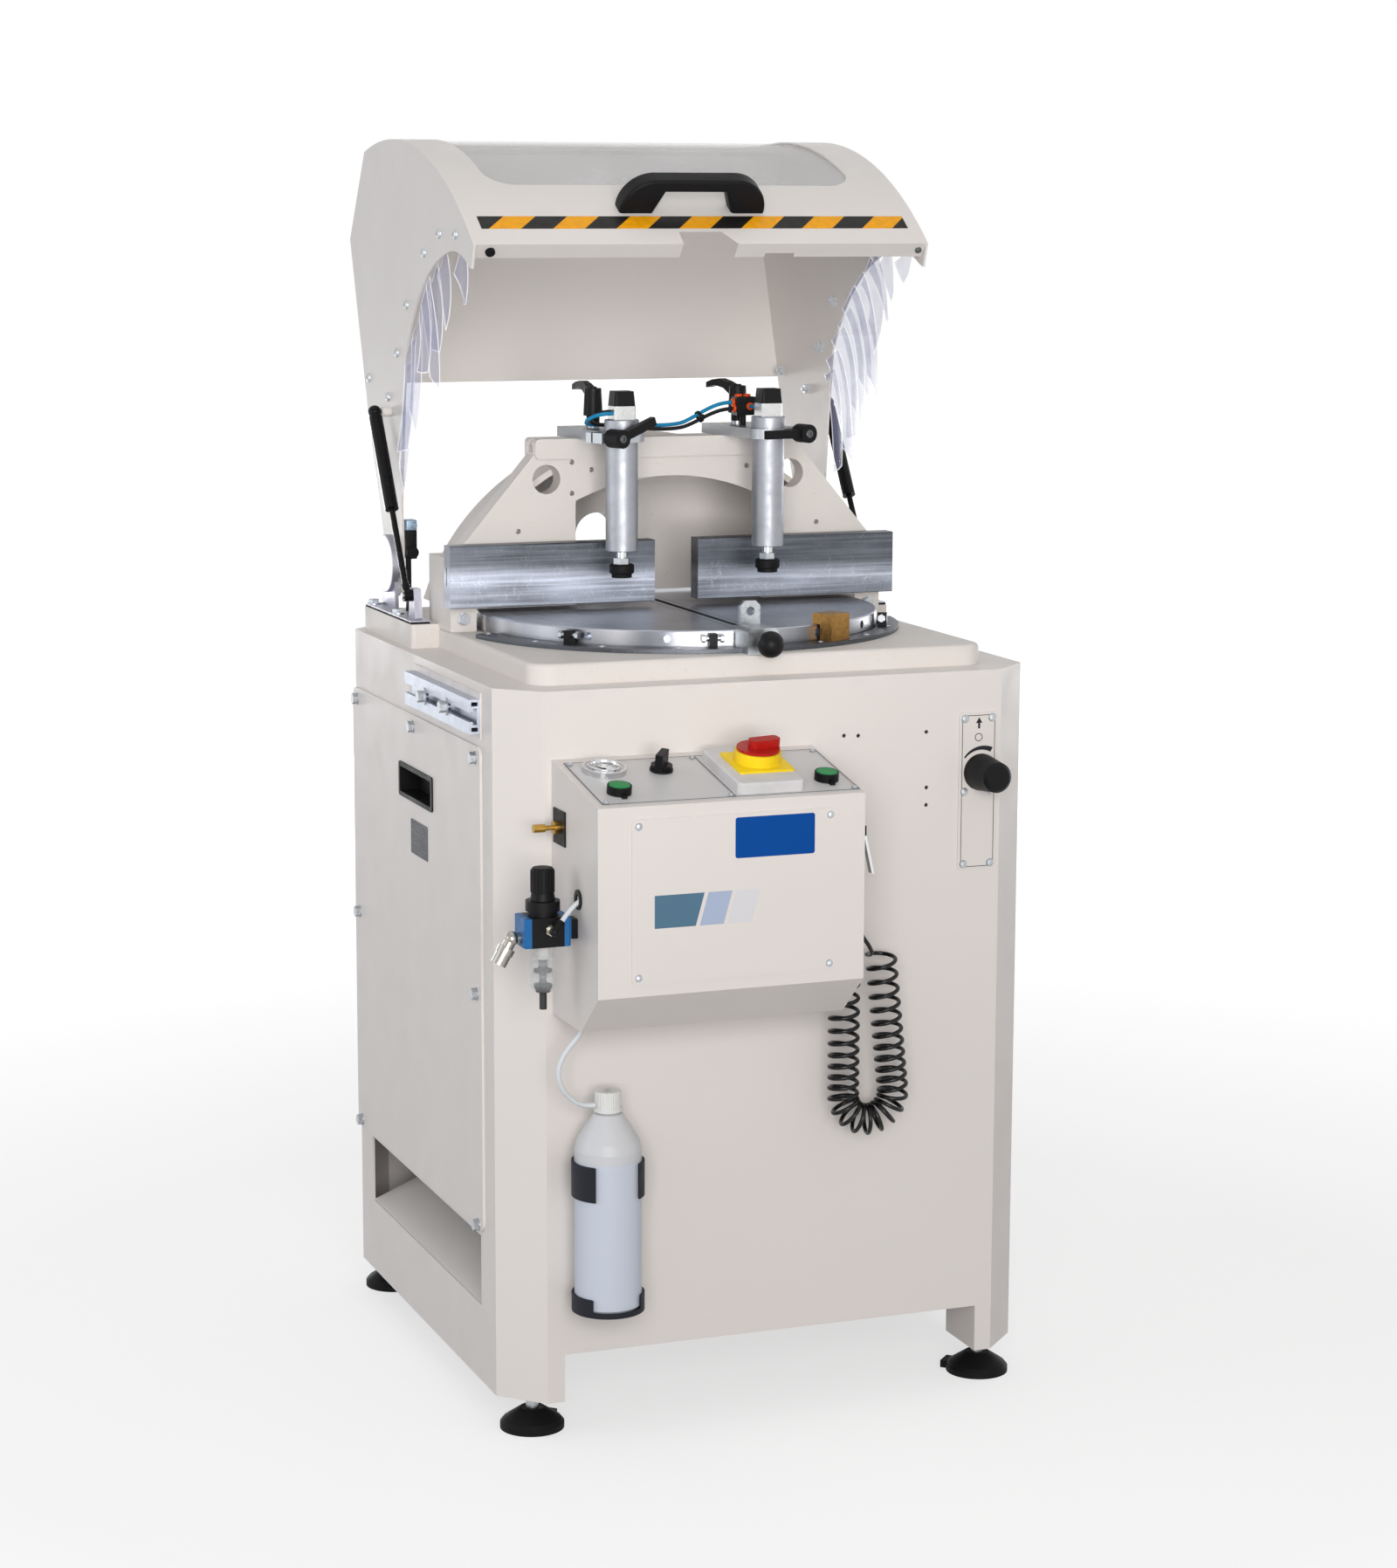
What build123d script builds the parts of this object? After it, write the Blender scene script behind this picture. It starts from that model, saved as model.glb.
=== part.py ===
from build123d import *
import math
import os

os.makedirs("parts", exist_ok=True)

# Automatic up-cut saw in millimetres. The origin is on the floor under the turntable axis,
# +Z is up, the operator stands at -Y and +X is on the operator's right.

# Clearances
RUN = 0.05          # radial clearance of a turning or sliding fit
FIT = 0.2           # clearance of a bolt or a seated piece
GAP = 0.4           # gap between faces that pass each other

# Cabinet
CABINET_WIDTH = 700.0
CABINET_DEPTH = 710.0
CABINET_HEIGHT = 883.0
CABINET_BOTTOM = 44.0
CORNER_CUT = 50.0
SHEET = 3.0
LEG_WIDTH = 72.5
LEG_DEPTH = 86.0
LEG_HEIGHT = 60.0
FOOT_PLATE = 6.0
SIDE = CABINET_WIDTH / 2
FRONT = -CABINET_DEPTH / 2
CABINET_TOP = CABINET_BOTTOM + CABINET_HEIGHT
NOTCH_HALF = SIDE - LEG_WIDTH
NOTCH_TOP = CABINET_BOTTOM + LEG_HEIGHT
WALL_HOLE_RADIUS = 2.5
WALL_HOLES = ((-263.0, -73.0), (-244.0, -74.0), (-152.0, -74.0), (-151.0, -144.0), (-151.0, -166.0))

# Fastener sizes
BOLT_RADIUS = 4.0
BOLT_HEAD = 13.0
BOLT_HEAD_HEIGHT = 5.5
WASHER_RADIUS = 8.5
WASHER_THICK = 1.6
DOME_RADIUS = 4.6
KNOB_DOME_RADIUS = 5.4
DOME_HEIGHT = 2.6

# Feet
FOOT_X = SIDE - 45.5
FOOT_Y = -FRONT - 48.0
FOOT_RADIUS = 40.0
FOOT_RIM = 12.0
FOOT_HEIGHT = 26.0
FOOT_NECK_RADIUS = 15.0
STUD_RADIUS = 8.0
STUD_TAIL = 12.0
STUD_SEAT = 12.0
STUD_NUT = 24.0
STUD_NUT_HEIGHT = 8.0

# Left side cover, pull and chip mouth
MOUTH_Y0 = FRONT + 109.0
MOUTH_Y1 = -FRONT - 105.0
MOUTH_Z0 = NOTCH_TOP + 39.0
MOUTH_HEIGHT = 90.0
MOUTH_Z1 = MOUTH_Z0 + MOUTH_HEIGHT
CHUTE_RISE = 287.0
CHUTE_TOP = MOUTH_Z0 + CHUTE_RISE
COVER_Y0 = FRONT + 91.0
COVER_Y1 = -FRONT - 45.0
COVER_Z0 = MOUTH_Z1 + 7.0
COVER_Z1 = CABINET_TOP - 78.0
COVER_CORNER = 14.0
COVER_LAP = 38.0
COVER_BOLT_INSET = 20.0
PULL_Y = (COVER_Y0 + COVER_Y1) / 2 - 14.0
PULL_Z = COVER_Z1 - 90.5
PULL_LENGTH = 142.0
PULL_HEIGHT = 37.0
PULL_DEPTH = 26.0
PULL_RIM = 4.0
PULL_WALL = 2.0

# Roller rails
RAIL_LENGTH = 276.0
RAIL_HEIGHT = 42.0
RAIL_Y0 = COVER_Y0
RAIL_Y1 = RAIL_Y0 + RAIL_LENGTH
RAIL_Z1 = CABINET_TOP - 19.0
RAIL_Z0 = RAIL_Z1 - RAIL_HEIGHT
RAIL_THICK = 14.0
RAIL_PLATE = 2.0
RAIL_PLATE_EDGE = 8.0
RAIL_SLOT = 12.0
RAIL_SLOT_DEPTH = 5.0
RAIL_TEE = 20.0
RAIL_TEE_DEPTH = 5.0
RAIL_WALL = 3.0
RAIL_WASHER_RADIUS = 11.0
RAIL_BOLT_HEAD = 8.0
RAIL_BOLT_Y = (RAIL_Y0 + 95.0, RAIL_Y0 + 189.0)

# Turntable and the base casting round it
TABLE_RADIUS = 261.0
TABLE_THICK = 22.0
TABLE_EDGE = 1.5
CASTING_THICK = 26.0
CASTING_TOP = CABINET_TOP + CASTING_THICK
TABLE_BOTTOM = CASTING_TOP + 3.0
TABLE_TOP = TABLE_BOTTOM + TABLE_THICK
SPIGOT_RADIUS = TABLE_RADIUS - 21.0
SPIGOT_WALL = 15.0
SPIGOT_BOTTOM = TABLE_BOTTOM - CASTING_THICK
TOP_HOLE_RADIUS = SPIGOT_RADIUS + 15.0
SLIDE_RIM_RADIUS = TABLE_RADIUS - 4.0
BLADE_SLOT = 8.0
SLOT_LENGTH = 378.0
SLOT_FRONT = SPIGOT_WALL + 13.0 - SPIGOT_RADIUS
SLOT_BACK = SLOT_FRONT + SLOT_LENGTH
RING_WIDTH = 26.0
RING_THICK = 5.5
RING_INNER = TABLE_RADIUS + 3.0
RING_OUTER = RING_INNER + RING_WIDTH
RING_TOP = CASTING_TOP + RING_THICK
RING_END_ANGLE = 8.0
CASTING_HALF_X = RING_OUTER + 10.0
CASTING_HALF_Y = RING_OUTER + 20.0
CASTING_CORNER = 30.0
CASTING_EDGE = 6.0
HOOD_Y = 256.0
BOSS_X = CASTING_HALF_X + 37.0
BOSS_Y0 = HOOD_Y - 178.0
BOSS_Y1 = HOOD_Y + 50.0
BOSS_TOP = CASTING_TOP + 5.0

# Fences and bridge
FENCE_LENGTH = 278.0
FENCE_GAP_HALF = 30.0
FENCE_THICK = 26.0
FENCE_HEIGHT = 80.0
FENCE_BOTTOM = TABLE_TOP + 8.0
FENCE_TOP = FENCE_BOTTOM + FENCE_HEIGHT
FENCE_POCKET = 24.0
FENCE_POCKET_DEPTH = 12.0
BRIDGE_HEIGHT = 245.0
BRIDGE_THICK = 30.0
BRIDGE_FOOT_INNER = TABLE_RADIUS + 4.0
BRIDGE_FOOT_DEPTH = 94.0
BRIDGE_FOOT_TOP = FENCE_TOP - 20.0
BRIDGE_WAIST = CASTING_HALF_X - 23.0
BRIDGE_WAIST_TOP = FENCE_TOP + 5.0
BRIDGE_UNDER = TABLE_TOP + 4.0
BAR_HALF = 186.0
BAR_DEPTH = 46.0
BAR_HEIGHT = 26.0
BAR_TOP = CASTING_TOP + BRIDGE_HEIGHT
BAR_BOTTOM = BAR_TOP - BAR_HEIGHT
BAR_OVERHANG = 6.0
BAR_SLOT = 12.0
BAR_SLOT_DEPTH = 8.0
BAR_TEE = 20.0
BAR_TEE_DEPTH = 10.0
BRIDGE_SHOULDER = BAR_HALF - 5.0
BRIDGE_SHOULDER_TOP = BAR_BOTTOM + 12.0
ARCH_HALF = 130.0
ARCH_RISE = 30.0
ARCH_CROWN = BAR_BOTTOM - 25.0
ARCH_SPRING = ARCH_CROWN - ARCH_RISE
BRIDGE_HOLE_X = BAR_HALF - 16.5
BRIDGE_HOLE_Z = BAR_BOTTOM - 26.0
BRIDGE_HOLE_RADIUS = 19.0
TAPPED_RADIUS = 3.4
TAPPED_DEPTH = 14.0
SHROUD_RADIUS = 312.0
SHROUD_CENTRE_Z = BAR_TOP - 1.0 - SHROUD_RADIUS
SHROUD_DEPTH = 116.0
SHROUD_BACK = FENCE_THICK + BRIDGE_THICK + SHROUD_DEPTH
SHROUD_WALL = 8.0
SHROUD_EDGE = 14.0
PORT_X = -53.0
PORT_Z = TABLE_TOP + 80.0
PORT_RADIUS = 30.0
PORT_COLLAR = 5.0
PORT_LENGTH = 22.0

# Table fittings on the base
STOP_ANGLES = (-140.0, -101.0, -30.0)
STOP_RADIAL = 12.0
STOP_WIDTH = 10.0
STOP_HEIGHT = 17.0
STOP_BOLT_RADIUS = 3.0
STOP_BOLT_HEAD = 9.0
STOP_BOLT_REACH = 9.0
INDEX_X = -2.0
INDEX_WIDTH = 40.0
INDEX_DEPTH = 42.0
INDEX_HEIGHT = 32.0
INDEX_EDGE = 4.0
INDEX_BACK = -RING_INNER - 2.0
INDEX_FRONT = INDEX_BACK - INDEX_DEPTH
INDEX_TOP = CASTING_TOP + INDEX_HEIGHT
INDEX_STEPS = (-45.0, -22.5, 0.0, 22.5, 45.0)
PLUNGER_Z = TABLE_TOP - 10.0
PLUNGER_RADIUS = 5.0
PLUNGER_TRAVEL = 8.0
PLUNGER_HOLE = 12.0
KNOB_BALL_RADIUS = 16.5
TAB_X = 9.0
TAB_Y = 27.0 - TABLE_RADIUS
TAB_WIDTH = 26.0
TAB_HEIGHT = 33.0
TAB_THICK = 8.0
TAB_HOLE_RADIUS = 5.5
HOOK_ANGLE = -64.0
HOOK_INNER = TABLE_RADIUS - 10.0
HOOK_OUTER = RING_OUTER - 7.0
HOOK_WIDTH = 34.0
HOOK_EDGE = 2.0
HOOK_TOP = TABLE_TOP + 14.0

# Saw unit
SWING_Y = 150.0
SWING_DROP = 221.0
SWING_Z = TABLE_BOTTOM - SWING_DROP
ARM_LENGTH = 240.0
ARM_REST_ANGLE = 12.0
BLADE_RADIUS = 175.0
BLADE_THICK = 3.2
BLADE_TEETH = 72
TOOTH_DEPTH = 6.0
FLANGE_RADIUS = 40.0
FLANGE_THICK = 7.0
SPINDLE_RADIUS = 15.0
SPINDLE_END = 4.0
HOUSING_RADIUS = 42.0
HOUSING_X0 = -58.0
HOUSING_X1 = -14.0
ARM_X0 = -45.0
ARM_X1 = -21.0
ARM_HUB_RADIUS = 48.0
ARM_WEB = 56.0
SWING_TUBE_RADIUS = 30.0
SWING_TUBE_BORE = 14.0
HANGER_X0 = 14.0
HANGER_THICK = 12.0
HANGER_X1 = HANGER_X0 + HANGER_THICK
HANGER_Y0 = SWING_Y - 55.0
HANGER_Y1 = SWING_Y + 55.0
HANGER_FLANGE = 12.0
HANGER_FLANGE_X = 60.0
MOTOR_RADIUS = 72.0
MOTOR_LENGTH = 196.0
MOTOR_FOOT = 14.0
MOTOR_FINS = 18
MOTOR_FIN = 6.0
SHAFT_RADIUS = 12.0
PULLEY_X0 = HOUSING_X0 - 22.0
PULLEY_X1 = HOUSING_X0 - 6.0
MOTOR_PULLEY_RADIUS = 50.0
SPINDLE_PULLEY_RADIUS = 40.0
BELT_THICK = 6.0
BELT_WIDTH = 13.0
BELT_LIFT = 0.3
LIFT_X = (ARM_X0 + ARM_X1) / 2
LIFT_PIVOT_Y = SWING_Y - 140.0
LIFT_PIVOT_Z = SWING_Z - 255.0
LIFT_LUG_ALONG = 130.0
LIFT_LUG_DROP = 30.0
LIFT_TUBE_RADIUS = 22.0
LIFT_TUBE_WALL = 4.0
LIFT_TUBE_START = 24.0
LIFT_TUBE_END = LIFT_TUBE_START + 160.0
LIFT_ROD_RADIUS = 8.0
LIFT_PISTON = 14.0
LIFT_EYE = 12.0
LIFT_EYE_RADIUS = 18.0
LIFT_PIN_RADIUS = 6.0
LIFT_PIN_PLAY = 5.5

# Pneumatic clamps
CLAMP_Y = -45.0
CLAMP_X = {"left": -92.0, "right": 109.5}
CLAMP_TUBE_RADIUS = 20.7
CLAMP_TUBE_WALL = 3.2
CLAMP_TUBE_BOTTOM = TABLE_TOP + 80.0
CLAMP_END_WALL = 10.0
CLAMP_ROD_RADIUS = 7.0
CLAMP_PISTON = 14.0
CLAMP_HEAD_RADIUS = CLAMP_TUBE_RADIUS + 1.5
PAD_RADIUS = 16.0
PAD_THICK = 17.0
PAD_STEP = 5.0
PAD_BOTTOM = TABLE_TOP + 46.0
PAD_TOP = PAD_BOTTOM + PAD_THICK
ROD_NUT = 19.0
ROD_NUT_HEIGHT = 8.0
ARM_PLATE = 13.0
ARM_TOP = BAR_TOP + ARM_PLATE
CLAMP_TUBE_TOP = ARM_TOP + 15.0
VALVE_WIDTH = 29.0
VALVE_TOP = CLAMP_TUBE_TOP + 17.0
VALVE_CAP_TOP = VALVE_TOP + 19.0
VALVE_PORT_Z = VALVE_TOP - 8.0
ARM_PLATE_BACK = 121.0
ARM_PLATE_LEFT = -46.0
ARM_PLATE_RIGHT = 24.0
COLLAR_RADIUS = CLAMP_TUBE_RADIUS + 8.3
LUG_REACH = 34.0
LUG_ANGLE = {"left": -160.0, "right": 14.0}
LUG_LENGTH = 30.0
LUG_HALF_WIDTH = 12.0
LUG_SCREW_SIDE = 20.0
SPLIT = 3.0
LEVER_BOLT_X = -8.0
LEVER_BOLT_Y = 88.0
LEVER_STUD_RADIUS = 5.0
LEVER_HUB_RADIUS = 10.9
LEVER_HUB_HEIGHT = 50.0
LEVER_NECK = 14.0
LEVER_LENGTH = 62.0
LEVER_WIDTH = 11.0
LEVER_ANGLE = {"left": 92.0, "right": 106.0}
COLLAR_LEVER_TILT = {"left": 19.0, "right": 0.0}

# Hood, at rest open. Points of its side plate are (back, up) from the hinge, as shares of the radius.
HOOD_Z = BOSS_TOP + 62.0
HOOD_RADIUS = 559.0
HOOD_HALF = CASTING_HALF_X + 6.0
HOOD_SHEET = 3.0
HOOD_SKIN = 2.0
LIP_ANGLE = 130.1
BACK_ANGLE = 76.4
POST_BACK = (0.0859, 0.0179)
POST_LOW = (0.0107, -0.0823)
POST_FRONT = (-0.0608, 0.0)
POST_MID = (-0.0537, 0.1431)
POST_TOP = (-0.0733, 0.3220)
BAY = (-0.1002, 0.4955)
BAY_ARC = (-0.2272, 0.6494)
BROW = (-0.4222, 0.7388)
BROW_ARC = (-0.5206, 0.7460)
LIP_IN = (-0.6082, 0.7174)
LIP_TAB = (-0.6279, 0.7111)
LIP_LOW = (-0.6147, 0.7345)
BACK_MID = (0.3739, 0.7621)
BACK_LOW = (0.2343, 0.3596)
BACK_PANEL_LOW = 0.4150
WINDOW_LOW_ANGLE = 116.5
WINDOW_HIGH_ANGLE = 82.0
WINDOW_HALF = HOOD_HALF - 56.0
WINDOW_CORNER = 36.0
WINDOW_LAP = 12.0
WINDOW_THICK = 2.5
LIP_NOTCH_LEFT = -30.0
LIP_NOTCH_RIGHT = 44.0
LIP_NOTCH_ANGLE = 127.7
LIP_NOTCH_SLANT = (17.0, 15.0)
LIP_DIP = (85.0, 125.0)
LIP_DIP_DEPTH = 5.0
HINGE_PIN_RADIUS = 10.0
HINGE_WASHER_RADIUS = 20.0
HINGE_DISC_RADIUS = 38.5
HINGE_DISC_THICK = 10.0
BRACKET_X = HOOD_HALF + 6.0
BRACKET_BASE = 4.0
HANDLE_HALF = 98.0
HANDLE_FOOT = 45.0
HANDLE_GRIP_HALF = 56.0
HANDLE_ANGLE = 122.5
HANDLE_RISE = 47.0
HANDLE_THICK = 24.0
HANDLE_DEPTH = 17.0
HANDLE_EDGE = 4.0

# Gas struts
STRUT_X = BRACKET_X + 16.0
STRUT_LOW = (HOOD_Y - 129.0, BOSS_TOP + 33.0)
STRUT_HIGH = (HOOD_Y + 0.0304 * HOOD_RADIUS, HOOD_Z + 0.3596 * HOOD_RADIUS)
STRUT_TUBE_RADIUS = 9.0
STRUT_TUBE_LENGTH = 146.0
STRUT_ROD_RADIUS = 4.0
STRUT_EYE_RADIUS = 8.0
STRUT_EYE_WIDTH = 11.0
STRUT_PIN_RADIUS = 4.5
STRUT_END_WALL = 12.0

# Strip curtains
STRIP_COUNT = 12
STRIP_LENGTH = 78.0
STRIP_WIDTH = 52.0
STRIP_ROOT = 16.0
STRIP_THICK = 0.8

# Control box
BOX_WIDTH = 335.0
BOX_DEPTH = 167.0
BOX_FACE = 225.0
BOX_DROP = 32.0
BOX_CHIN = 61.0
BOX_CHIN_DROP = 52.0
BOX_SHEET = 2.0
BOX_X0 = 58.0 - SIDE
BOX_X1 = BOX_X0 + BOX_WIDTH
BOX_BACK_Z = CABINET_TOP - 82.0
BOX_FRONT_Z = BOX_BACK_Z - BOX_DROP
BOX_KNEE_Z = BOX_FRONT_Z - BOX_FACE
BOX_BOTTOM_Z = BOX_KNEE_Z - BOX_CHIN_DROP
PLATE_THICK = 2.0
PLATE_CORNER = 6.0
BOX_COVER = (BOX_X0 + 41.0, BOX_X1 - 36.5, BOX_KNEE_Z + 14.0, BOX_FRONT_Z - 15.0)
KNOB_PLATE = (SIDE - 108.0, SIDE - 55.0, CABINET_TOP - 252.0, CABINET_TOP - 52.0)
BOX_SCREW_INSET = 8.5
KNOB_SCREW_INSET = 8.0
GLASS_THICK = 1.5
GLASS_EDGE = 9.0
BUTTON_BEZEL_RADIUS = 14.7
BUTTON_BEZEL_HEIGHT = 11.0
BUTTON_EDGE = 0.6
BUTTON_TAIL = 6.0
BUTTON_TAIL_WIDTH = 6.0
BUTTON_RADIUS = 12.9
BUTTON_RISE = 0.5
BUTTON_TRAVEL = 4.0
BUTTON_STEM_RADIUS = 8.0
BUTTON_BARREL_RADIUS = BUTTON_STEM_RADIUS + 3.0
BUTTON_STEM = 22.0
BUTTON_PLACES = {"left": (BOX_X0 + 42.0, 43.0 - BOX_DEPTH), "right": (BOX_X1 - 30.0, 46.0 - BOX_DEPTH)}
SELECTOR_PLACE = (BOX_X0 + 118.0, -59.0)
SELECTOR_RADIUS = 14.0
SELECTOR_RING = 4.0
SELECTOR_HEIGHT = 20.0
SELECTOR_GRIP = 9.0
SELECTOR_ANGLE = -35.0
GAUGE_PLACE = (BOX_X0 + 49.0, -50.0)
GAUGE_RADIUS = 27.0
GAUGE_HEIGHT = 7.0
GAUGE_RIM = 4.0
GAUGE_FACE = 2.0
SWITCH_X0 = BOX_X0 + 180.0
SWITCH_X1 = SWITCH_X0 + 85.0
SWITCH_V0 = 13.0 - BOX_DEPTH
SWITCH_V1 = -26.0
SWITCH_HEIGHT = 14.0
SWITCH_CORNER = 8.0
SWITCH_PLATE = 70.0
SWITCH_PLATE_THICK = 3.0
SWITCH_PLATE_X = SWITCH_X0 + 48.0
SWITCH_PLATE_V = -88.0
SWITCH_COLLAR_RADIUS = 28.0
SWITCH_COLLAR = 14.0
HANDLE_HUB_RADIUS = 26.0
HANDLE_HUB = 3.0
HANDLE_GRIP = 10.0
HANDLE_GRIP_WIDTH = 16.0
HANDLE_GRIP_REACH = 1.0
HANDLE_GRIP_TAIL = 12.0
HANDLE_REST_ANGLE = 8.0
SPEED_X = KNOB_PLATE[0] + 30.0
SPEED_Z = CABINET_TOP - 128.0
SPEED_RADIUS = 23.0
SPEED_TIP_RADIUS = 19.0
SPEED_LENGTH = 52.0
SPEED_COLLAR_RADIUS = SPEED_RADIUS + 0.2
SPEED_COLLAR = 4.0
SPEED_EDGE = 4.0

# Air service unit on the left of the box
REG_X = BOX_X0 - 40.0
REG_Y = FRONT - 85.0
REG_BODY = 57.0
REG_BODY_DEPTH = 42.0
REG_BODY_HEIGHT = 35.0
REG_BODY_BOTTOM = BOX_BOTTOM_Z + 105.0
REG_BODY_TOP = REG_BODY_BOTTOM + REG_BODY_HEIGHT
REG_NECK_RADIUS = 17.5
REG_COLLAR_RADIUS = 20.5
REG_COLLAR_Z0 = REG_BODY_TOP + 6.0
REG_COLLAR_Z1 = REG_COLLAR_Z0 + 12.0
REG_KNOB_RADIUS = 13.5
REG_KNOB_TOP = REG_COLLAR_Z1 + 39.0
REG_KNOB_RIBS = 16
REG_BOWL_RADIUS = 16.0
REG_BOWL_BOTTOM = REG_BODY_BOTTOM - 59.0
REG_BOWL_WALL = 2.0
REG_DRAIN_BOTTOM = REG_BOWL_BOTTOM - 19.0
REG_DRAIN_RADIUS = 4.5
REG_BRACKET = 6.0
COUPLER_RADIUS = 9.5
COUPLER_LENGTH = 34.0
COUPLER_NECK = 12.0
COUPLER_RING = 8.0
COUPLER_AIM = (-0.5, 0.0, -0.866)
ELBOW_RADIUS = 5.0
GROMMET_Y = REG_Y - 14.0
GROMMET_Z = REG_BODY_TOP + 18.0
GROMMET_RADIUS = 12.0
GROMMET_THICK = 2.0
GROMMET_HOLE = 6.0
INLET_Y = FRONT - 32.0
INLET_Z = BOX_BACK_Z - 76.0
INLET_PLATE = 42.0
INLET_PLATE_THICK = 2.0
INLET_RADIUS = 5.0
INLET_LENGTH = 32.0
MANIFOLD_WIDTH = 26.0
MANIFOLD_DEPTH = 20.0
MANIFOLD_HEIGHT = 24.0
MANIFOLD_POST_RADIUS = 4.0

# Rinse bottle
BOTTLE_X = 113.0 - SIDE
BOTTLE_RADIUS = 41.0
BOTTLE_BODY = 197.0
BOTTLE_BOTTOM = NOTCH_TOP + 73.0
BOTTLE_SHOULDER = BOTTLE_BOTTOM + BOTTLE_BODY
BOTTLE_NECK_Z = BOTTLE_SHOULDER + 44.0
BOTTLE_NECK_RADIUS = 13.5
BOTTLE_WALL = 1.6
CAP_RADIUS = 16.0
CAP_RING_RADIUS = 17.3
CAP_RING = 5.0
CAP_BOTTOM = BOTTLE_NECK_Z + 3.0
CAP_TOP = CAP_BOTTOM + 25.0
CAP_WALL = 4.0
HOLDER_WALL = 3.5
HOLDER_ARM_Z0 = BOTTLE_SHOULDER - 57.0
HOLDER_ARM_Z1 = BOTTLE_SHOULDER - 14.0
HOLDER_RING_TOP = BOTTLE_BOTTOM + 18.0
HOLDER_FLOOR = 4.0
HOLDER_BACK = 40.0
HOLDER_LIP = 2.0

# Tubes and hose
TUBE_DIAMETER = 6.0
CLAMP_TUBE_DIAMETER = 5.0
HOSE_DIAMETER = 5.2
HOSE_COIL_RADIUS = 17.5
HOSE_Y = FRONT - 38.0
HOSE_LEFT_X = BOX_X1 + 31.0
HOSE_BEND_RADIUS = 33.5
HOSE_BEND_Z = BOX_BOTTOM_Z - 126.0
HOSE_LEFT_TOP = BOX_BOTTOM_Z + 26.0
HOSE_RIGHT_TOP = BOX_BOTTOM_Z + 54.0
HOSE_LEAN = 6.0
HOSE_PITCH_LOW = 12.4
HOSE_PITCH_HIGH = 18.5
HOSE_PORT_Y = HOSE_Y
HOSE_PORT_Z = BOX_BOTTOM_Z + 86.0
HOSE_PORT_LENGTH = 12.0
GUN_X = BOX_X1 + 23.0
GUN_Y = FRONT - 75.0
GUN_BOTTOM = BOX_BOTTOM_Z + 138.0
GUN_LENGTH = 112.0
GUN_TOP = GUN_BOTTOM + GUN_LENGTH
GUN_RADIUS = 10.0
GUN_BRACKET = 14.0
GUN_BRACKET_WIDTH = 8.0
GUN_PIVOT_DROP = 36.0
GUN_PIN_RADIUS = 1.5
GUN_KNUCKLE = 3.0
GUN_LEVER_WIDTH = 10.0
GUN_LEVER_REACH = 12.0
GUN_LEVER_LOW = 22.0
GUN_EAR = 3.0


# Basic solids

def block(x0, x1, y0, y1, z0, z1):
    """Box between two corners, given in any order."""
    centre = Pos((x0 + x1) / 2, (y0 + y1) / 2, (z0 + z1) / 2)
    return centre * Box(abs(x1 - x0), abs(y1 - y0), abs(z1 - z0))


def bar_x(x0, x1, y, z, radius):
    return Pos((x0 + x1) / 2, y, z) * Rot(0, 90, 0) * Cylinder(radius, abs(x1 - x0))


def bar_y(x, y0, y1, z, radius):
    return Pos(x, (y0 + y1) / 2, z) * Rot(90, 0, 0) * Cylinder(radius, abs(y1 - y0))


def bar_z(x, y, z0, z1, radius):
    return Pos(x, y, (z0 + z1) / 2) * Cylinder(radius, abs(z1 - z0))


def facing(origin, direction):
    """Plane at a point, looking along a direction."""
    return Plane(origin=origin, z_dir=direction)


def prism_x(outline, x0, x1):
    """Outline of (y, z) points, from x0 to the larger x1."""
    plane = Plane(origin=(x0, 0, 0), x_dir=(0, 1, 0), z_dir=(1, 0, 0))
    return extrude(plane * Polygon(*outline, align=None), amount=x1 - x0, dir=(1, 0, 0))


def prism_y(outline, y0, y1):
    """Outline of (x, z) points, from y0 to the larger y1."""
    plane = Plane(origin=(0, y1, 0), x_dir=(1, 0, 0), z_dir=(0, -1, 0))
    return extrude(plane * Polygon(*outline, align=None), amount=y1 - y0, dir=(0, -1, 0))


def prism_z(outline, z0, z1):
    return extrude(Plane.XY.offset(z0) * Polygon(*outline, align=None), amount=z1 - z0, dir=(0, 0, 1))


def plate_x(y0, y1, z0, z1, x0, x1, corner):
    """Plate with rounded corners, facing X."""
    plane = Plane(origin=(x0, (y0 + y1) / 2, (z0 + z1) / 2), x_dir=(0, 1, 0), z_dir=(1, 0, 0))
    return extrude(plane * RectangleRounded(y1 - y0, z1 - z0, corner), amount=x1 - x0)


def plate_y(x0, x1, z0, z1, y0, y1, corner):
    """Plate with rounded corners, facing Y."""
    plane = Plane(origin=((x0 + x1) / 2, y1, (z0 + z1) / 2), x_dir=(1, 0, 0), z_dir=(0, -1, 0))
    return extrude(plane * RectangleRounded(x1 - x0, z1 - z0, corner), amount=y1 - y0)


def hexagon(across_flats, height):
    return extrude(RegularPolygon(across_flats / math.sqrt(3), 6), amount=height)


def turned(points):
    """Solid of revolution about Z from (radius, z) points."""
    return revolve(Plane.XZ * Polygon(*points, align=None), axis=Axis.Z)


def fused(pieces):
    whole = pieces[0]
    for piece in pieces[1:]:
        whole = whole + piece
    return whole


def mirrored(piece):
    """The piece and its mirror image across the YZ plane."""
    return Part() + [piece, mirror(piece, about=Plane.YZ)]


def save(name, shape):
    export_step(shape, f"parts/{name}.step")


def chamfered_rectangle(half_x, half_y, cut):
    return [
        (half_x, half_y - cut), (half_x - cut, half_y), (cut - half_x, half_y), (-half_x, half_y - cut),
        (-half_x, cut - half_y), (cut - half_x, -half_y), (half_x - cut, -half_y), (half_x, cut - half_y),
    ]


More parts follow.
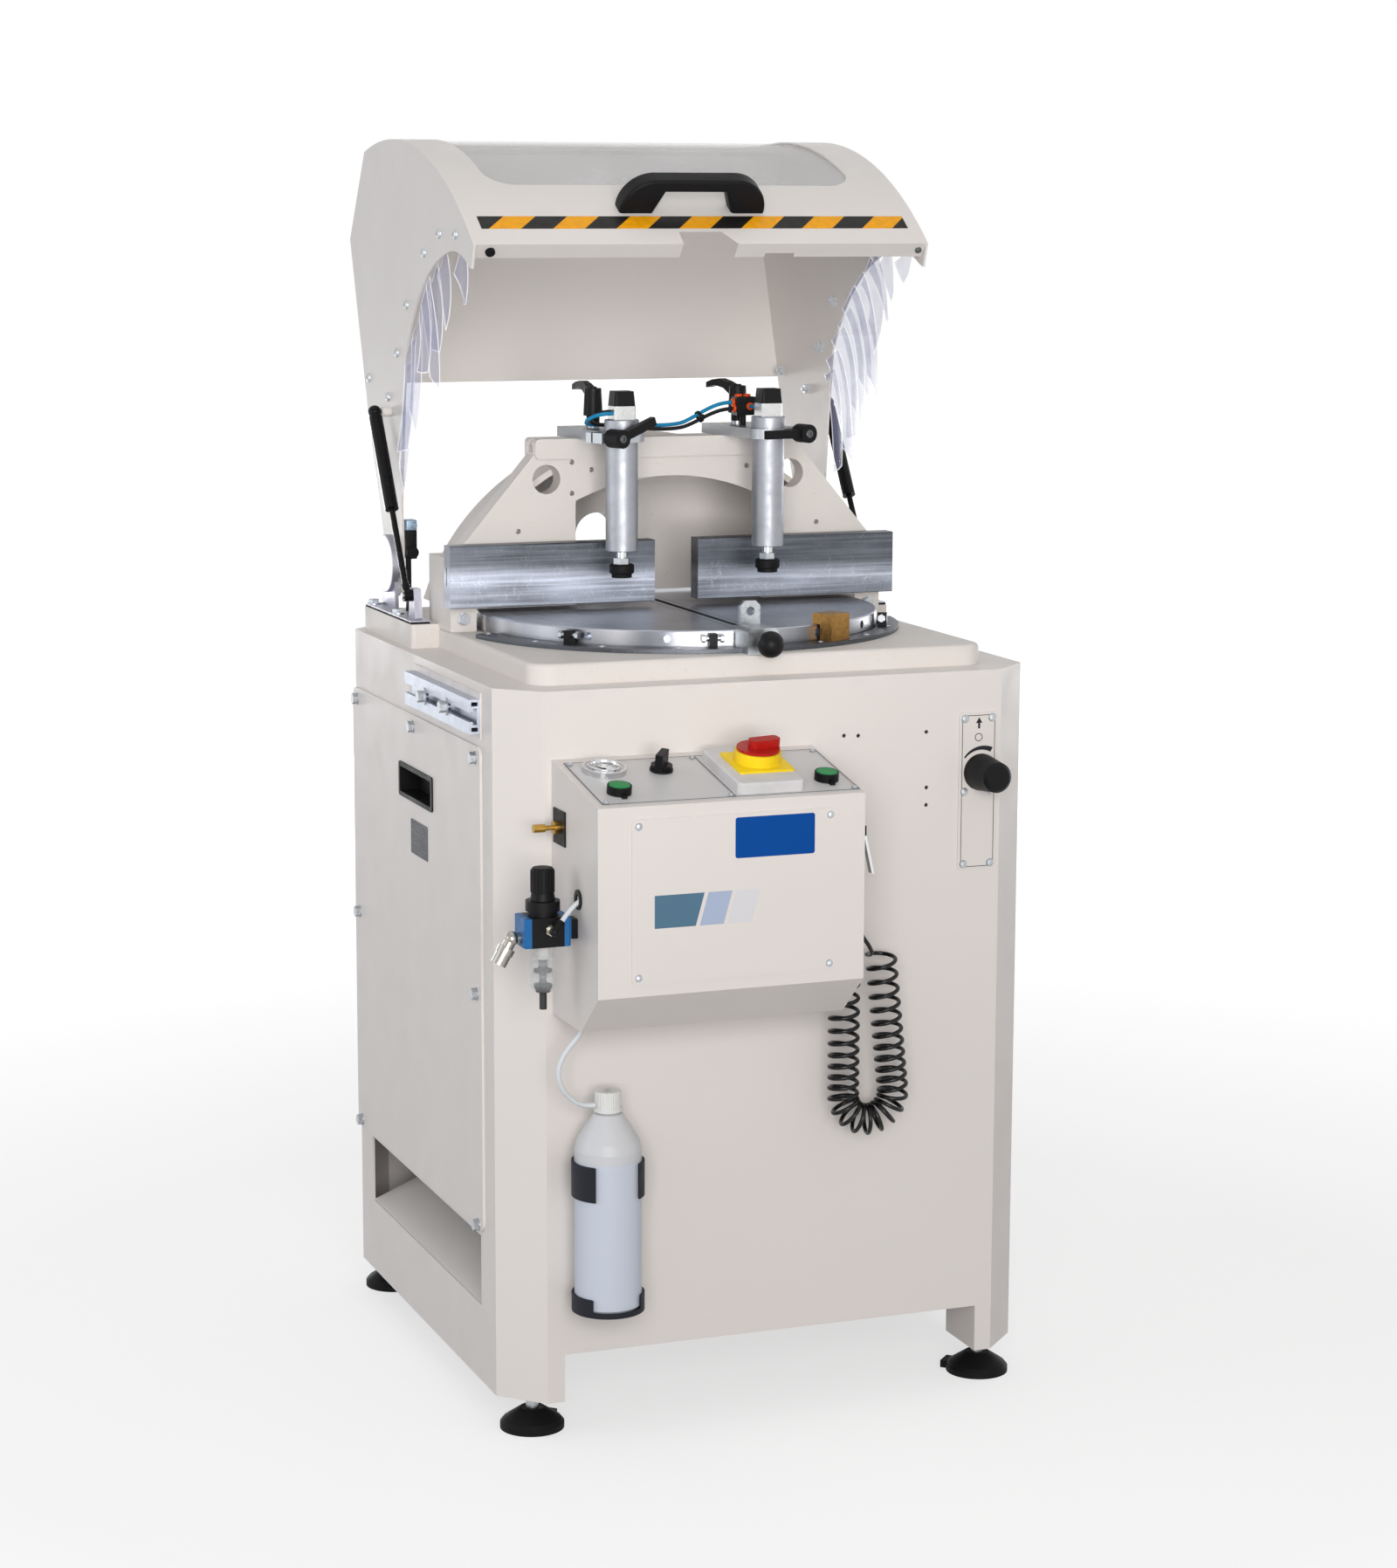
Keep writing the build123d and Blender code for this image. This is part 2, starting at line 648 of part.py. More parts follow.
def inset(outline, distance):
    """Convex outline moved inwards, for the inside of a sheet-metal box."""
    count = len(outline)
    area = sum(outline[i - 1][0] * outline[i][1] - outline[i][0] * outline[i - 1][1] for i in range(count))
    turn = 1 if area > 0 else -1
    lines = []
    for i in range(count):
        (ax, ay), (bx, by) = outline[i - 1], outline[i]
        length = math.hypot(bx - ax, by - ay)
        ux, uy = (bx - ax) / length, (by - ay) / length
        lines.append((ax - turn * uy * distance, ay + turn * ux * distance, ux, uy))
    points = []
    for i in range(count):
        ax, ay, ux, uy = lines[i]
        bx, by, vx, vy = lines[(i + 1) % count]
        t = ((bx - ax) * vy - (by - ay) * vx) / (ux * vy - uy * vx)
        points.append((ax + t * ux, ay + t * uy))
    return points


# Fasteners

def hex_bolt(shank, washer_radius=WASHER_RADIUS, head_height=BOLT_HEAD_HEIGHT):
    """Bolt standing on z = 0 with its washer and head above and its shank below."""
    washer = bar_z(0, 0, 0, WASHER_THICK, washer_radius)
    head = Pos(0, 0, WASHER_THICK) * hexagon(BOLT_HEAD, head_height)
    return washer + head + bar_z(0, 0, -shank, WASHER_THICK, BOLT_RADIUS)


def dome_screw(radius):
    """Low domed head standing on z = 0."""
    return turned([(0, 0), (radius, 0), (radius * 0.8, DOME_HEIGHT * 0.7), (0, DOME_HEIGHT)])


def cover_bolt_places():
    """(y, z) of the side cover's bolts: three along the top, two in the middle and two below."""
    y0, y1 = COVER_Y0 + COVER_BOLT_INSET, COVER_Y1 - COVER_BOLT_INSET
    z0, z1 = COVER_Z0 + COVER_BOLT_INSET / 3, COVER_Z1 - COVER_BOLT_INSET * 0.75
    middle_y, middle_z = (y0 + y1) / 2, (z0 + z1) / 2
    return [(y1, z1), (middle_y, z1), (y0, z1), (y1, middle_z), (y0, middle_z), (y1, z0), (y0, z0)]


def box_screw_places():
    x0, x1, z0, z1 = BOX_COVER
    i = BOX_SCREW_INSET
    return [(x, z) for x in (x0 + i, x1 - i) for z in (z0 + i, z1 - i)]


def knob_screw_places():
    x0, x1, z0, z1 = KNOB_PLATE
    i = KNOB_SCREW_INSET
    return [(x, z) for x in (x0 + i, x1 - i) for z in (z0 + i, (z0 + z1) / 2, z1 - i)]


def foot_places():
    return [(sx * FOOT_X, sy * FOOT_Y) for sx in (-1, 1) for sy in (-1, 1)]


def zinc_fasteners():
    pieces = []
    for y, z in cover_bolt_places():
        pieces.append(facing((-SIDE - SHEET, y, z), (-1, 0, 0)) * hex_bolt(2 * SHEET + FIT))
    rail_face = SIDE + RAIL_PLATE + RAIL_THICK
    rail_z = (RAIL_Z0 + RAIL_Z1) / 2
    for side in (-1, 1):
        for y in RAIL_BOLT_Y:
            bolt = hex_bolt(RAIL_SLOT_DEPTH, RAIL_WASHER_RADIUS, RAIL_BOLT_HEAD)
            pieces.append(facing((side * rail_face, y, rail_z), (side, 0, 0)) * bolt)
    for x, y in foot_places():
        top = CABINET_BOTTOM + FOOT_PLATE + STUD_NUT_HEIGHT + STUD_TAIL
        stud = bar_z(x, y, STUD_SEAT, top, STUD_RADIUS)
        nut = Pos(x, y, CABINET_BOTTOM - STUD_NUT_HEIGHT) * hexagon(STUD_NUT, STUD_NUT_HEIGHT)
        lock = Pos(x, y, CABINET_BOTTOM + FOOT_PLATE) * hexagon(STUD_NUT, STUD_NUT_HEIGHT)
        pieces.append(stud + nut + lock)
    box_front = FRONT - BOX_DEPTH - PLATE_THICK
    for x, z in box_screw_places():
        pieces.append(facing((x, box_front, z), (0, -1, 0)) * dome_screw(DOME_RADIUS))
    for x, z in knob_screw_places():
        pieces.append(facing((x, FRONT - PLATE_THICK, z), (0, -1, 0)) * dome_screw(KNOB_DOME_RADIUS))
    foot_x = (BRIDGE_FOOT_INNER + CASTING_HALF_X) / 2
    foot_z = (CASTING_TOP + FENCE_BOTTOM) / 2
    for side in (-1, 1):
        pieces.append(facing((side * foot_x, FENCE_THICK, foot_z), (0, -1, 0)) * hex_bolt(-WASHER_THICK / 2))
    return Part() + pieces


# Cabinet

def cabinet_shell():
    half_y = -FRONT
    outer = chamfered_rectangle(SIDE, half_y, CORNER_CUT)
    inner = inset(outer, SHEET)
    shell = prism_z(outer, CABINET_BOTTOM, CABINET_TOP)
    shell -= prism_z(inner, NOTCH_TOP + SHEET, CABINET_TOP - SHEET)
    shell -= prism_z(inner, CABINET_BOTTOM, NOTCH_TOP)
    shell -= block(-NOTCH_HALF, NOTCH_HALF, -half_y - 1, half_y + 1, CABINET_BOTTOM - 1, NOTCH_TOP)
    shell -= bar_z(0, 0, CABINET_TOP - 2 * SHEET, CABINET_TOP + SHEET, TOP_HOLE_RADIUS)
    sole = prism_z(outer, CABINET_BOTTOM, CABINET_BOTTOM + FOOT_PLATE)
    for side_x in (-1, 1):
        for side_y in (-1, 1):
            leg_y = side_y * (half_y - LEG_DEPTH)
            corner = block(side_x * NOTCH_HALF, side_x * SIDE, leg_y, side_y * half_y, 0, NOTCH_TOP)
            shell += sole & corner
            cheek_x = side_x * (NOTCH_HALF + SHEET)
            shell += block(side_x * NOTCH_HALF, cheek_x, leg_y, side_y * (half_y - SHEET / 2),
                           CABINET_BOTTOM, NOTCH_TOP + SHEET / 2)
    for x, y in foot_places():
        shell -= bar_z(x, y, 0, NOTCH_TOP, STUD_RADIUS + FIT)
    left_wall = (-SIDE - 1, -SIDE + SHEET + 1)
    lap = COVER_LAP
    shell -= block(*left_wall, COVER_Y0 + lap, COVER_Y1 - lap, COVER_Z0 + lap, COVER_Z1 - lap)
    shell -= block(*left_wall, MOUTH_Y0, MOUTH_Y1, MOUTH_Z0, MOUTH_Z1)
    for y, z in cover_bolt_places():
        shell -= bar_x(*left_wall, y, z, BOLT_RADIUS + FIT)
    for across, up in WALL_HOLES:
        shell -= bar_y(SIDE + across, FRONT - 1, FRONT + SHEET + 1, CABINET_TOP + up, WALL_HOLE_RADIUS)
    low, high = SHEET / 2 - SIDE, SIDE - SHEET / 2
    chute = [(low, MOUTH_Z0 - SHEET), (high, CHUTE_TOP - SHEET), (high, CHUTE_TOP), (low, MOUTH_Z0)]
    return shell + prism_y(chute, MOUTH_Y0, MOUTH_Y1)


def side_cover():
    cover = plate_x(COVER_Y0, COVER_Y1, COVER_Z0, COVER_Z1, -SIDE - SHEET, -SIDE, COVER_CORNER)
    through = (-SIDE - 2 * SHEET, -SIDE + SHEET)
    half_y, half_z = PULL_LENGTH / 2 + FIT, PULL_HEIGHT / 2 + FIT
    cover -= block(*through, PULL_Y - half_y, PULL_Y + half_y, PULL_Z - half_z, PULL_Z + half_z)
    for y, z in cover_bolt_places():
        cover -= bar_x(*through, y, z, BOLT_RADIUS + FIT)
    return cover


def recessed_pull():
    """Tray with a rim on the cover's face and a pocket behind it."""
    face = -SIDE - SHEET
    half_y, half_z = PULL_LENGTH / 2, PULL_HEIGHT / 2
    rim = plate_x(PULL_Y - half_y - PULL_RIM, PULL_Y + half_y + PULL_RIM, PULL_Z - half_z - PULL_RIM,
                  PULL_Z + half_z + PULL_RIM, face - PULL_WALL, face, PULL_RIM)
    pocket = block(face - PULL_WALL / 2, face + PULL_DEPTH, PULL_Y - half_y, PULL_Y + half_y, PULL_Z - half_z,
                   PULL_Z + half_z)
    inner_y, inner_z = half_y - PULL_WALL, half_z - PULL_WALL
    hollow = block(face - 2 * PULL_WALL, face + PULL_DEPTH - PULL_WALL, PULL_Y - inner_y, PULL_Y + inner_y,
                   PULL_Z - inner_z, PULL_Z + inner_z)
    return rim + pocket - hollow


def foot_pads():
    pads = []
    for x, y in foot_places():
        pad = turned([(0, 0), (FOOT_RADIUS, 0), (FOOT_RADIUS, FOOT_RIM * 0.6), (FOOT_RADIUS - 4, FOOT_RIM),
                      (FOOT_NECK_RADIUS, FOOT_HEIGHT), (0, FOOT_HEIGHT)])
        lug = block(FOOT_RADIUS * 0.6, FOOT_RADIUS + FOOT_RIM / 2, -FOOT_RIM, FOOT_RIM, 0, FOOT_RIM * 0.8)
        turn = Rot(0, 0, math.degrees(math.atan2(-y, -x)))
        pad = Pos(x, y, 0) * (turn * (pad + lug))
        pads.append(pad - bar_z(x, y, STUD_SEAT, FOOT_HEIGHT + 1, STUD_RADIUS + RUN))
    return Part() + pads


def roller_rails():
    middle = (RAIL_Z0 + RAIL_Z1) / 2
    plate_face = SIDE + RAIL_PLATE
    face = plate_face + RAIL_THICK
    plate = block(SIDE, plate_face, RAIL_Y0, RAIL_Y1 + RAIL_PLATE_EDGE, RAIL_Z0 - RAIL_PLATE_EDGE,
                  RAIL_Z1 + RAIL_PLATE_EDGE)
    rail = plate + block(plate_face, face, RAIL_Y0, RAIL_Y1, RAIL_Z0, RAIL_Z1)
    neck = block(face - RAIL_SLOT_DEPTH, face + 1, RAIL_Y0 - 1, RAIL_Y1 + 1, middle - RAIL_SLOT / 2,
                 middle + RAIL_SLOT / 2)
    tee_face = face - RAIL_SLOT_DEPTH
    tee = block(tee_face - RAIL_TEE_DEPTH, tee_face, RAIL_Y0 - 1, RAIL_Y1 + 1, middle - RAIL_TEE / 2,
                middle + RAIL_TEE / 2)
    rail = rail - neck - tee
    chamber = (RAIL_HEIGHT - RAIL_TEE) / 2 - 2 * RAIL_WALL
    for low in (RAIL_Z0 + RAIL_WALL, RAIL_Z1 - RAIL_WALL - chamber):
        rail -= block(plate_face + RAIL_WALL, face - RAIL_WALL, RAIL_Y0 - 1, RAIL_Y1 + 1, low, low + chamber)
    return mirrored(rail)


# Table

def base_casting():
    plate = extrude(Plane.XY.offset(CABINET_TOP) * RectangleRounded(2 * CASTING_HALF_X, 2 * CASTING_HALF_Y,
                                                                    CASTING_CORNER),
                    amount=CASTING_TOP - CABINET_TOP)
    plate = fillet(plate.faces().sort_by(Axis.Z)[-1].edges(), CASTING_EDGE)
    for side in (-1, 1):
        inner = side * (CASTING_HALF_X - CASTING_CORNER)
        boss = block(inner, side * BOSS_X, BOSS_Y0, BOSS_Y1, CABINET_TOP, BOSS_TOP)
        boss = fillet(boss.edges().filter_by(Axis.Z), CASTING_EDGE)
        boss -= block(inner - side, side * CASTING_HALF_X, BOSS_Y0, BOSS_Y1, CASTING_TOP, BOSS_TOP + 1)
        plate += boss
    plate += bar_z(0, 0, CABINET_TOP, TABLE_BOTTOM - GAP / 2, SLIDE_RIM_RADIUS)
    return plate - bar_z(0, 0, CABINET_TOP - 1, TABLE_TOP, SPIGOT_RADIUS + RUN)


def turntable_ring():
    """Half ring round the front of the table, ending short of the bridge feet."""
    ring = bar_z(0, 0, CASTING_TOP, RING_TOP, RING_OUTER) - bar_z(0, 0, 0, TABLE_TOP, RING_INNER)
    end_y = -RING_OUTER * math.sin(math.radians(RING_END_ANGLE))
    return ring - block(-2 * RING_OUTER, 2 * RING_OUTER, end_y, 2 * RING_OUTER, 0, TABLE_TOP)


def turntable_disc():
    disc = turned([(0, TABLE_BOTTOM), (TABLE_RADIUS, TABLE_BOTTOM), (TABLE_RADIUS, TABLE_TOP - TABLE_EDGE),
                   (TABLE_RADIUS - TABLE_EDGE, TABLE_TOP), (0, TABLE_TOP)])
    disc += bar_z(0, 0, SPIGOT_BOTTOM, TABLE_BOTTOM + 1, SPIGOT_RADIUS)
    disc -= bar_z(0, 0, SPIGOT_BOTTOM - 1, TABLE_BOTTOM, SPIGOT_RADIUS - SPIGOT_WALL)
    disc -= block(-BLADE_SLOT / 2, BLADE_SLOT / 2, SLOT_FRONT, SLOT_BACK, SPIGOT_BOTTOM, TABLE_TOP + 1)
    hole = bar_y(INDEX_X, -TABLE_RADIUS - 1, PLUNGER_HOLE - TABLE_RADIUS, PLUNGER_Z, PLUNGER_RADIUS + GAP)
    for angle in INDEX_STEPS:
        disc -= Rot(0, 0, angle) * hole
    return disc


def index_tab():
    half = TAB_WIDTH / 2
    cut = half * 0.45
    top = TABLE_TOP + TAB_HEIGHT
    outline = [(TAB_X - half, TABLE_TOP), (TAB_X + half, TABLE_TOP), (TAB_X + half, top - cut),
               (TAB_X + half - cut, top), (TAB_X - half + cut, top), (TAB_X - half, top - cut)]
    tab = prism_y(outline, TAB_Y - TAB_THICK / 2, TAB_Y + TAB_THICK / 2)
    return tab - bar_y(TAB_X, TAB_Y - TAB_THICK, TAB_Y + TAB_THICK, top - half, TAB_HOLE_RADIUS)


def table_stops():
    """Index block and the angle stops, all standing on the base."""
    half = INDEX_WIDTH / 2
    index = block(INDEX_X - half, INDEX_X + half, INDEX_FRONT, INDEX_BACK, CASTING_TOP, INDEX_TOP)
    index = chamfer(index.edges().filter_by(Axis.Y).group_by(Axis.Z)[-1], INDEX_EDGE)
    index -= bar_z(0, 0, CASTING_TOP - 1, RING_TOP + FIT, RING_OUTER + FIT)
    index -= bar_y(INDEX_X, INDEX_FRONT - 1, INDEX_BACK + 1, PLUNGER_Z, PLUNGER_RADIUS + RUN)
    pieces = [index]
    for angle in STOP_ANGLES:
        inner, half = RING_INNER + GAP, STOP_WIDTH / 2
        stop = block(inner, inner + STOP_RADIAL, -half, half, RING_TOP, RING_TOP + STOP_HEIGHT)
        middle = inner + STOP_RADIAL / 2
        stop_z = RING_TOP + STOP_HEIGHT * 0.65
        end = half + STOP_BOLT_REACH
        stop += bar_y(middle, -end, end, stop_z, STOP_BOLT_RADIUS)
        for start in (-end, end - STOP_BOLT_HEAD / 2):
            head = hexagon(STOP_BOLT_HEAD, STOP_BOLT_HEAD / 2)
            stop += facing((middle, start, stop_z), (0, 1, 0)) * head
        pieces.append(Rot(0, 0, angle) * stop)
    return Part() + pieces


def index_knob():
    """Ball knob on a plunger that slides in the index block."""
    tip = -TABLE_RADIUS - GAP - PLUNGER_TRAVEL / 4
    ball_y = INDEX_FRONT - KNOB_BALL_RADIUS - PLUNGER_TRAVEL - GAP
    stem = bar_y(INDEX_X, ball_y, tip, PLUNGER_Z, PLUNGER_RADIUS)
    ball = Pos(INDEX_X, ball_y, PLUNGER_Z) * Sphere(KNOB_BALL_RADIUS)
    return stem + ball


def bronze_clamp():
    """Hook that holds the table down: it stands on the base and reaches over the rim."""
    half = HOOK_WIDTH / 2
    inner = RING_INNER - GAP
    hook = block(inner, HOOK_OUTER, -half, half, RING_TOP, HOOK_TOP)
    hook += block(HOOK_INNER, HOOK_OUTER, -half, half, TABLE_TOP + GAP, HOOK_TOP)
    hook = chamfer(hook.edges().filter_by(Axis.Y).group_by(Axis.Z)[-1], HOOK_EDGE)
    return Rot(0, 0, HOOK_ANGLE) * hook


def fences():
    outer = FENCE_GAP_HALF + FENCE_LENGTH
    fence = block(FENCE_GAP_HALF, outer, 0, FENCE_THICK, FENCE_BOTTOM, FENCE_TOP)
    fence = chamfer(fence.edges().filter_by(Axis.X), 1)
    slot_z = (FENCE_BOTTOM + FENCE_TOP) / 2
    half = FENCE_POCKET / 2
    fence -= block(outer - FENCE_POCKET_DEPTH, outer + 1, FENCE_THICK * 0.55, FENCE_THICK * 0.7,
                   slot_z - half, slot_z + half)
    return mirrored(fence)


def bridge_casting():
    front, back = FENCE_THICK, FENCE_THICK + BRIDGE_THICK
    half = [(CASTING_HALF_X, CASTING_TOP), (CASTING_HALF_X, BRIDGE_FOOT_TOP),
            (BRIDGE_WAIST, BRIDGE_WAIST_TOP), (BRIDGE_SHOULDER, BRIDGE_SHOULDER_TOP)]
    outline = half + [(-x, z) for x, z in reversed(half)]
    frame = prism_y(outline, front, back)
    frame -= block(-BRIDGE_FOOT_INNER, BRIDGE_FOOT_INNER, front - 1, back + 1, CASTING_TOP - 1, BRIDGE_UNDER)
    feet = []
    for side in (-1, 1):
        feet.append(block(side * BRIDGE_FOOT_INNER, side * CASTING_HALF_X, back - 1,
                          front + BRIDGE_FOOT_DEPTH, CASTING_TOP, BRIDGE_FOOT_TOP))
    bar_front = front - BAR_OVERHANG
    bar = block(-BAR_HALF, BAR_HALF, bar_front, bar_front + BAR_DEPTH, BAR_BOTTOM, BAR_TOP)
    bar = fillet(bar.edges().filter_by(Axis.Y), CASTING_EDGE)
    casting = frame + feet + bar + shroud(back)
    arch_face = make_face(
        Polyline((-ARCH_HALF, ARCH_SPRING), (-ARCH_HALF, BRIDGE_UNDER - 1), (ARCH_HALF, BRIDGE_UNDER - 1),
                 (ARCH_HALF, ARCH_SPRING)).edges()
        + ThreePointArc((ARCH_HALF, ARCH_SPRING), (0, ARCH_CROWN), (-ARCH_HALF, ARCH_SPRING)).edges())
    arch_plane = Plane(origin=(0, back + SHROUD_WALL, 0), x_dir=(1, 0, 0), z_dir=(0, -1, 0))
    casting -= extrude(arch_plane * arch_face, amount=BRIDGE_THICK + 2 * SHROUD_WALL, dir=(0, -1, 0))
    for side in (-1, 1):
        casting -= bar_y(side * BRIDGE_HOLE_X, front - 1, back + 1, BRIDGE_HOLE_Z, BRIDGE_HOLE_RADIUS)
        for x, z in tapped_holes():
            casting -= bar_y(side * x, front - 1, front + TAPPED_DEPTH, z, TAPPED_RADIUS)
    for z in (BAR_BOTTOM - 4.5, BAR_BOTTOM - 45):
        casting -= bar_y(-ARCH_HALF - 5, front - 1, front + TAPPED_DEPTH, z, TAPPED_RADIUS)
    slot_y = slot_line()
    casting -= block(-BAR_HALF - 1, BAR_HALF + 1, slot_y - BAR_SLOT / 2, slot_y + BAR_SLOT / 2,
                     BAR_TOP - BAR_SLOT_DEPTH, BAR_TOP + 1)
    tee_top = BAR_TOP - BAR_SLOT_DEPTH
    return casting - block(-BAR_HALF - 1, BAR_HALF + 1, slot_y - BAR_TEE / 2, slot_y + BAR_TEE / 2,
                           tee_top - BAR_TEE_DEPTH, tee_top)


def tapped_holes():
    """(x, z) of the tapped holes in one half of the bridge's face."""
    return [(ARCH_HALF - 22, BAR_BOTTOM - 15), (BRIDGE_WAIST - 69, BRIDGE_WAIST_TOP + 9)]


def slot_line():
    """Y of the tee slot along the top of the bridge."""
    return CLAMP_Y + LEVER_BOLT_Y


def shroud(front):
    """Half-round hood behind the arch, with a back wall and a dust port."""
    length = SHROUD_BACK - front
    outer = bar_y(0, front - 1, SHROUD_BACK, SHROUD_CENTRE_Z, SHROUD_RADIUS)
    outer = fillet(outer.edges().sort_by(Axis.Y)[-1], SHROUD_EDGE)
    inner = bar_y(0, front - length, SHROUD_BACK - SHROUD_WALL, SHROUD_CENTRE_Z, SHROUD_RADIUS - SHROUD_WALL)
    inner = fillet(inner.edges().sort_by(Axis.Y)[-1], SHROUD_EDGE - SHROUD_WALL)
    port_end = SHROUD_BACK + PORT_LENGTH
    collar = bar_y(PORT_X, SHROUD_BACK - SHROUD_WALL / 2, port_end, PORT_Z, PORT_RADIUS + PORT_COLLAR)
    hood = outer - inner + collar
    hood -= bar_y(PORT_X, front, port_end + 1, PORT_Z, PORT_RADIUS)
    wide = 2 * SHROUD_RADIUS
    hood -= block(-wide, wide, front - length, SHROUD_BACK + 1, 0, BRIDGE_UNDER)
    for side in (-1, 1):
        hood -= block(side * CASTING_HALF_X, side * wide, front - length, SHROUD_BACK + 1, 0, FENCE_TOP)
    return hood


# Saw unit under the turntable

def arm_point(along, drop):
    """(y, z) on the arm at rest: a distance from the swing axis and a drop below the arm's line."""
    angle = math.radians(ARM_REST_ANGLE)
    y = SWING_Y - along * math.cos(angle) - drop * math.sin(angle)
    z = SWING_Z + along * math.sin(angle) - drop * math.cos(angle)
    return y, z


SPINDLE_Y, SPINDLE_Z = arm_point(ARM_LENGTH, 0)
LUG_Y, LUG_Z = arm_point(LIFT_LUG_ALONG, LIFT_LUG_DROP)


def strap(y0, z0, r0, y1, z1, r1, x0, x1):
    """Plate round two circles with straight tangents between them."""
    length = math.hypot(y1 - y0, z1 - z0)
    heading = math.atan2(z1 - z0, y1 - y0)
    lean = math.acos((r0 - r1) / length)
    ends = [(y0, z0, r0, heading + lean), (y1, z1, r1, heading + lean), (y1, z1, r1, heading - lean),
            (y0, z0, r0, heading - lean)]
    outline = [(y + r * math.cos(a), z + r * math.sin(a)) for y, z, r, a in ends]
    return prism_x(outline, x0, x1) + bar_x(x0, x1, y0, z0, r0) + bar_x(x0, x1, y1, z1, r1)


def saw_hanger():
    margin = LIFT_EYE_RADIUS + LIFT_ROD_RADIUS
    corner_y, foot_z = LIFT_PIVOT_Y - margin, LIFT_PIVOT_Z - margin
    waist_z = SWING_Z - MOTOR_RADIUS
    outline = [(HANGER_Y0, TABLE_BOTTOM), (HANGER_Y0, waist_z), (corner_y, LIFT_PIVOT_Z + margin),
               (corner_y, foot_z), (corner_y + 3 * margin, foot_z), (HANGER_Y1, waist_z),
               (HANGER_Y1, TABLE_BOTTOM)]
    cheek = prism_x(outline, HANGER_X0, HANGER_X1)
    flange = block(HANGER_X0, HANGER_FLANGE_X, HANGER_Y0 - 20, HANGER_Y1, TABLE_BOTTOM - HANGER_FLANGE,
                   TABLE_BOTTOM)
    tube = bar_x(ARM_X0 - RUN, HANGER_X0 + 1, SWING_Y, SWING_Z, SWING_TUBE_RADIUS)
    pin = bar_x(LIFT_X - LIFT_TUBE_RADIUS, HANGER_X0 + 1, LIFT_PIVOT_Y, LIFT_PIVOT_Z, LIFT_ROD_RADIUS)
    hanger = cheek + flange + tube + pin
    return hanger - bar_x(ARM_X0 - 1, HANGER_X1 + 1, SWING_Y, SWING_Z, SWING_TUBE_BORE)


def motor():
    x0, x1 = HANGER_X1, HANGER_X1 + MOTOR_LENGTH
    core = MOTOR_RADIUS - MOTOR_FIN
    body = bar_x(x0, x1, SWING_Y, SWING_Z, core)
    body += bar_x(x0, x0 + MOTOR_FOOT, SWING_Y, SWING_Z, MOTOR_RADIUS)
    body += bar_x(x1 - 3 * MOTOR_FOOT, x1, SWING_Y, SWING_Z, MOTOR_RADIUS)
    fin = block(x0 + 2, x1 - 2, core - MOTOR_FIN, MOTOR_RADIUS - 1, -MOTOR_FIN / 4, MOTOR_FIN / 4)
    for i in range(MOTOR_FINS):
        body += Pos(0, SWING_Y, SWING_Z) * (Rot(360 / MOTOR_FINS * i, 0, 0) * fin)
    return body - bar_x(x0 - 1, x0 + 3 * MOTOR_FOOT, SWING_Y, SWING_Z, SHAFT_RADIUS + RUN)


def motor_pulley():
    shaft = bar_x(PULLEY_X0 - SPINDLE_END, HANGER_X1 + 2.5 * MOTOR_FOOT, SWING_Y, SWING_Z, SHAFT_RADIUS)
    return shaft + bar_x(PULLEY_X0, PULLEY_X1, SWING_Y, SWING_Z, MOTOR_PULLEY_RADIUS)


def saw_arm():
    arm = strap(SWING_Y, SWING_Z, ARM_WEB / 2 + 12, SPINDLE_Y, SPINDLE_Z, ARM_WEB / 2, ARM_X0, ARM_X1)
    arm += bar_x(ARM_X0, ARM_X1, SWING_Y, SWING_Z, ARM_HUB_RADIUS)
    arm += bar_x(HOUSING_X0, HOUSING_X1, SPINDLE_Y, SPINDLE_Z, HOUSING_RADIUS)
    lug = bar_x(ARM_X0, ARM_X1, LUG_Y, LUG_Z, LIFT_EYE_RADIUS)
    over_y, over_z = arm_point(LIFT_LUG_ALONG, 0)
    arm += lug + strap(LUG_Y, LUG_Z, LIFT_EYE_RADIUS, over_y, over_z, LIFT_EYE_RADIUS - 1, ARM_X0, ARM_X1)
    slot_half = LIFT_EYE / 2 + GAP
    reach = LIFT_EYE_RADIUS + LIFT_PIN_PLAY + 2
    arm -= bar_x(LIFT_X - slot_half, LIFT_X + slot_half, LUG_Y, LUG_Z, reach)
    arm -= block(LIFT_X - slot_half, LIFT_X + slot_half, LUG_Y - reach, LUG_Y + reach, LUG_Z - 2 * reach,
                 LUG_Z)
    arm += bar_x(ARM_X0, ARM_X1, LUG_Y, LUG_Z, LIFT_PIN_RADIUS)
    arm -= bar_x(ARM_X0 - 1, ARM_X1 + 1, SWING_Y, SWING_Z, SWING_TUBE_RADIUS + RUN)
    return arm - bar_x(HOUSING_X0 - 1, HOUSING_X1 + 1, SPINDLE_Y, SPINDLE_Z, SPINDLE_RADIUS + RUN)


def drive_belt():
    middle = (PULLEY_X0 + PULLEY_X1) / 2
    x0, x1 = middle - BELT_WIDTH / 2, middle + BELT_WIDTH / 2
    inner_0 = MOTOR_PULLEY_RADIUS + BELT_LIFT
    inner_1 = SPINDLE_PULLEY_RADIUS + BELT_LIFT
    ends = (SWING_Y, SWING_Z, inner_0 + BELT_THICK, SPINDLE_Y, SPINDLE_Z, inner_1 + BELT_THICK)
    hole = (SWING_Y, SWING_Z, inner_0, SPINDLE_Y, SPINDLE_Z, inner_1)
    return strap(*ends, x0, x1) - strap(*hole, x0 - 1, x1 + 1)


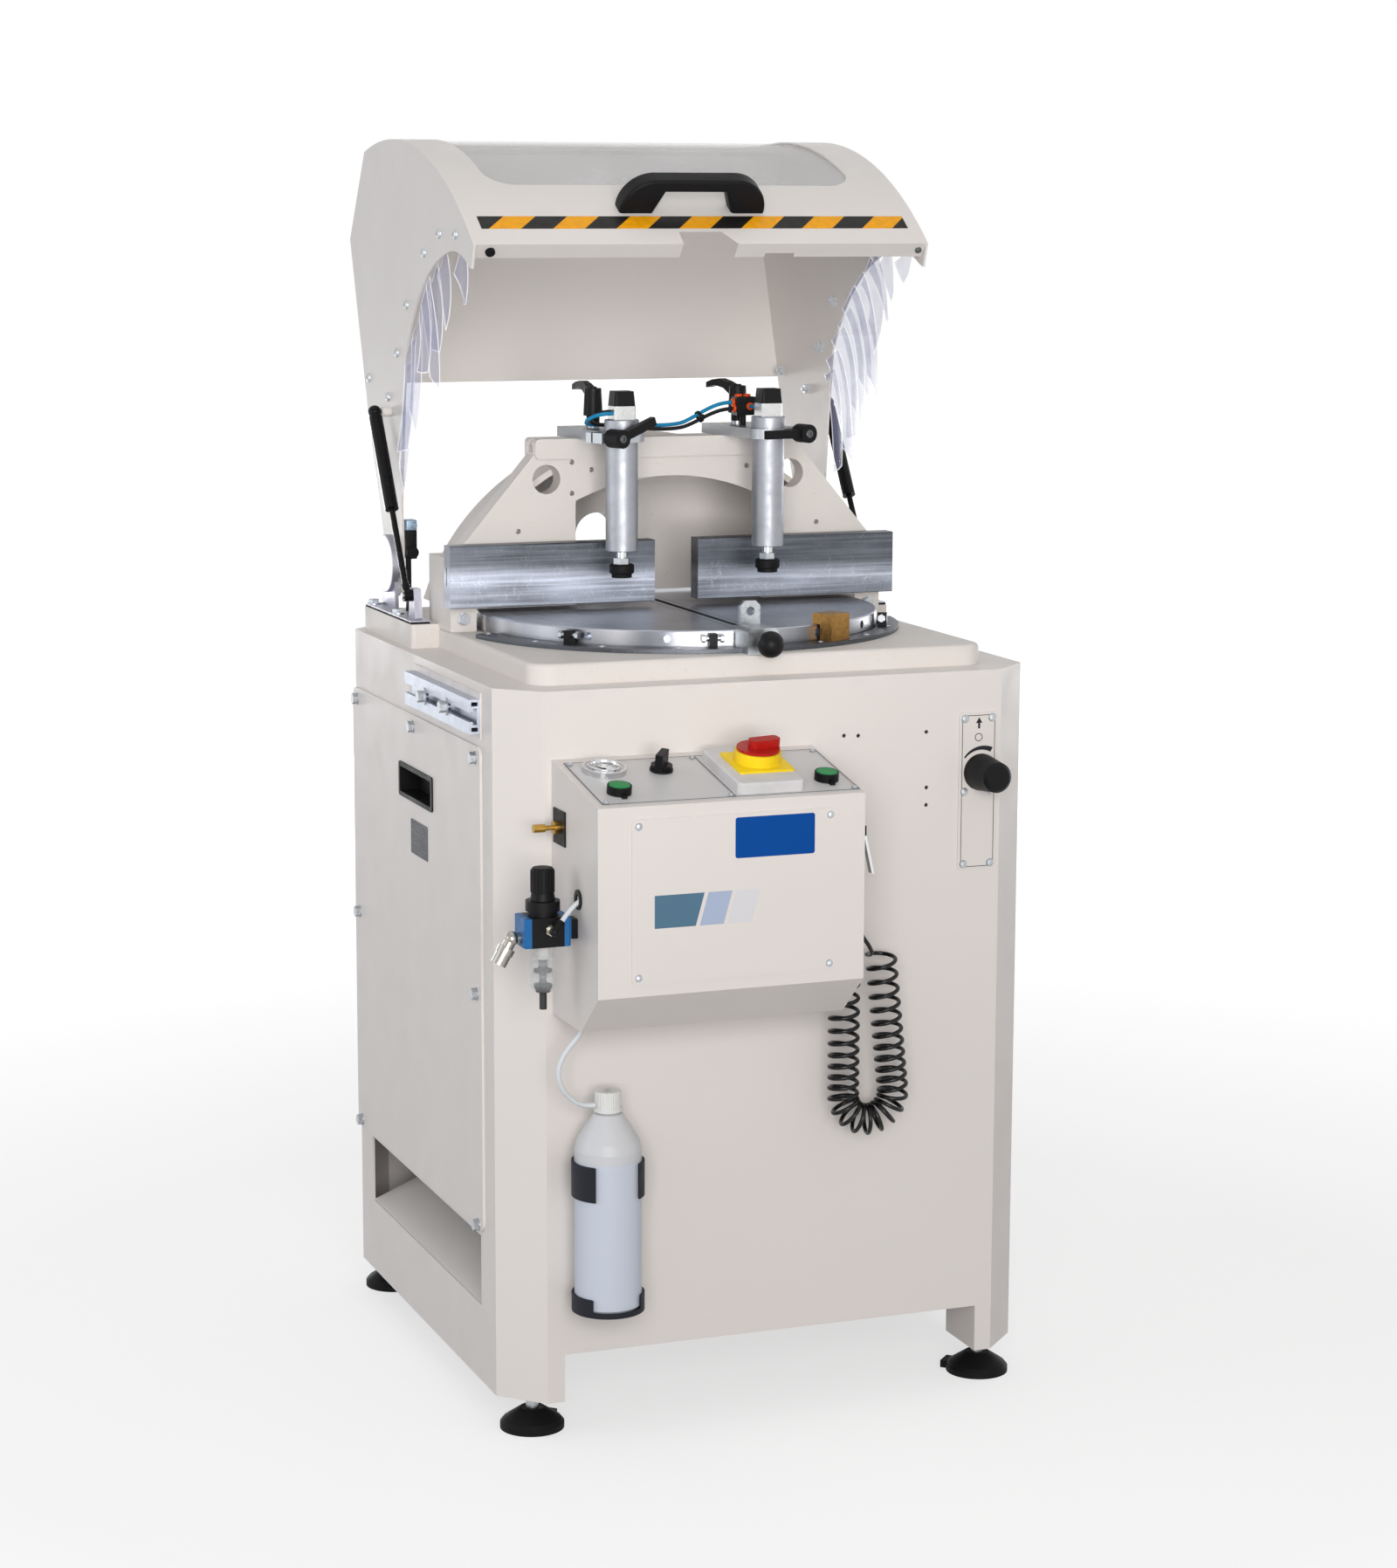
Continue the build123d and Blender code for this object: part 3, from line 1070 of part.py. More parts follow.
def spindle():
    half = BLADE_THICK / 2
    outside = half + FLANGE_THICK
    shaft = bar_x(PULLEY_X0 - SPINDLE_END, outside + SPINDLE_RADIUS + 3, SPINDLE_Y, SPINDLE_Z, SPINDLE_RADIUS)
    shaft += bar_x(-outside, -half, SPINDLE_Y, SPINDLE_Z, FLANGE_RADIUS)
    shaft += bar_x(half, outside, SPINDLE_Y, SPINDLE_Z, FLANGE_RADIUS)
    nut = hexagon(3 * SPINDLE_RADIUS, SPINDLE_RADIUS)
    shaft += facing((outside, SPINDLE_Y, SPINDLE_Z), (1, 0, 0)) * nut
    return shaft + bar_x(PULLEY_X0, PULLEY_X1, SPINDLE_Y, SPINDLE_Z, SPINDLE_PULLEY_RADIUS)


def saw_blade():
    """Disc with saw teeth: each tooth rises from its root to its tip and drops steeply."""
    root = BLADE_RADIUS - TOOTH_DEPTH
    outline = []
    for i in range(BLADE_TEETH):
        start = 2 * math.pi * i / BLADE_TEETH
        tip = start + 2 * math.pi / BLADE_TEETH * 0.75
        outline.append((root * math.cos(start), root * math.sin(start)))
        outline.append((BLADE_RADIUS * math.cos(tip), BLADE_RADIUS * math.sin(tip)))
    blade = prism_x([(SPINDLE_Y + y, SPINDLE_Z + z) for y, z in outline], -BLADE_THICK / 2, BLADE_THICK / 2)
    return blade - bar_x(-BLADE_THICK, BLADE_THICK, SPINDLE_Y, SPINDLE_Z, SPINDLE_RADIUS + RUN)


def lift_axis():
    """Length and unit direction (y, z) from the lift's lower pivot to the arm's lug."""
    dy, dz = LUG_Y - LIFT_PIVOT_Y, LUG_Z - LIFT_PIVOT_Z
    length = math.hypot(dy, dz)
    return length, dy / length, dz / length


def on_lift_axis(solid):
    """Moves a solid made along +Z from the lower pivot onto the lift's axis."""
    _, uy, uz = lift_axis()
    return Plane(origin=(LIFT_X, LIFT_PIVOT_Y, LIFT_PIVOT_Z), x_dir=(1, 0, 0), z_dir=(0, uy, uz)) * solid


def lift_cylinder():
    bore = LIFT_TUBE_RADIUS - LIFT_TUBE_WALL
    tube = bar_z(0, 0, LIFT_TUBE_START, LIFT_TUBE_END, LIFT_TUBE_RADIUS)
    tube += bar_x(-LIFT_EYE, LIFT_EYE, 0, 0, LIFT_EYE_RADIUS)
    tube += block(-LIFT_EYE, LIFT_EYE, -LIFT_EYE_RADIUS, LIFT_EYE_RADIUS, 0, LIFT_TUBE_START + 1)
    tube -= bar_z(0, 0, LIFT_TUBE_START + 2 * LIFT_TUBE_WALL, LIFT_TUBE_END - LIFT_EYE, bore)
    tube -= bar_z(0, 0, LIFT_TUBE_END - 2 * LIFT_EYE, LIFT_TUBE_END + 1, LIFT_ROD_RADIUS + RUN)
    return on_lift_axis(tube - bar_x(-LIFT_EYE - 1, LIFT_EYE + 1, 0, 0, LIFT_ROD_RADIUS + RUN))


def lift_rod():
    length, _, _ = lift_axis()
    piston_z = LIFT_TUBE_START + 3 * LIFT_TUBE_WALL
    neck_z = length - LIFT_EYE_RADIUS - LIFT_PIN_PLAY
    rod = bar_z(0, 0, piston_z, neck_z, LIFT_ROD_RADIUS)
    rod += bar_z(0, 0, neck_z - 2, length - LIFT_EYE_RADIUS + 4, LIFT_EYE / 2 - FIT)
    rod += bar_z(0, 0, piston_z, piston_z + LIFT_PISTON, LIFT_TUBE_RADIUS - LIFT_TUBE_WALL - RUN)
    half = LIFT_EYE / 2
    rod += bar_x(-half, half, 0, length, LIFT_EYE_RADIUS)
    return on_lift_axis(rod - bar_x(-half - 1, half + 1, 0, length, LIFT_PIN_RADIUS + LIFT_PIN_PLAY))


# Clamps

def at_clamp(side):
    return Pos(CLAMP_X[side], CLAMP_Y, 0)


def lug_frame(side):
    """Turns local +X to the collar lug's direction and local -Y to its clamp screw."""
    return at_clamp(side) * Rot(0, 0, LUG_ANGLE[side] if side == "right" else LUG_ANGLE[side] + 180)


def lug_sign(side):
    """The lug lies along local +X on the right clamp and local -X on the left one."""
    return 1 if side == "right" else -1


def clamp_arm(side):
    z0, z1 = BAR_TOP, ARM_TOP
    plate = prism_z([(ARM_PLATE_LEFT, ARM_PLATE_BACK), (ARM_PLATE_RIGHT, ARM_PLATE_BACK), (COLLAR_RADIUS, 0),
                     (-COLLAR_RADIUS, 0)], z0, z1)
    plate += bar_z(0, 0, z0, z1, COLLAR_RADIUS)
    arm = at_clamp(side) * plate
    sign = lug_sign(side)
    end = sign * (LUG_REACH + LUG_LENGTH / 2)
    lug = block(sign * COLLAR_RADIUS / 2, end, -LUG_SCREW_SIDE, LUG_HALF_WIDTH, z0, z1)
    arm += lug_frame(side) * lug
    arm -= lug_frame(side) * block(0, end + sign, -SPLIT / 2, SPLIT / 2, z0 - 1, z1 + 1)
    middle = (z0 + z1) / 2
    bore = LEVER_STUD_RADIUS + RUN
    arm -= lug_frame(side) * bar_y(sign * LUG_REACH, -COLLAR_RADIUS, COLLAR_RADIUS, middle, bore)
    arm -= at_clamp(side) * bar_z(LEVER_BOLT_X, LEVER_BOLT_Y, z0 - 1, z1 + 1, bore)
    return arm - at_clamp(side) * bar_z(0, 0, z0 - 1, z1 + 1, CLAMP_TUBE_RADIUS + RUN)


def clamp_cylinder(side):
    """Air cylinder, hollow for its piston, with a square valve head and its cap."""
    tube = bar_z(0, 0, CLAMP_TUBE_BOTTOM, CLAMP_TUBE_TOP, CLAMP_TUBE_RADIUS)
    tube = chamfer(tube.edges().sort_by(Axis.Z)[0], 1)
    head = bar_z(0, 0, ARM_TOP + GAP, CLAMP_TUBE_TOP, CLAMP_HEAD_RADIUS)
    head = chamfer(head.edges().sort_by(Axis.Z)[-1], 1)
    half = VALVE_WIDTH / 2
    valve = block(-half, half, -half, half, CLAMP_TUBE_TOP - 1, VALVE_TOP)
    valve = chamfer(valve.edges().filter_by(Axis.Z), 2)
    cap = extrude(Plane.XY.offset(VALVE_TOP) * RectangleRounded(VALVE_WIDTH, VALVE_WIDTH, 4),
                  amount=VALVE_CAP_TOP - VALVE_TOP, taper=6)
    solid = tube + head + valve + cap
    bore = CLAMP_TUBE_RADIUS - CLAMP_TUBE_WALL
    solid -= bar_z(0, 0, CLAMP_TUBE_BOTTOM + CLAMP_END_WALL, CLAMP_TUBE_TOP - CLAMP_END_WALL, bore)
    solid -= bar_z(0, 0, CLAMP_TUBE_BOTTOM - 1, CLAMP_TUBE_BOTTOM + 2 * CLAMP_END_WALL,
                   CLAMP_ROD_RADIUS + RUN)
    return at_clamp(side) * solid


def clamp_rod(side):
    """Rod with its piston inside the cylinder, a nut and the pad; it moves down to clamp."""
    piston_top = CLAMP_TUBE_TOP - CLAMP_END_WALL - 2
    rod = bar_z(0, 0, PAD_TOP - 4, piston_top, CLAMP_ROD_RADIUS)
    rod += bar_z(0, 0, piston_top - CLAMP_PISTON, piston_top, CLAMP_TUBE_RADIUS - CLAMP_TUBE_WALL - RUN)
    rod += Pos(0, 0, PAD_TOP) * hexagon(ROD_NUT, ROD_NUT_HEIGHT)
    pad = bar_z(0, 0, PAD_BOTTOM + PAD_STEP, PAD_TOP, PAD_RADIUS)
    pad = chamfer(pad.edges(), PAD_STEP * 0.3)
    pad += bar_z(0, 0, PAD_BOTTOM, PAD_TOP - PAD_STEP, PAD_RADIUS * 0.82)
    return at_clamp(side) * (rod + pad)


def lever_arm(outline):
    """Lever out along +X from a hub on the Z axis; the outline is (share of the length, height) points."""
    half = LEVER_WIDTH / 2
    return prism_y([(share * LEVER_LENGTH, height) for share, height in outline], -half, half)


def arm_lever(side):
    """Lever on a stud that clamps the arm to the bridge: a tall hub with an arched handle at its top."""
    neck, foot, top = LEVER_HUB_RADIUS * 0.8, LEVER_HUB_RADIUS * 1.17, LEVER_HUB_HEIGHT
    hub = turned([(0, 0), (neck, 0), (neck, LEVER_NECK), (foot, LEVER_NECK + 1), (LEVER_HUB_RADIUS, top),
                  (LEVER_STUD_RADIUS, top), (LEVER_STUD_RADIUS, top + 2), (0, top + 2)])
    stud = bar_z(0, 0, -ARM_PLATE - BAR_SLOT_DEPTH, 1, LEVER_STUD_RADIUS)
    arm = lever_arm([(0, top - 16), (0.2, top - 11), (0.4, top - 4), (0.7, top - 1), (1, top - 5), (1, top + 2),
                     (0.8, top + 6), (0.55, top + 8), (0.3, top + 5), (0, top - 1)])
    place = at_clamp(side) * Pos(LEVER_BOLT_X, LEVER_BOLT_Y, ARM_TOP)
    return place * (Rot(0, 0, LEVER_ANGLE[side]) * (hub + arm + stud))


def collar_lever(side):
    """Lever on the screw that closes the split collar."""
    sign = lug_sign(side)
    hub = bar_z(0, 0, GAP, 2.2 * LEVER_WIDTH, LEVER_HUB_RADIUS * 1.1)
    stud = bar_z(0, 0, -LUG_SCREW_SIDE - LUG_HALF_WIDTH, 1, LEVER_STUD_RADIUS)
    low, wide = LEVER_WIDTH * 0.9, LEVER_WIDTH
    outline = [(0, low), (1, low), (1, low + wide * 0.8), (0.45, low + wide), (0, low + wide)]
    lever = hub + stud + lever_arm(outline)
    screw_z = BAR_TOP + ARM_PLATE / 2
    seat = Plane(origin=(sign * LUG_REACH, -LUG_SCREW_SIDE, screw_z), x_dir=(-sign, 0, 0), z_dir=(0, -1, 0))
    tilt = COLLAR_LEVER_TILT[side] * (1 if sign < 0 else -1)
    return lug_frame(side) * (seat * (Rot(0, 0, tilt) * lever))


# Hood

def on_arc(angle, radius=HOOD_RADIUS):
    """(y, z) on the hood's arc at rest."""
    a = math.radians(angle)
    return HOOD_Y + radius * math.cos(a), HOOD_Z + radius * math.sin(a)


def hood_point(share):
    """(y, z) of a point given as (back, up) shares of the hood's radius from its hinge."""
    back, up = share
    return HOOD_Y + back * HOOD_RADIUS, HOOD_Z + up * HOOD_RADIUS


def bay_edge():
    """Curved edge of the work opening, from the post to the lip."""
    bay, brow, lip = hood_point(BAY), hood_point(BROW), hood_point(LIP_IN)
    return [ThreePointArc(bay, hood_point(BAY_ARC), brow), ThreePointArc(brow, hood_point(BROW_ARC), lip)]


def hood_side_face():
    """Side plate in (y, z): outer arc, back, post round the hinge, then the work opening."""
    tip, top, back = on_arc(LIP_ANGLE), on_arc((LIP_ANGLE + BACK_ANGLE) / 2), on_arc(BACK_ANGLE)
    back_edge = [back] + [hood_point(share) for share in (BACK_MID, BACK_LOW, POST_BACK)]
    post = [hood_point(share) for share in (POST_FRONT, POST_MID, POST_TOP, BAY)]
    edges = [ThreePointArc(tip, top, back), Polyline(*back_edge),
             ThreePointArc(back_edge[-1], hood_point(POST_LOW), post[0]), Polyline(*post)]
    edges += bay_edge() + [Polyline(hood_point(LIP_IN), hood_point(LIP_TAB), tip)]
    return make_face([edge for part in edges for edge in part.edges()])


def arc_sheet(angle_low, angle_high, outer, thick, half):
    """Curved sheet about the hinge line, between two angles and two sides."""
    def strip(radius):
        middle = (angle_low + angle_high) / 2
        return on_arc(angle_low, radius), on_arc(middle, radius), on_arc(angle_high, radius)
    o0, o1, o2 = strip(outer)
    i0, i1, i2 = strip(outer - thick)
    edges = [ThreePointArc(o0, o1, o2), Line(o2, i2), ThreePointArc(i2, i1, i0), Line(i0, o0)]
    face = make_face([edge for part in edges for edge in part.edges()])
    plane = Plane(origin=(-half, 0, 0), x_dir=(0, 1, 0), z_dir=(1, 0, 0))
    return extrude(plane * face, amount=2 * half, dir=(1, 0, 0))


def sheet_between(p, q, thick, half):
    """Flat sheet along the line from p to q in (y, z), with its thickness to the left of the line."""
    length = math.hypot(q[0] - p[0], q[1] - p[1])
    ny, nz = -(q[1] - p[1]) / length * thick, (q[0] - p[0]) / length * thick
    return prism_x([p, q, (q[0] + ny, q[1] + nz), (p[0] + ny, p[1] + nz)], -half, half)


def window_cutter(margin):
    """Upright prism with rounded corners through the top of the hood, grown all round by a margin."""
    y0, y1 = on_arc(WINDOW_LOW_ANGLE)[0] - margin, on_arc(WINDOW_HIGH_ANGLE)[0] + margin
    outline = RectangleRounded(2 * (WINDOW_HALF + margin), y1 - y0, WINDOW_CORNER + margin)
    return extrude(Plane(origin=(0, (y0 + y1) / 2, HOOD_Z + HOOD_RADIUS / 2)) * outline, amount=HOOD_RADIUS)


def lip_cuts():
    """The notch and the shallow dip in the hood's front edge, cut from below."""
    low_y, low_z = hood_point(LIP_LOW)
    under, notch_z = low_z - LIP_DIP_DEPTH, on_arc(LIP_NOTCH_ANGLE)[1]
    slant_x, slant_z = LIP_NOTCH_SLANT
    notch = [(LIP_NOTCH_LEFT, under), (LIP_NOTCH_RIGHT, under), (LIP_NOTCH_RIGHT, notch_z - slant_z),
             (LIP_NOTCH_RIGHT - slant_x, notch_z), (LIP_NOTCH_LEFT, notch_z)]
    front, back = low_y - HANDLE_RISE, low_y + HANDLE_THICK
    dip = block(*LIP_DIP, front, back, under, low_z + LIP_DIP_DEPTH)
    return [prism_y(notch, front, back), dip]


def hood_shell():
    plane = Plane(origin=(HOOD_HALF - HOOD_SHEET, 0, 0), x_dir=(0, 1, 0), z_dir=(1, 0, 0))
    side = extrude(plane * hood_side_face(), amount=HOOD_SHEET, dir=(1, 0, 0))
    side += bar_x(HOOD_HALF - 1, BRACKET_X - GAP, HOOD_Y, HOOD_Z, HINGE_WASHER_RADIUS)
    stud_end = STRUT_X - STRUT_TUBE_RADIUS - GAP
    side += bar_x(HOOD_HALF - 1, stud_end, *STRUT_HIGH, STRUT_PIN_RADIUS + 2)
    side -= bar_x(HOOD_HALF - 10, BRACKET_X + 10, HOOD_Y, HOOD_Z, HINGE_PIN_RADIUS + RUN)
    inside = HOOD_HALF - HOOD_SHEET / 2
    skin = arc_sheet(LIP_ANGLE, BACK_ANGLE, HOOD_RADIUS, HOOD_SKIN, inside) - window_cutter(0)
    skin += sheet_between(on_arc(LIP_ANGLE), hood_point(LIP_LOW), HOOD_SKIN, inside)
    skin -= lip_cuts()
    middle, low = hood_point(BACK_MID), hood_point(BACK_LOW)
    panel_z = HOOD_Z + BACK_PANEL_LOW * HOOD_RADIUS
    share = (panel_z - low[1]) / (middle[1] - low[1])
    panel_low = (low[0] + share * (middle[0] - low[0]), panel_z)
    panel = sheet_between(middle, on_arc(BACK_ANGLE), HOOD_SKIN, inside)
    panel += sheet_between(panel_low, middle, HOOD_SKIN, inside)
    return side + mirror(side, about=Plane.YZ) + skin + panel


def hood_window():
    """Clear sheet under the skin, lapping the window's edge all round."""
    sheet = arc_sheet(LIP_ANGLE, BACK_ANGLE, HOOD_RADIUS - HOOD_SKIN, WINDOW_THICK, HOOD_HALF)
    return sheet & window_cutter(WINDOW_LAP)


def hood_handle():
    """Bow handle standing on the curved sheet: two feet, rounded shoulders and a straight grip."""
    rise, grip = HANDLE_RISE, HANDLE_RISE - HANDLE_DEPTH
    foot, top, inner = HANDLE_HALF, HANDLE_GRIP_HALF, HANDLE_HALF - HANDLE_FOOT
    under = inner - HANDLE_DEPTH * 0.7
    shoulder_x, shoulder_z = foot * 0.86, rise * 0.74
    edges = [Polyline((-foot, 0), (-inner, 0), (-under, grip), (under, grip), (inner, 0), (foot, 0)),
             ThreePointArc((foot, 0), (shoulder_x, shoulder_z), (top, rise)), Line((top, rise), (-top, rise)),
             ThreePointArc((-top, rise), (-shoulder_x, shoulder_z), (-foot, 0))]
    face = make_face([edge for part in edges for edge in part.edges()])
    middle = Plane(origin=(0, HANDLE_THICK / 2, 0), x_dir=(1, 0, 0), z_dir=(0, -1, 0))
    handle = extrude(middle * face, amount=HANDLE_THICK, dir=(0, -1, 0))
    rims = [edge for side in handle.faces().filter_by(Axis.Y) for edge in side.edges() if edge.center().Z > 1]
    handle = fillet(rims, HANDLE_EDGE)
    y, z = on_arc(HANDLE_ANGLE)
    a = math.radians(HANDLE_ANGLE)
    place = Plane(origin=(0, y, z), x_dir=(1, 0, 0), z_dir=(0, math.cos(a), math.sin(a)))
    return place * handle - bar_x(-2 * HANDLE_HALF, 2 * HANDLE_HALF, HOOD_Y, HOOD_Z, HOOD_RADIUS)


def strip_roots():
    """Points (y, z) along the post's upper part and the work opening's edge, short of the lip's fold."""
    edges = Polyline(hood_point(POST_TOP), hood_point(BAY)).edges()
    for part in bay_edge():
        edges += part.edges()
    path = Wire(edges)
    return [path.position_at((i + 0.5) / (STRIP_COUNT + 0.5)) for i in range(STRIP_COUNT)]


def strip_curtains():
    """Overlapping pointed strips in two layers inside each side plate; each hangs from the edge."""
    layer = HOOD_HALF - HOOD_SHEET - GAP
    pieces = []
    for i, root in enumerate(strip_roots()):
        half = STRIP_WIDTH / 2
        length = STRIP_LENGTH * (1 + 0.25 * math.sin(2.4 * i))
        x1 = layer - (i % 2) * (STRIP_THICK + GAP)
        outline = [(-half, STRIP_ROOT), (half, STRIP_ROOT), (half, -length * 0.45), (half * 0.1, -length),
                   (-half, -length * 0.55)]
        lean = math.radians(-24 + 30 * i / STRIP_COUNT)
        c, s = math.cos(lean), math.sin(lean)
        points = [(root.X + u * c - v * s, root.Y + u * s + v * c) for u, v in outline]
        pieces.append(prism_x(points, x1 - STRIP_THICK, x1))
    left = [mirror(piece, about=Plane.YZ) for piece in pieces]
    return Part() + separate_layers(pieces) + separate_layers(left)


def separate_layers(pieces):
    """Fuses the strips of each layer, because neighbours in one layer share their edges."""
    return [fused(pieces[0::2]), fused(pieces[1::2])]


def hinge_brackets():
    """Plate with a disc and a hinge pin on each side, and the strut's foot, on one base plate."""
    x1 = BRACKET_X + HINGE_DISC_THICK
    base_top = BOSS_TOP + BRACKET_BASE
    base = block(BRACKET_X - 2, BOSS_X - 1, BOSS_Y0 + 6, BOSS_Y1 - 6, BOSS_TOP, base_top)
    wide, narrow = HINGE_DISC_RADIUS * 0.88, HINGE_DISC_RADIUS * 0.78
    outline = [(HOOD_Y - wide, BOSS_TOP), (HOOD_Y + wide, BOSS_TOP), (HOOD_Y + narrow, HOOD_Z),
               (HOOD_Y - narrow, HOOD_Z)]
    upright = prism_x(outline, BRACKET_X, BRACKET_X + HINGE_DISC_THICK / 2)
    disc = bar_x(BRACKET_X, x1, HOOD_Y, HOOD_Z, HINGE_DISC_RADIUS)
    disc = chamfer(disc.edges().sort_by(Axis.X)[-1], 1)
    pin = bar_x(HOOD_HALF - HOOD_SHEET - 4, BRACKET_X + 1, HOOD_Y, HOOD_Z, HINGE_PIN_RADIUS)
    y, z = STRUT_LOW
    lug_x1 = STRUT_X - STRUT_EYE_WIDTH / 2 - GAP
    lug = prism_x([(y - 16, BOSS_TOP), (y + 16, BOSS_TOP), (y + 9, z + 9), (y - 9, z + 9)], BRACKET_X, lug_x1)
    strut_pin = bar_x(lug_x1 - 1, STRUT_X + STRUT_EYE_WIDTH / 2 + 2, y, z, STRUT_PIN_RADIUS)
    return mirrored(base + upright + disc + pin + lug + strut_pin)


def strut_line():
    dy, dz = STRUT_HIGH[0] - STRUT_LOW[0], STRUT_HIGH[1] - STRUT_LOW[1]
    length = math.hypot(dy, dz)
    return length, dy / length, dz / length


def on_strut(solid):
    """Moves a solid made along +Z from the lower pivot onto the strut's line, on both sides."""
    _, uy, uz = strut_line()
    plane = Plane(origin=(STRUT_X, *STRUT_LOW), x_dir=(1, 0, 0), z_dir=(0, uy, uz))
    return mirrored(plane * solid)


def strut_rods():
    length, _, _ = strut_line()
    half = STRUT_EYE_WIDTH / 2
    eye = bar_x(-half, half, 0, 0, STRUT_EYE_RADIUS) + bar_z(0, 0, 0, 2 * STRUT_EYE_RADIUS, half - FIT)
    rod = bar_z(0, 0, 0, length - STRUT_TUBE_LENGTH + 14, STRUT_ROD_RADIUS)
    return on_strut(eye + rod - bar_x(-half - 1, half + 1, 0, 0, STRUT_PIN_RADIUS + RUN))


def strut_tubes():
    """Gas spring body with its socket beside the hood's stud; hollow for the rod's stroke."""
    length, _, _ = strut_line()
    bottom = length - STRUT_TUBE_LENGTH
    tube = bar_z(0, 0, bottom, length - STRUT_EYE_RADIUS, STRUT_TUBE_RADIUS)
    tube += Pos(0, 0, length) * Sphere(STRUT_TUBE_RADIUS)
    tube += bar_z(0, 0, length - 2 * STRUT_EYE_RADIUS, length, STRUT_EYE_RADIUS)
    tube -= bar_z(0, 0, bottom - 1, length - STRUT_END_WALL, STRUT_ROD_RADIUS + RUN)
    return on_strut(tube)


# Control box

BOX_PITCH = math.atan2(BOX_BACK_Z - BOX_FRONT_Z, BOX_DEPTH)
PANEL = Plane(origin=(0, FRONT, BOX_BACK_Z), x_dir=(1, 0, 0),
              z_dir=(0, -math.sin(BOX_PITCH), math.cos(BOX_PITCH)))


def box_outline():
    front = FRONT - BOX_DEPTH
    return [(FRONT, BOX_BACK_Z), (front, BOX_FRONT_Z), (front, BOX_KNEE_Z), (front + BOX_CHIN, BOX_BOTTOM_Z),
            (FRONT, BOX_BOTTOM_Z)]


def panel_holes():
    """Holes through the sloped top for the buttons, the selector and the gauge."""
    depth = 4 * BUTTON_BEZEL_HEIGHT
    holes = [Pos(x, v, 0) * Cylinder(BUTTON_BARREL_RADIUS, depth) for x, v in BUTTON_PLACES.values()]
    holes.append(Pos(*SELECTOR_PLACE, 0) * Cylinder(BUTTON_BARREL_RADIUS, depth))
    holes.append(Pos(*GAUGE_PLACE, 0) * Cylinder(GAUGE_RADIUS - GAUGE_RIM, depth))
    return [PANEL * hole for hole in holes]


def control_box():
    outline = box_outline()
    box = prism_x(outline, BOX_X0, BOX_X1)
    box -= prism_x(inset(outline, BOX_SHEET), BOX_X0 + BOX_SHEET, BOX_X1 - BOX_SHEET)
    box -= panel_holes()
    box -= bar_x(BOX_X0 - 1, BOX_X0 + 4 * BOX_SHEET, GROMMET_Y, GROMMET_Z, GROMMET_HOLE + FIT)
    return box - bar_z(TANK_ROUTE[0][0], TANK_ROUTE[0][1], BOX_BOTTOM_Z - 1, BOX_BOTTOM_Z + 4 * BOX_SHEET,
                       TUBE_DIAMETER / 2 + GAP)


def cover_plates():
    front = FRONT - BOX_DEPTH
    cover = plate_y(*BOX_COVER, front - PLATE_THICK, front, PLATE_CORNER)
    plate = plate_y(*KNOB_PLATE, FRONT - PLATE_THICK, FRONT, PLATE_CORNER)
    return Part() + [cover, plate]


def panel_glass():
    """Clear sheet on the sloped top, open round the controls and the switch housing."""
    slope = BOX_DEPTH / math.cos(BOX_PITCH)
    x0, x1 = BOX_X0 + GLASS_EDGE, BOX_X1 - GLASS_EDGE / 3
    glass = block(x0, x1, GLASS_EDGE - slope, -2 * GLASS_EDGE, 0, GLASS_THICK)
    through = (-GLASS_THICK, 2 * GLASS_THICK)
    half = BUTTON_TAIL_WIDTH / 2 + GAP
    for x, v in BUTTON_PLACES.values():
        glass -= bar_z(x, v, *through, BUTTON_BEZEL_RADIUS + GAP)
        glass -= block(x - half, x + half, v - BUTTON_BEZEL_RADIUS - BUTTON_TAIL - GAP, v, *through)
    glass -= bar_z(*SELECTOR_PLACE, *through, SELECTOR_RADIUS + GAP)
    glass -= bar_z(*GAUGE_PLACE, *through, GAUGE_RADIUS + GAP)
    glass -= block(SWITCH_X0 - GAP, SWITCH_X1 + GAP, SWITCH_V0 - GAP, SWITCH_V1 + GAP, *through)
    return PANEL * glass


def panel_fittings():
    """Button bezels with their tails, the selector's bezel and the gauge housing."""
    pieces = []
    barrel = bar_z(0, 0, -BUTTON_STEM, 1, BUTTON_BARREL_RADIUS - FIT)
    half = BUTTON_TAIL_WIDTH / 2
    bezel = bar_z(0, 0, 0, BUTTON_BEZEL_HEIGHT, BUTTON_BEZEL_RADIUS)
    bezel = chamfer(bezel.edges().sort_by(Axis.Z)[-1], BUTTON_EDGE)
    bezel += block(-half, half, -BUTTON_BEZEL_RADIUS - BUTTON_TAIL, 0, 0, BUTTON_BEZEL_HEIGHT * 0.4)
    bezel = bezel + barrel - bar_z(0, 0, 1, BUTTON_BEZEL_HEIGHT + 1, BUTTON_RADIUS + FIT)
    bezel -= bar_z(0, 0, -BUTTON_STEM - 1, 2, BUTTON_STEM_RADIUS + RUN)
    for x, v in BUTTON_PLACES.values():
        pieces.append(PANEL * (Pos(x, v, 0) * bezel))
    ring = bar_z(0, 0, 0, SELECTOR_RING, SELECTOR_RADIUS) + barrel
    ring -= bar_z(0, 0, -BUTTON_STEM - 1, SELECTOR_RING + 1, BUTTON_STEM_RADIUS + RUN)
    pieces.append(PANEL * (Pos(*SELECTOR_PLACE, 0) * ring))
    inner = GAUGE_RADIUS - GAUGE_RIM
    gauge = bar_z(0, 0, 0, GAUGE_HEIGHT, GAUGE_RADIUS) - bar_z(0, 0, GAUGE_FACE, GAUGE_HEIGHT + 1, inner)
    gauge += bar_z(0, 0, -BUTTON_STEM, GAUGE_FACE, inner - FIT)
    pieces.append(PANEL * (Pos(*GAUGE_PLACE, 0) * gauge))
    return Part() + pieces


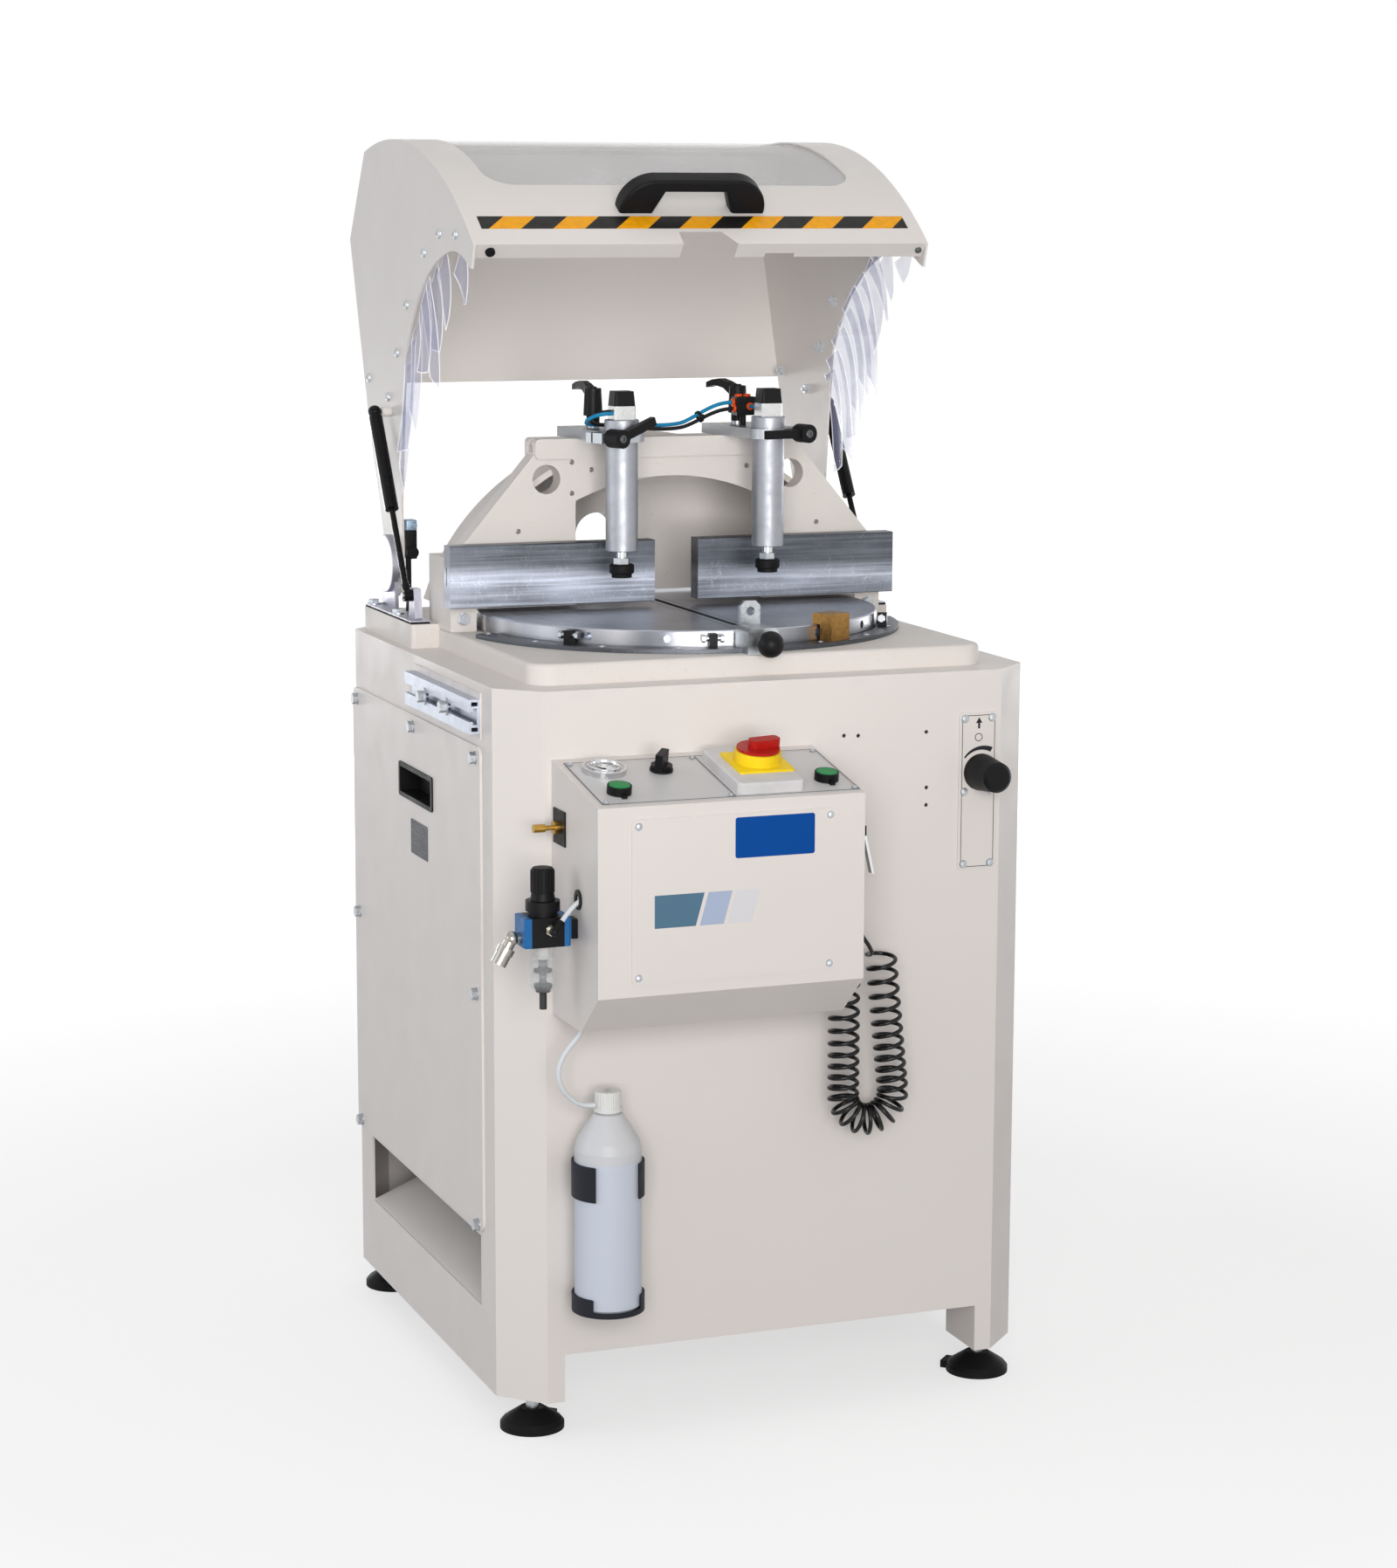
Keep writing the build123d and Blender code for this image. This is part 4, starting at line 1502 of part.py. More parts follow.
def push_button(side):
    x, v = BUTTON_PLACES[side]
    top = BUTTON_BEZEL_HEIGHT + BUTTON_RISE
    cap = bar_z(0, 0, 1 + BUTTON_TRAVEL + GAP, top, BUTTON_RADIUS)
    cap = fillet(cap.edges().sort_by(Axis.Z)[-1], 1.5)
    cap += bar_z(0, 0, -BUTTON_STEM, top - 2, BUTTON_STEM_RADIUS)
    return PANEL * (Pos(x, v, 0) * cap)


def selector_knob():
    seat = SELECTOR_RING + GAP
    half, reach = SELECTOR_GRIP / 2, SELECTOR_RADIUS - 1
    knob = bar_z(0, 0, seat, seat + SELECTOR_RING, reach)
    knob += block(-half, half, -reach - 3, reach, seat, seat + SELECTOR_HEIGHT)
    knob += bar_z(0, 0, -BUTTON_STEM, seat + 1, BUTTON_STEM_RADIUS)
    return PANEL * (Pos(*SELECTOR_PLACE, 0) * (Rot(0, 0, SELECTOR_ANGLE) * knob))


def switch_base():
    """Housing with the square plate and the round collar of the main switch."""
    length = SWITCH_V1 - SWITCH_V0
    housing = extrude(RectangleRounded(SWITCH_X1 - SWITCH_X0, length, SWITCH_CORNER), amount=SWITCH_HEIGHT)
    housing = fillet(housing.faces().sort_by(Axis.Z)[-1].edges(), 3)
    base = Pos((SWITCH_X0 + SWITCH_X1) / 2, (SWITCH_V0 + SWITCH_V1) / 2, 0) * housing
    plate = extrude(RectangleRounded(SWITCH_PLATE, SWITCH_PLATE, 3), amount=SWITCH_PLATE_THICK)
    collar = bar_z(0, 0, 0, SWITCH_PLATE_THICK + SWITCH_COLLAR, SWITCH_COLLAR_RADIUS)
    seat = Pos(SWITCH_PLATE_X, SWITCH_PLATE_V, SWITCH_HEIGHT)
    base += seat * (plate + collar)
    return PANEL * (base - seat * bar_z(0, 0, 0, 2 * SWITCH_COLLAR, BUTTON_STEM_RADIUS + RUN))


def switch_handle():
    seat = SWITCH_HEIGHT + SWITCH_PLATE_THICK + SWITCH_COLLAR + GAP
    hub = bar_z(0, 0, seat, seat + HANDLE_HUB, HANDLE_HUB_RADIUS)
    half, top = HANDLE_GRIP_WIDTH / 2, seat + HANDLE_HUB + HANDLE_GRIP
    grip = block(-HANDLE_GRIP_TAIL, HANDLE_HUB_RADIUS + HANDLE_GRIP_REACH, -half, half, seat, top)
    grip = fillet(grip.edges().filter_by(Axis.Z), half * 0.7)
    stem = bar_z(0, 0, SWITCH_HEIGHT + 1, seat + 1, BUTTON_STEM_RADIUS)
    place = Pos(SWITCH_PLATE_X, SWITCH_PLATE_V, 0)
    return PANEL * (place * (Rot(0, 0, HANDLE_REST_ANGLE) * (hub + grip + stem)))


def speed_knob():
    """Tapered knob with a collar on the right-hand plate."""
    start = PLATE_THICK + GAP
    end = start + SPEED_LENGTH
    knob = turned([(0, start), (SPEED_COLLAR_RADIUS, start), (SPEED_COLLAR_RADIUS, start + SPEED_COLLAR),
                   (SPEED_RADIUS, start + SPEED_COLLAR), (SPEED_TIP_RADIUS, end - SPEED_EDGE),
                   (SPEED_TIP_RADIUS - SPEED_EDGE, end), (0, end)])
    return facing((SPEED_X, FRONT, SPEED_Z), (0, -1, 0)) * knob


# Air service unit

def regulator_body():
    half, deep = REG_BODY / 2, REG_BODY_DEPTH / 2
    body = block(-half, half, -deep, deep, REG_BODY_BOTTOM, REG_BODY_TOP)
    body = chamfer(body.edges().filter_by(Axis.Z), 3)
    body += bar_z(0, 0, REG_BODY_TOP - 1, REG_COLLAR_Z1, REG_NECK_RADIUS)
    body += bar_z(0, 0, REG_COLLAR_Z0, REG_COLLAR_Z1, REG_COLLAR_RADIUS)
    low, high = REG_BODY_BOTTOM + REG_BRACKET, REG_BODY_TOP - REG_BRACKET
    body += block(half - 1, BOX_X0 - REG_X, -deep / 2, deep / 2, low, high)
    body -= bar_z(0, 0, REG_BODY_TOP, REG_COLLAR_Z1 + 1, BUTTON_STEM_RADIUS + RUN)
    return Pos(REG_X, REG_Y, 0) * body


def regulator_bowl():
    """Clear bowl with a round end, its baffle inside and the drain below."""
    wall = REG_BOWL_RADIUS - REG_BOWL_WALL
    low = REG_BOWL_BOTTOM + REG_BOWL_RADIUS * 0.6
    outside = [(REG_DRAIN_RADIUS, REG_BOWL_BOTTOM), (REG_BOWL_RADIUS * 0.7, REG_BOWL_BOTTOM + 3),
               (REG_BOWL_RADIUS, low), (REG_BOWL_RADIUS, REG_BODY_BOTTOM)]
    inside = [(wall, REG_BODY_BOTTOM), (wall, low), (wall * 0.7, REG_BOWL_BOTTOM + 3 + REG_BOWL_WALL),
              (REG_DRAIN_RADIUS, REG_BOWL_BOTTOM + REG_BOWL_WALL)]
    bowl = turned(outside + inside)
    baffle = bar_z(0, 0, REG_DRAIN_BOTTOM, REG_BODY_BOTTOM, REG_DRAIN_RADIUS)
    for z in (0.35, 0.6, 0.75):
        level = REG_BOWL_BOTTOM + z * (REG_BODY_BOTTOM - REG_BOWL_BOTTOM)
        baffle += bar_z(0, 0, level, level + 3, wall - 2)
    return Pos(REG_X, REG_Y, 0) * (bowl + baffle)


def regulator_knob():
    start = REG_COLLAR_Z1 + GAP
    knob = turned([(0, start), (REG_KNOB_RADIUS + 1.5, start), (REG_KNOB_RADIUS, start + 8),
                   (REG_KNOB_RADIUS, REG_KNOB_TOP - 2), (REG_KNOB_RADIUS - 2, REG_KNOB_TOP),
                   (0, REG_KNOB_TOP)])
    rib = bar_z(REG_KNOB_RADIUS, 0, start + 9, REG_KNOB_TOP - 3, 0.9)
    knob = knob + [Rot(0, 0, 360 / REG_KNOB_RIBS * i) * rib for i in range(REG_KNOB_RIBS)]
    knob += bar_z(0, 0, REG_BODY_TOP + 1, start + 1, BUTTON_STEM_RADIUS)
    return Pos(REG_X, REG_Y, 0) * knob


def coupler():
    """Quick coupler on a swivel at the regulator's left, pointing down and outwards."""
    left = REG_X - REG_BODY / 2
    swivel = (left - COUPLER_RADIUS, REG_Y, REG_BODY_BOTTOM + COUPLER_RADIUS)
    neck = COUPLER_NECK
    body = bar_z(0, 0, 0, neck, COUPLER_RADIUS * 0.75) + bar_z(0, 0, neck, COUPLER_LENGTH, COUPLER_RADIUS)
    body += bar_z(0, 0, neck, neck + COUPLER_RING, COUPLER_RADIUS + 1)
    stub = bar_x(swivel[0], left, swivel[1], swivel[2], COUPLER_RADIUS * 0.7)
    return stub + Pos(*swivel) * Sphere(COUPLER_RADIUS * 0.9) + facing(swivel, COUPLER_AIM) * body


def elbow():
    """Hex nut on the regulator's front and an elbow that aims the tube at the grommet."""
    x, y, z = ELBOW_HUB
    face = REG_Y - REG_BODY_DEPTH / 2
    nut = facing((x, face, z), (0, -1, 0)) * hexagon(2.4 * ELBOW_RADIUS, ELBOW_RADIUS)
    end = REG_TUBE_ROUTE[0]
    aim = Vector(*end) - Vector(*ELBOW_HUB)
    arm = facing(ELBOW_HUB, aim) * bar_z(0, 0, 0, aim.length, ELBOW_RADIUS)
    return nut + bar_y(x, y, face, z, ELBOW_RADIUS * 0.9) + Pos(x, y, z) * Sphere(ELBOW_RADIUS) + arm


def air_fittings():
    """Coupler, elbow and grommet at the regulator, the brass inlet, hose port and manifold."""
    grommet = bar_x(BOX_X0 - GROMMET_THICK, BOX_X0, GROMMET_Y, GROMMET_Z, GROMMET_RADIUS)
    grommet -= bar_x(BOX_X0 - 2 * GROMMET_THICK, BOX_X0 + 1, GROMMET_Y, GROMMET_Z, GROMMET_HOLE)
    half = INLET_PLATE / 2
    inlet = block(BOX_X0 - INLET_PLATE_THICK, BOX_X0, INLET_Y - half, INLET_Y + half, INLET_Z - half,
                  INLET_Z + half)
    stem = bar_z(0, 0, 0, INLET_LENGTH, INLET_RADIUS * 0.6) + bar_z(0, 0, 0, 7, INLET_RADIUS * 1.6)
    stem += bar_z(0, 0, INLET_LENGTH * 0.55, INLET_LENGTH, INLET_RADIUS)
    inlet += facing((BOX_X0 - INLET_PLATE_THICK, INLET_Y, INLET_Z), (-1, 0, 0)) * stem
    port = bar_x(BOX_X1, BOX_X1 + HOSE_PORT_LENGTH, HOSE_PORT_Y, HOSE_PORT_Z, HOSE_DIAMETER * 1.1)
    mx, my, mz = CLAMP_ROUTES[0][0]
    top = mz + MANIFOLD_HEIGHT * 0.3
    front, low = my - MANIFOLD_DEPTH * 0.55, top - MANIFOLD_HEIGHT
    manifold = block(mx, mx + MANIFOLD_WIDTH, front, front + MANIFOLD_DEPTH, low, top)
    manifold += bar_z(mx + MANIFOLD_WIDTH / 2, my, ARM_TOP, low + 1, MANIFOLD_POST_RADIUS)
    return Part() + [coupler(), elbow(), grommet, inlet, port, manifold]


# Bottle

BOTTLE_Y = FRONT - HOLDER_WALL - BOTTLE_RADIUS - FIT


def bottle_form(grow):
    """Outside of the bottle, or its inside with a negative growth."""
    body, neck, low = BOTTLE_RADIUS + grow, BOTTLE_NECK_RADIUS + grow, BOTTLE_BOTTOM - grow
    top = CAP_TOP - CAP_WALL
    return turned([(0, low), (body - 4, low), (body, low + 4), (body, BOTTLE_SHOULDER),
                   (body - 3, BOTTLE_SHOULDER + 12), (body - 12, BOTTLE_NECK_Z - 17), (neck + 4, BOTTLE_NECK_Z),
                   (neck, BOTTLE_NECK_Z + 1), (neck, top), (0, top)])


def rinse_bottle():
    """Bottle with its cap screwed on."""
    bottle = bottle_form(0) - bottle_form(-BOTTLE_WALL)
    cap = bar_z(0, 0, CAP_BOTTOM, CAP_TOP, CAP_RADIUS)
    cap += bar_z(0, 0, CAP_BOTTOM, CAP_BOTTOM + CAP_RING, CAP_RING_RADIUS)
    cap -= bar_z(0, 0, CAP_BOTTOM - 1, CAP_TOP - CAP_WALL, BOTTLE_NECK_RADIUS)
    return Pos(BOTTLE_X, BOTTLE_Y, 0) * (bottle + cap)


def bottle_holder():
    """Back strip on the cabinet, open spring arms above and a cupped ring below."""
    inner, outer = BOTTLE_RADIUS + FIT, BOTTLE_RADIUS + HOLDER_WALL
    floor = BOTTLE_BOTTOM - HOLDER_FLOOR
    half = HOLDER_BACK / 2
    strip = block(-half, half, outer - HOLDER_WALL / 2, FRONT - BOTTLE_Y, floor, HOLDER_ARM_Z1)
    arms = bar_z(0, 0, HOLDER_ARM_Z0, HOLDER_ARM_Z1, outer)
    arms -= block(-outer * 0.62, outer * 0.62, -outer - 1, 0, HOLDER_ARM_Z0 - 1, HOLDER_ARM_Z1 + 1)
    ring = bar_z(0, 0, floor, HOLDER_RING_TOP, outer)
    ring -= block(-outer * 0.68, outer * 0.68, -outer - 1, 0, BOTTLE_BOTTOM + HOLDER_LIP, HOLDER_RING_TOP + 1)
    holder = strip + arms + ring - bar_z(0, 0, BOTTLE_BOTTOM, HOLDER_ARM_Z1 + 1, inner)
    return Pos(BOTTLE_X, BOTTLE_Y, 0) * holder


# Tubes: routes chosen by hand from the way they hang

def from_cap(across, back, up):
    """Point measured from the top of the bottle's cap."""
    return BOTTLE_X + across, BOTTLE_Y + back, CAP_TOP + up


def from_clamp(side, across, back, up):
    """Point measured from a clamp's axis at the top of its arm."""
    return CLAMP_X[side] + across, CLAMP_Y + back, ARM_TOP + up


TANK_ROUTE = [
    (BOTTLE_X - 36, BOTTLE_Y - 18, BOX_BOTTOM_Z + 2 * BOX_SHEET),
    (BOTTLE_X - 36, BOTTLE_Y - 18, BOX_BOTTOM_Z - 8),
    from_cap(-61, -18, 56), from_cap(-70, -17, 34), from_cap(-64, -13, 11), from_cap(-46, -6, -9),
    from_cap(-28, 0, -17), from_cap(-CAP_RADIUS - GAP, 0, -17),
]
ELBOW_HUB = (REG_X + 2, REG_Y - REG_BODY_DEPTH / 2 - 17, REG_BODY_TOP - 14)
ELBOW_AIM = (BOX_X0 - 7, GROMMET_Y - 1, GROMMET_Z - 3)
ELBOW_SHARE = 0.34
REG_TUBE_ROUTE = [
    tuple(a + ELBOW_SHARE * (b - a) for a, b in zip(ELBOW_HUB, ELBOW_AIM)), ELBOW_AIM,
    (BOX_X0 + 8, GROMMET_Y, GROMMET_Z + 1),
]
VALVE_FACE = VALVE_WIDTH / 2
PORT_RISE = VALVE_PORT_Z - ARM_TOP
CLAMP_ROUTES = [
    [from_clamp("right", -23.5, 62, 30), from_clamp("right", -38, 62, 30), from_clamp("right", -60, 60, 23),
     from_clamp("right", -84, 57.5, 11), from_clamp("right", -103, 56, 3), from_clamp("left", 56, 54, 2.5),
     from_clamp("left", 22, 51, 5), from_clamp("left", -9, 47, 5), from_clamp("left", -37, 34, 7),
     from_clamp("left", -44, 9, 15), from_clamp("left", -30, -6, PORT_RISE - 1),
     from_clamp("left", -VALVE_FACE, -6, PORT_RISE - 1)],
    [from_clamp("right", -23.5, 58, 22), from_clamp("right", -38, 58, 22), from_clamp("right", -60, 56, 15.5),
     from_clamp("right", -84, 53, 4.5), from_clamp("right", -104, 51, -2), from_clamp("left", 58, 48, -2),
     from_clamp("left", 22, 44, 4), from_clamp("left", -8, 40, 5), from_clamp("left", -31, 30, 8.5),
     from_clamp("left", -37, 12, 17), from_clamp("left", -27, 1.5, PORT_RISE + 1),
     from_clamp("left", -VALVE_FACE, 1.5, PORT_RISE + 1)],
    [from_clamp("right", -5.5, 51, PORT_RISE + 1), from_clamp("right", -5.5, 40, PORT_RISE + 1),
     from_clamp("right", -1.5, 26, PORT_RISE + 1), from_clamp("right", -1.5, VALVE_FACE, PORT_RISE + 1)],
]


def bend_radii(points):
    """The largest arc that each corner's runs allow."""
    radii = []
    for a, b, c in zip(points, points[1:], points[2:]):
        before, after = Vector(*b) - Vector(*a), Vector(*c) - Vector(*b)
        turn = math.radians(before.get_angle(after))
        radii.append(0.45 * min(before.length, after.length) / math.tan(turn / 2))
    return radii


def tube_along(points, diameter, name):
    radii = bend_radii(points)
    path = FilletPolyline(*points, radius=radii)
    start = facing(points[0], Vector(*points[1]) - Vector(*points[0]))
    tube = sweep(start * Circle(diameter / 2), path=path)
    expected = math.pi * diameter ** 2 / 4 * path.length
    print(name, "bend radii", [round(r) for r in radii], "length", round(path.length), "volume share",
          round(tube.volume / expected, 4))
    return tube


def plastic_tubes():
    tank = tube_along(TANK_ROUTE, TUBE_DIAMETER, "tank tube")
    return Part() + [tank, tube_along(REG_TUBE_ROUTE, TUBE_DIAMETER, "regulator tube")]


def clamp_tubes():
    names = ("clamp tube 1", "clamp tube 2", "clamp tube 3")
    return Part() + [tube_along(route, CLAMP_TUBE_DIAMETER, name) for route, name in zip(CLAMP_ROUTES, names)]


# Spiral hose: a helix wound round a hanging U, swept on biarcs of a quarter turn

def hose_line(s):
    """Point and direction at a distance along the U: left limb, bend and leaning right limb."""
    left = HOSE_LEFT_TOP - HOSE_BEND_Z
    lean = math.radians(HOSE_LEAN)
    bend = HOSE_BEND_RADIUS * (math.pi + lean)
    centre_x = HOSE_LEFT_X + HOSE_BEND_RADIUS
    if s < left:
        return (HOSE_LEFT_X, HOSE_LEFT_TOP - s), (0.0, -1.0)
    if s < left + bend:
        a = math.pi + (s - left) / HOSE_BEND_RADIUS
        point = (centre_x + HOSE_BEND_RADIUS * math.cos(a), HOSE_BEND_Z + HOSE_BEND_RADIUS * math.sin(a))
        return point, (-math.sin(a), math.cos(a))
    end = (centre_x + HOSE_BEND_RADIUS * math.cos(lean), HOSE_BEND_Z + HOSE_BEND_RADIUS * math.sin(lean))
    run = s - left - bend
    return (end[0] - run * math.sin(lean), end[1] + run * math.cos(lean)), (-math.sin(lean), math.cos(lean))


def hose_length():
    lean = math.radians(HOSE_LEAN)
    right = (HOSE_RIGHT_TOP - HOSE_BEND_Z) / math.cos(lean)
    return HOSE_LEFT_TOP - HOSE_BEND_Z + HOSE_BEND_RADIUS * (math.pi + lean) + right


def hose_turns():
    """Distances along the U at each quarter turn; the pitch is finer round the bend."""
    total = hose_length()
    middle = HOSE_LEFT_TOP - HOSE_BEND_Z + HOSE_BEND_RADIUS * math.pi / 2
    step = 0.05
    marks, angle, s = [0.0], 0.0, 0.0
    while s < total:
        away = max(0.0, abs(s - middle) - HOSE_BEND_RADIUS * math.pi / 2) / (total / 2)
        pitch = HOSE_PITCH_LOW + (HOSE_PITCH_HIGH - HOSE_PITCH_LOW) * min(1.0, 1.6 * away)
        angle += step / pitch * 4
        s += step
        if angle >= len(marks):
            marks.append(s)
    return marks


def hose_point(s, quarter):
    (x, z), (tx, tz) = hose_line(s)
    a = quarter * math.pi / 2
    out = HOSE_COIL_RADIUS * math.cos(a)
    return Vector(x + out * tz, HOSE_Y + HOSE_COIL_RADIUS * math.sin(a), z - out * tx)


def hose_nodes():
    """Helix points with their directions, between straight ends at the port and the gun."""
    marks = hose_turns()
    nodes = [(Vector(BOX_X1 + HOSE_PORT_LENGTH, HOSE_PORT_Y, HOSE_PORT_Z), Vector(1, 0, 0)),
             (Vector(BOX_X1 + HOSE_PORT_LENGTH + HOSE_DIAMETER, HOSE_PORT_Y, HOSE_PORT_Z), Vector(1, 0, 0))]
    for i in range(1, len(marks) - 1):
        before, here, after = marks[i - 1], marks[i], marks[i + 1]
        share = 0.02
        p = hose_point(here - share * (here - before), i - share)
        q = hose_point(here + share * (after - here), i + share)
        nodes.append((hose_point(here, i), (q - p).normalized()))
    inlet = Vector(GUN_X, GUN_Y, GUN_BOTTOM)
    nodes.append((inlet - Vector(0, 0, HOSE_DIAMETER), Vector(0, 0, 1)))
    nodes.append((inlet, Vector(0, 0, 1)))
    return nodes


def biarc(p0, t0, p1, t1):
    """Two arcs, or one line, from p0 along t0 to p1 along t1."""
    v = p1 - p0
    if v.normalized().dot(t0) > 0.999999 and v.normalized().dot(t1) > 0.999999:
        return [Edge.make_line(p0, p1)]
    t = t0 + t1
    turn = 2 * (1 - t0.dot(t1))
    if turn < 1e-9:
        d = v.dot(v) / (4 * v.dot(t1))
    else:
        d = (math.sqrt(v.dot(t) ** 2 + turn * v.dot(v)) - v.dot(t)) / turn
    middle = (p0 + p1 + (t0 - t1) * d) * 0.5
    along = (p1 - t1 * d - p0 - t0 * d).normalized()
    return [Edge.make_tangent_arc(p0, t0, middle), Edge.make_tangent_arc(middle, along, p1)]


def hose_gap(path):
    """Least distance between turns of the tube, on points along it."""
    count = 2400
    spread = int(count * math.pi * HOSE_COIL_RADIUS / path.length)
    points = [path.position_at(i / count) for i in range(count + 1)]
    pairs = [(i, j) for i in range(0, count, 2) for j in range(i + spread, count, 2)]
    return min((points[i] - points[j]).length for i, j in pairs) - HOSE_DIAMETER


def spiral_hose():
    nodes = hose_nodes()
    edges = []
    for (p0, t0), (p1, t1) in zip(nodes, nodes[1:]):
        edges += biarc(p0, t0, p1, t1)
    path = Wire(edges)
    hose = sweep(facing(nodes[0][0], nodes[0][1]) * Circle(HOSE_DIAMETER / 2), path=path)
    expected = math.pi * HOSE_DIAMETER ** 2 / 4 * path.length
    print("spiral hose turns", round((len(nodes) - 4) / 4, 1), "length", round(path.length), "self gap",
          round(hose_gap(path), 2), "volume share", round(hose.volume / expected, 4))
    return hose


def gun_pivot():
    """(x, z) of the trigger's pin."""
    return GUN_X + GUN_RADIUS + GUN_LEVER_REACH / 2 - 2, GUN_TOP - GUN_PIVOT_DROP


def blow_gun():
    """Blow gun hanging nose up on a bracket on the box's right side."""
    grip_top, nose = GUN_TOP - 30, GUN_RADIUS / 2
    body = turned([(0, GUN_BOTTOM), (GUN_RADIUS * 0.7, GUN_BOTTOM), (GUN_RADIUS, GUN_BOTTOM + 12),
                   (GUN_RADIUS, grip_top), (nose + 1, grip_top + 8), (nose, GUN_TOP), (0, GUN_TOP)])
    gun = Pos(GUN_X, GUN_Y, 0) * body
    pivot_x, pivot_z = gun_pivot()
    half, low = GUN_BRACKET_WIDTH / 2, (GUN_BOTTOM + pivot_z) / 2 - GUN_BRACKET
    gun += block(BOX_X1, GUN_X, GUN_Y - half, GUN_Y + half, low, low + GUN_BRACKET)
    x = GUN_X + GUN_RADIUS
    half = GUN_LEVER_WIDTH / 2
    tall = 2 * GUN_KNUCKLE
    ear = block(GUN_X, x + GUN_LEVER_REACH / 2, GUN_Y - half - GUN_EAR, GUN_Y + half + GUN_EAR,
                pivot_z - tall, pivot_z + tall)
    ear -= block(x + GAP, x + GUN_LEVER_REACH, GUN_Y - half - GAP, GUN_Y + half + GAP, pivot_z - tall - 1,
                 pivot_z + tall + 1)
    return gun + ear + bar_y(pivot_x, GUN_Y - half - 1, GUN_Y + half + 1, pivot_z, GUN_PIN_RADIUS)


def blow_gun_lever():
    """Trigger lever hinged on the gun; its lower end swings towards the body."""
    x, z = gun_pivot()
    low = GUN_BOTTOM + GUN_LEVER_LOW
    half, reach = GUN_LEVER_WIDTH / 2, GUN_LEVER_REACH
    knuckle = bar_y(x, GUN_Y - half, GUN_Y + half, z, GUN_KNUCKLE)
    knuckle -= bar_y(x, GUN_Y - 2 * half, GUN_Y + 2 * half, z, GUN_PIN_RADIUS + RUN)
    blade = prism_y([(x - 0.5, z - GUN_KNUCKLE), (x + 2.5, z - 2), (x + reach, low + 10),
                     (x + reach + 2, low), (x + reach - 1, low)], GUN_Y - half, GUN_Y + half)
    return knuckle + (blade - bar_y(x, GUN_Y - 2 * half, GUN_Y + 2 * half, z, GUN_PIN_RADIUS + 0.7))


# Parts

save("cabinet_shell", cabinet_shell())
save("side_cover", side_cover())
save("recessed_pull", recessed_pull())
save("foot_pads", foot_pads())
save("zinc_fasteners", zinc_fasteners())
save("roller_rails", roller_rails())
save("base_casting", base_casting())
save("turntable_ring", turntable_ring())
save("turntable_disc", turntable_disc())
save("index_tab", index_tab())
save("table_stops", table_stops())
save("index_knob", index_knob())
save("bronze_clamp", bronze_clamp())
save("fences", fences())
save("bridge_casting", bridge_casting())
save("saw_hanger", saw_hanger())
save("motor", motor())
save("motor_pulley", motor_pulley())
save("saw_arm", saw_arm())
save("drive_belt", drive_belt())
save("spindle", spindle())
save("saw_blade", saw_blade())
save("lift_cylinder", lift_cylinder())
save("lift_rod", lift_rod())
save("clamp_arms", Part() + [clamp_arm(side) for side in CLAMP_X])
save("clamp_cylinders", Part() + [clamp_cylinder(side) for side in CLAMP_X])
for side in CLAMP_X:
    save(f"clamp_rod_{side}", clamp_rod(side))
    save(f"arm_lever_{side}", arm_lever(side))
    save(f"collar_lever_{side}", collar_lever(side))
save("clamp_tubes", clamp_tubes())
save("hood_shell", hood_shell())
save("hood_window", hood_window())
save("hood_handle", hood_handle())
save("strip_curtains", strip_curtains())
save("hinge_brackets", hinge_brackets())
save("strut_rods", strut_rods())
save("strut_tubes", strut_tubes())
save("control_box", control_box())
save("cover_plates", cover_plates())
save("panel_glass", panel_glass())
save("panel_fittings", panel_fittings())
for side in BUTTON_PLACES:
    save(f"button_{side}", push_button(side))
save("selector_knob", selector_knob())
save("switch_base", switch_base())
save("switch_handle", switch_handle())
save("speed_knob", speed_knob())
save("regulator_body", regulator_body())
save("regulator_bowl", regulator_bowl())
save("regulator_knob", regulator_knob())
save("air_fittings", air_fittings())
save("rinse_bottle", rinse_bottle())
save("bottle_holder", bottle_holder())
save("plastic_tubes", plastic_tubes())
save("spiral_hose", spiral_hose())
save("blow_gun", blow_gun())
save("blow_gun_lever", blow_gun_lever())
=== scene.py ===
import bmesh
import bpy
import math
from mathutils import Matrix, Vector


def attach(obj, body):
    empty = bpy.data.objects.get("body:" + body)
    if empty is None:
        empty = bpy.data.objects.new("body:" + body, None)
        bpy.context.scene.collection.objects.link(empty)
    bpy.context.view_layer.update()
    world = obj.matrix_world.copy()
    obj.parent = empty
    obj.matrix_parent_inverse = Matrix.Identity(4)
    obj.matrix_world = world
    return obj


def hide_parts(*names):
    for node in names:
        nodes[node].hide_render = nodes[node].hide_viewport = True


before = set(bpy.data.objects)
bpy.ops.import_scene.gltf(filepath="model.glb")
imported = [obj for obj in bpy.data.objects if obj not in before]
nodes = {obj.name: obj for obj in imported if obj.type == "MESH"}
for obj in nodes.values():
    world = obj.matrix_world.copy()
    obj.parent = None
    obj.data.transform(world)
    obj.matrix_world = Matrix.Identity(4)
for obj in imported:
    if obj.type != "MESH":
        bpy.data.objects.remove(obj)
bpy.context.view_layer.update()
MM = 0.001
TURN = 2 * math.pi
stage = bpy.context.scene
stage.view_settings.view_transform = "Standard"


# Camera at the photograph's place and angle
EYE = Vector((-1.6027, -4.2665, 1.5157))
AIM = Vector((0.03164, 0.0, 0.74046))
ROLL = math.radians(0.18)
LENS = 80.52

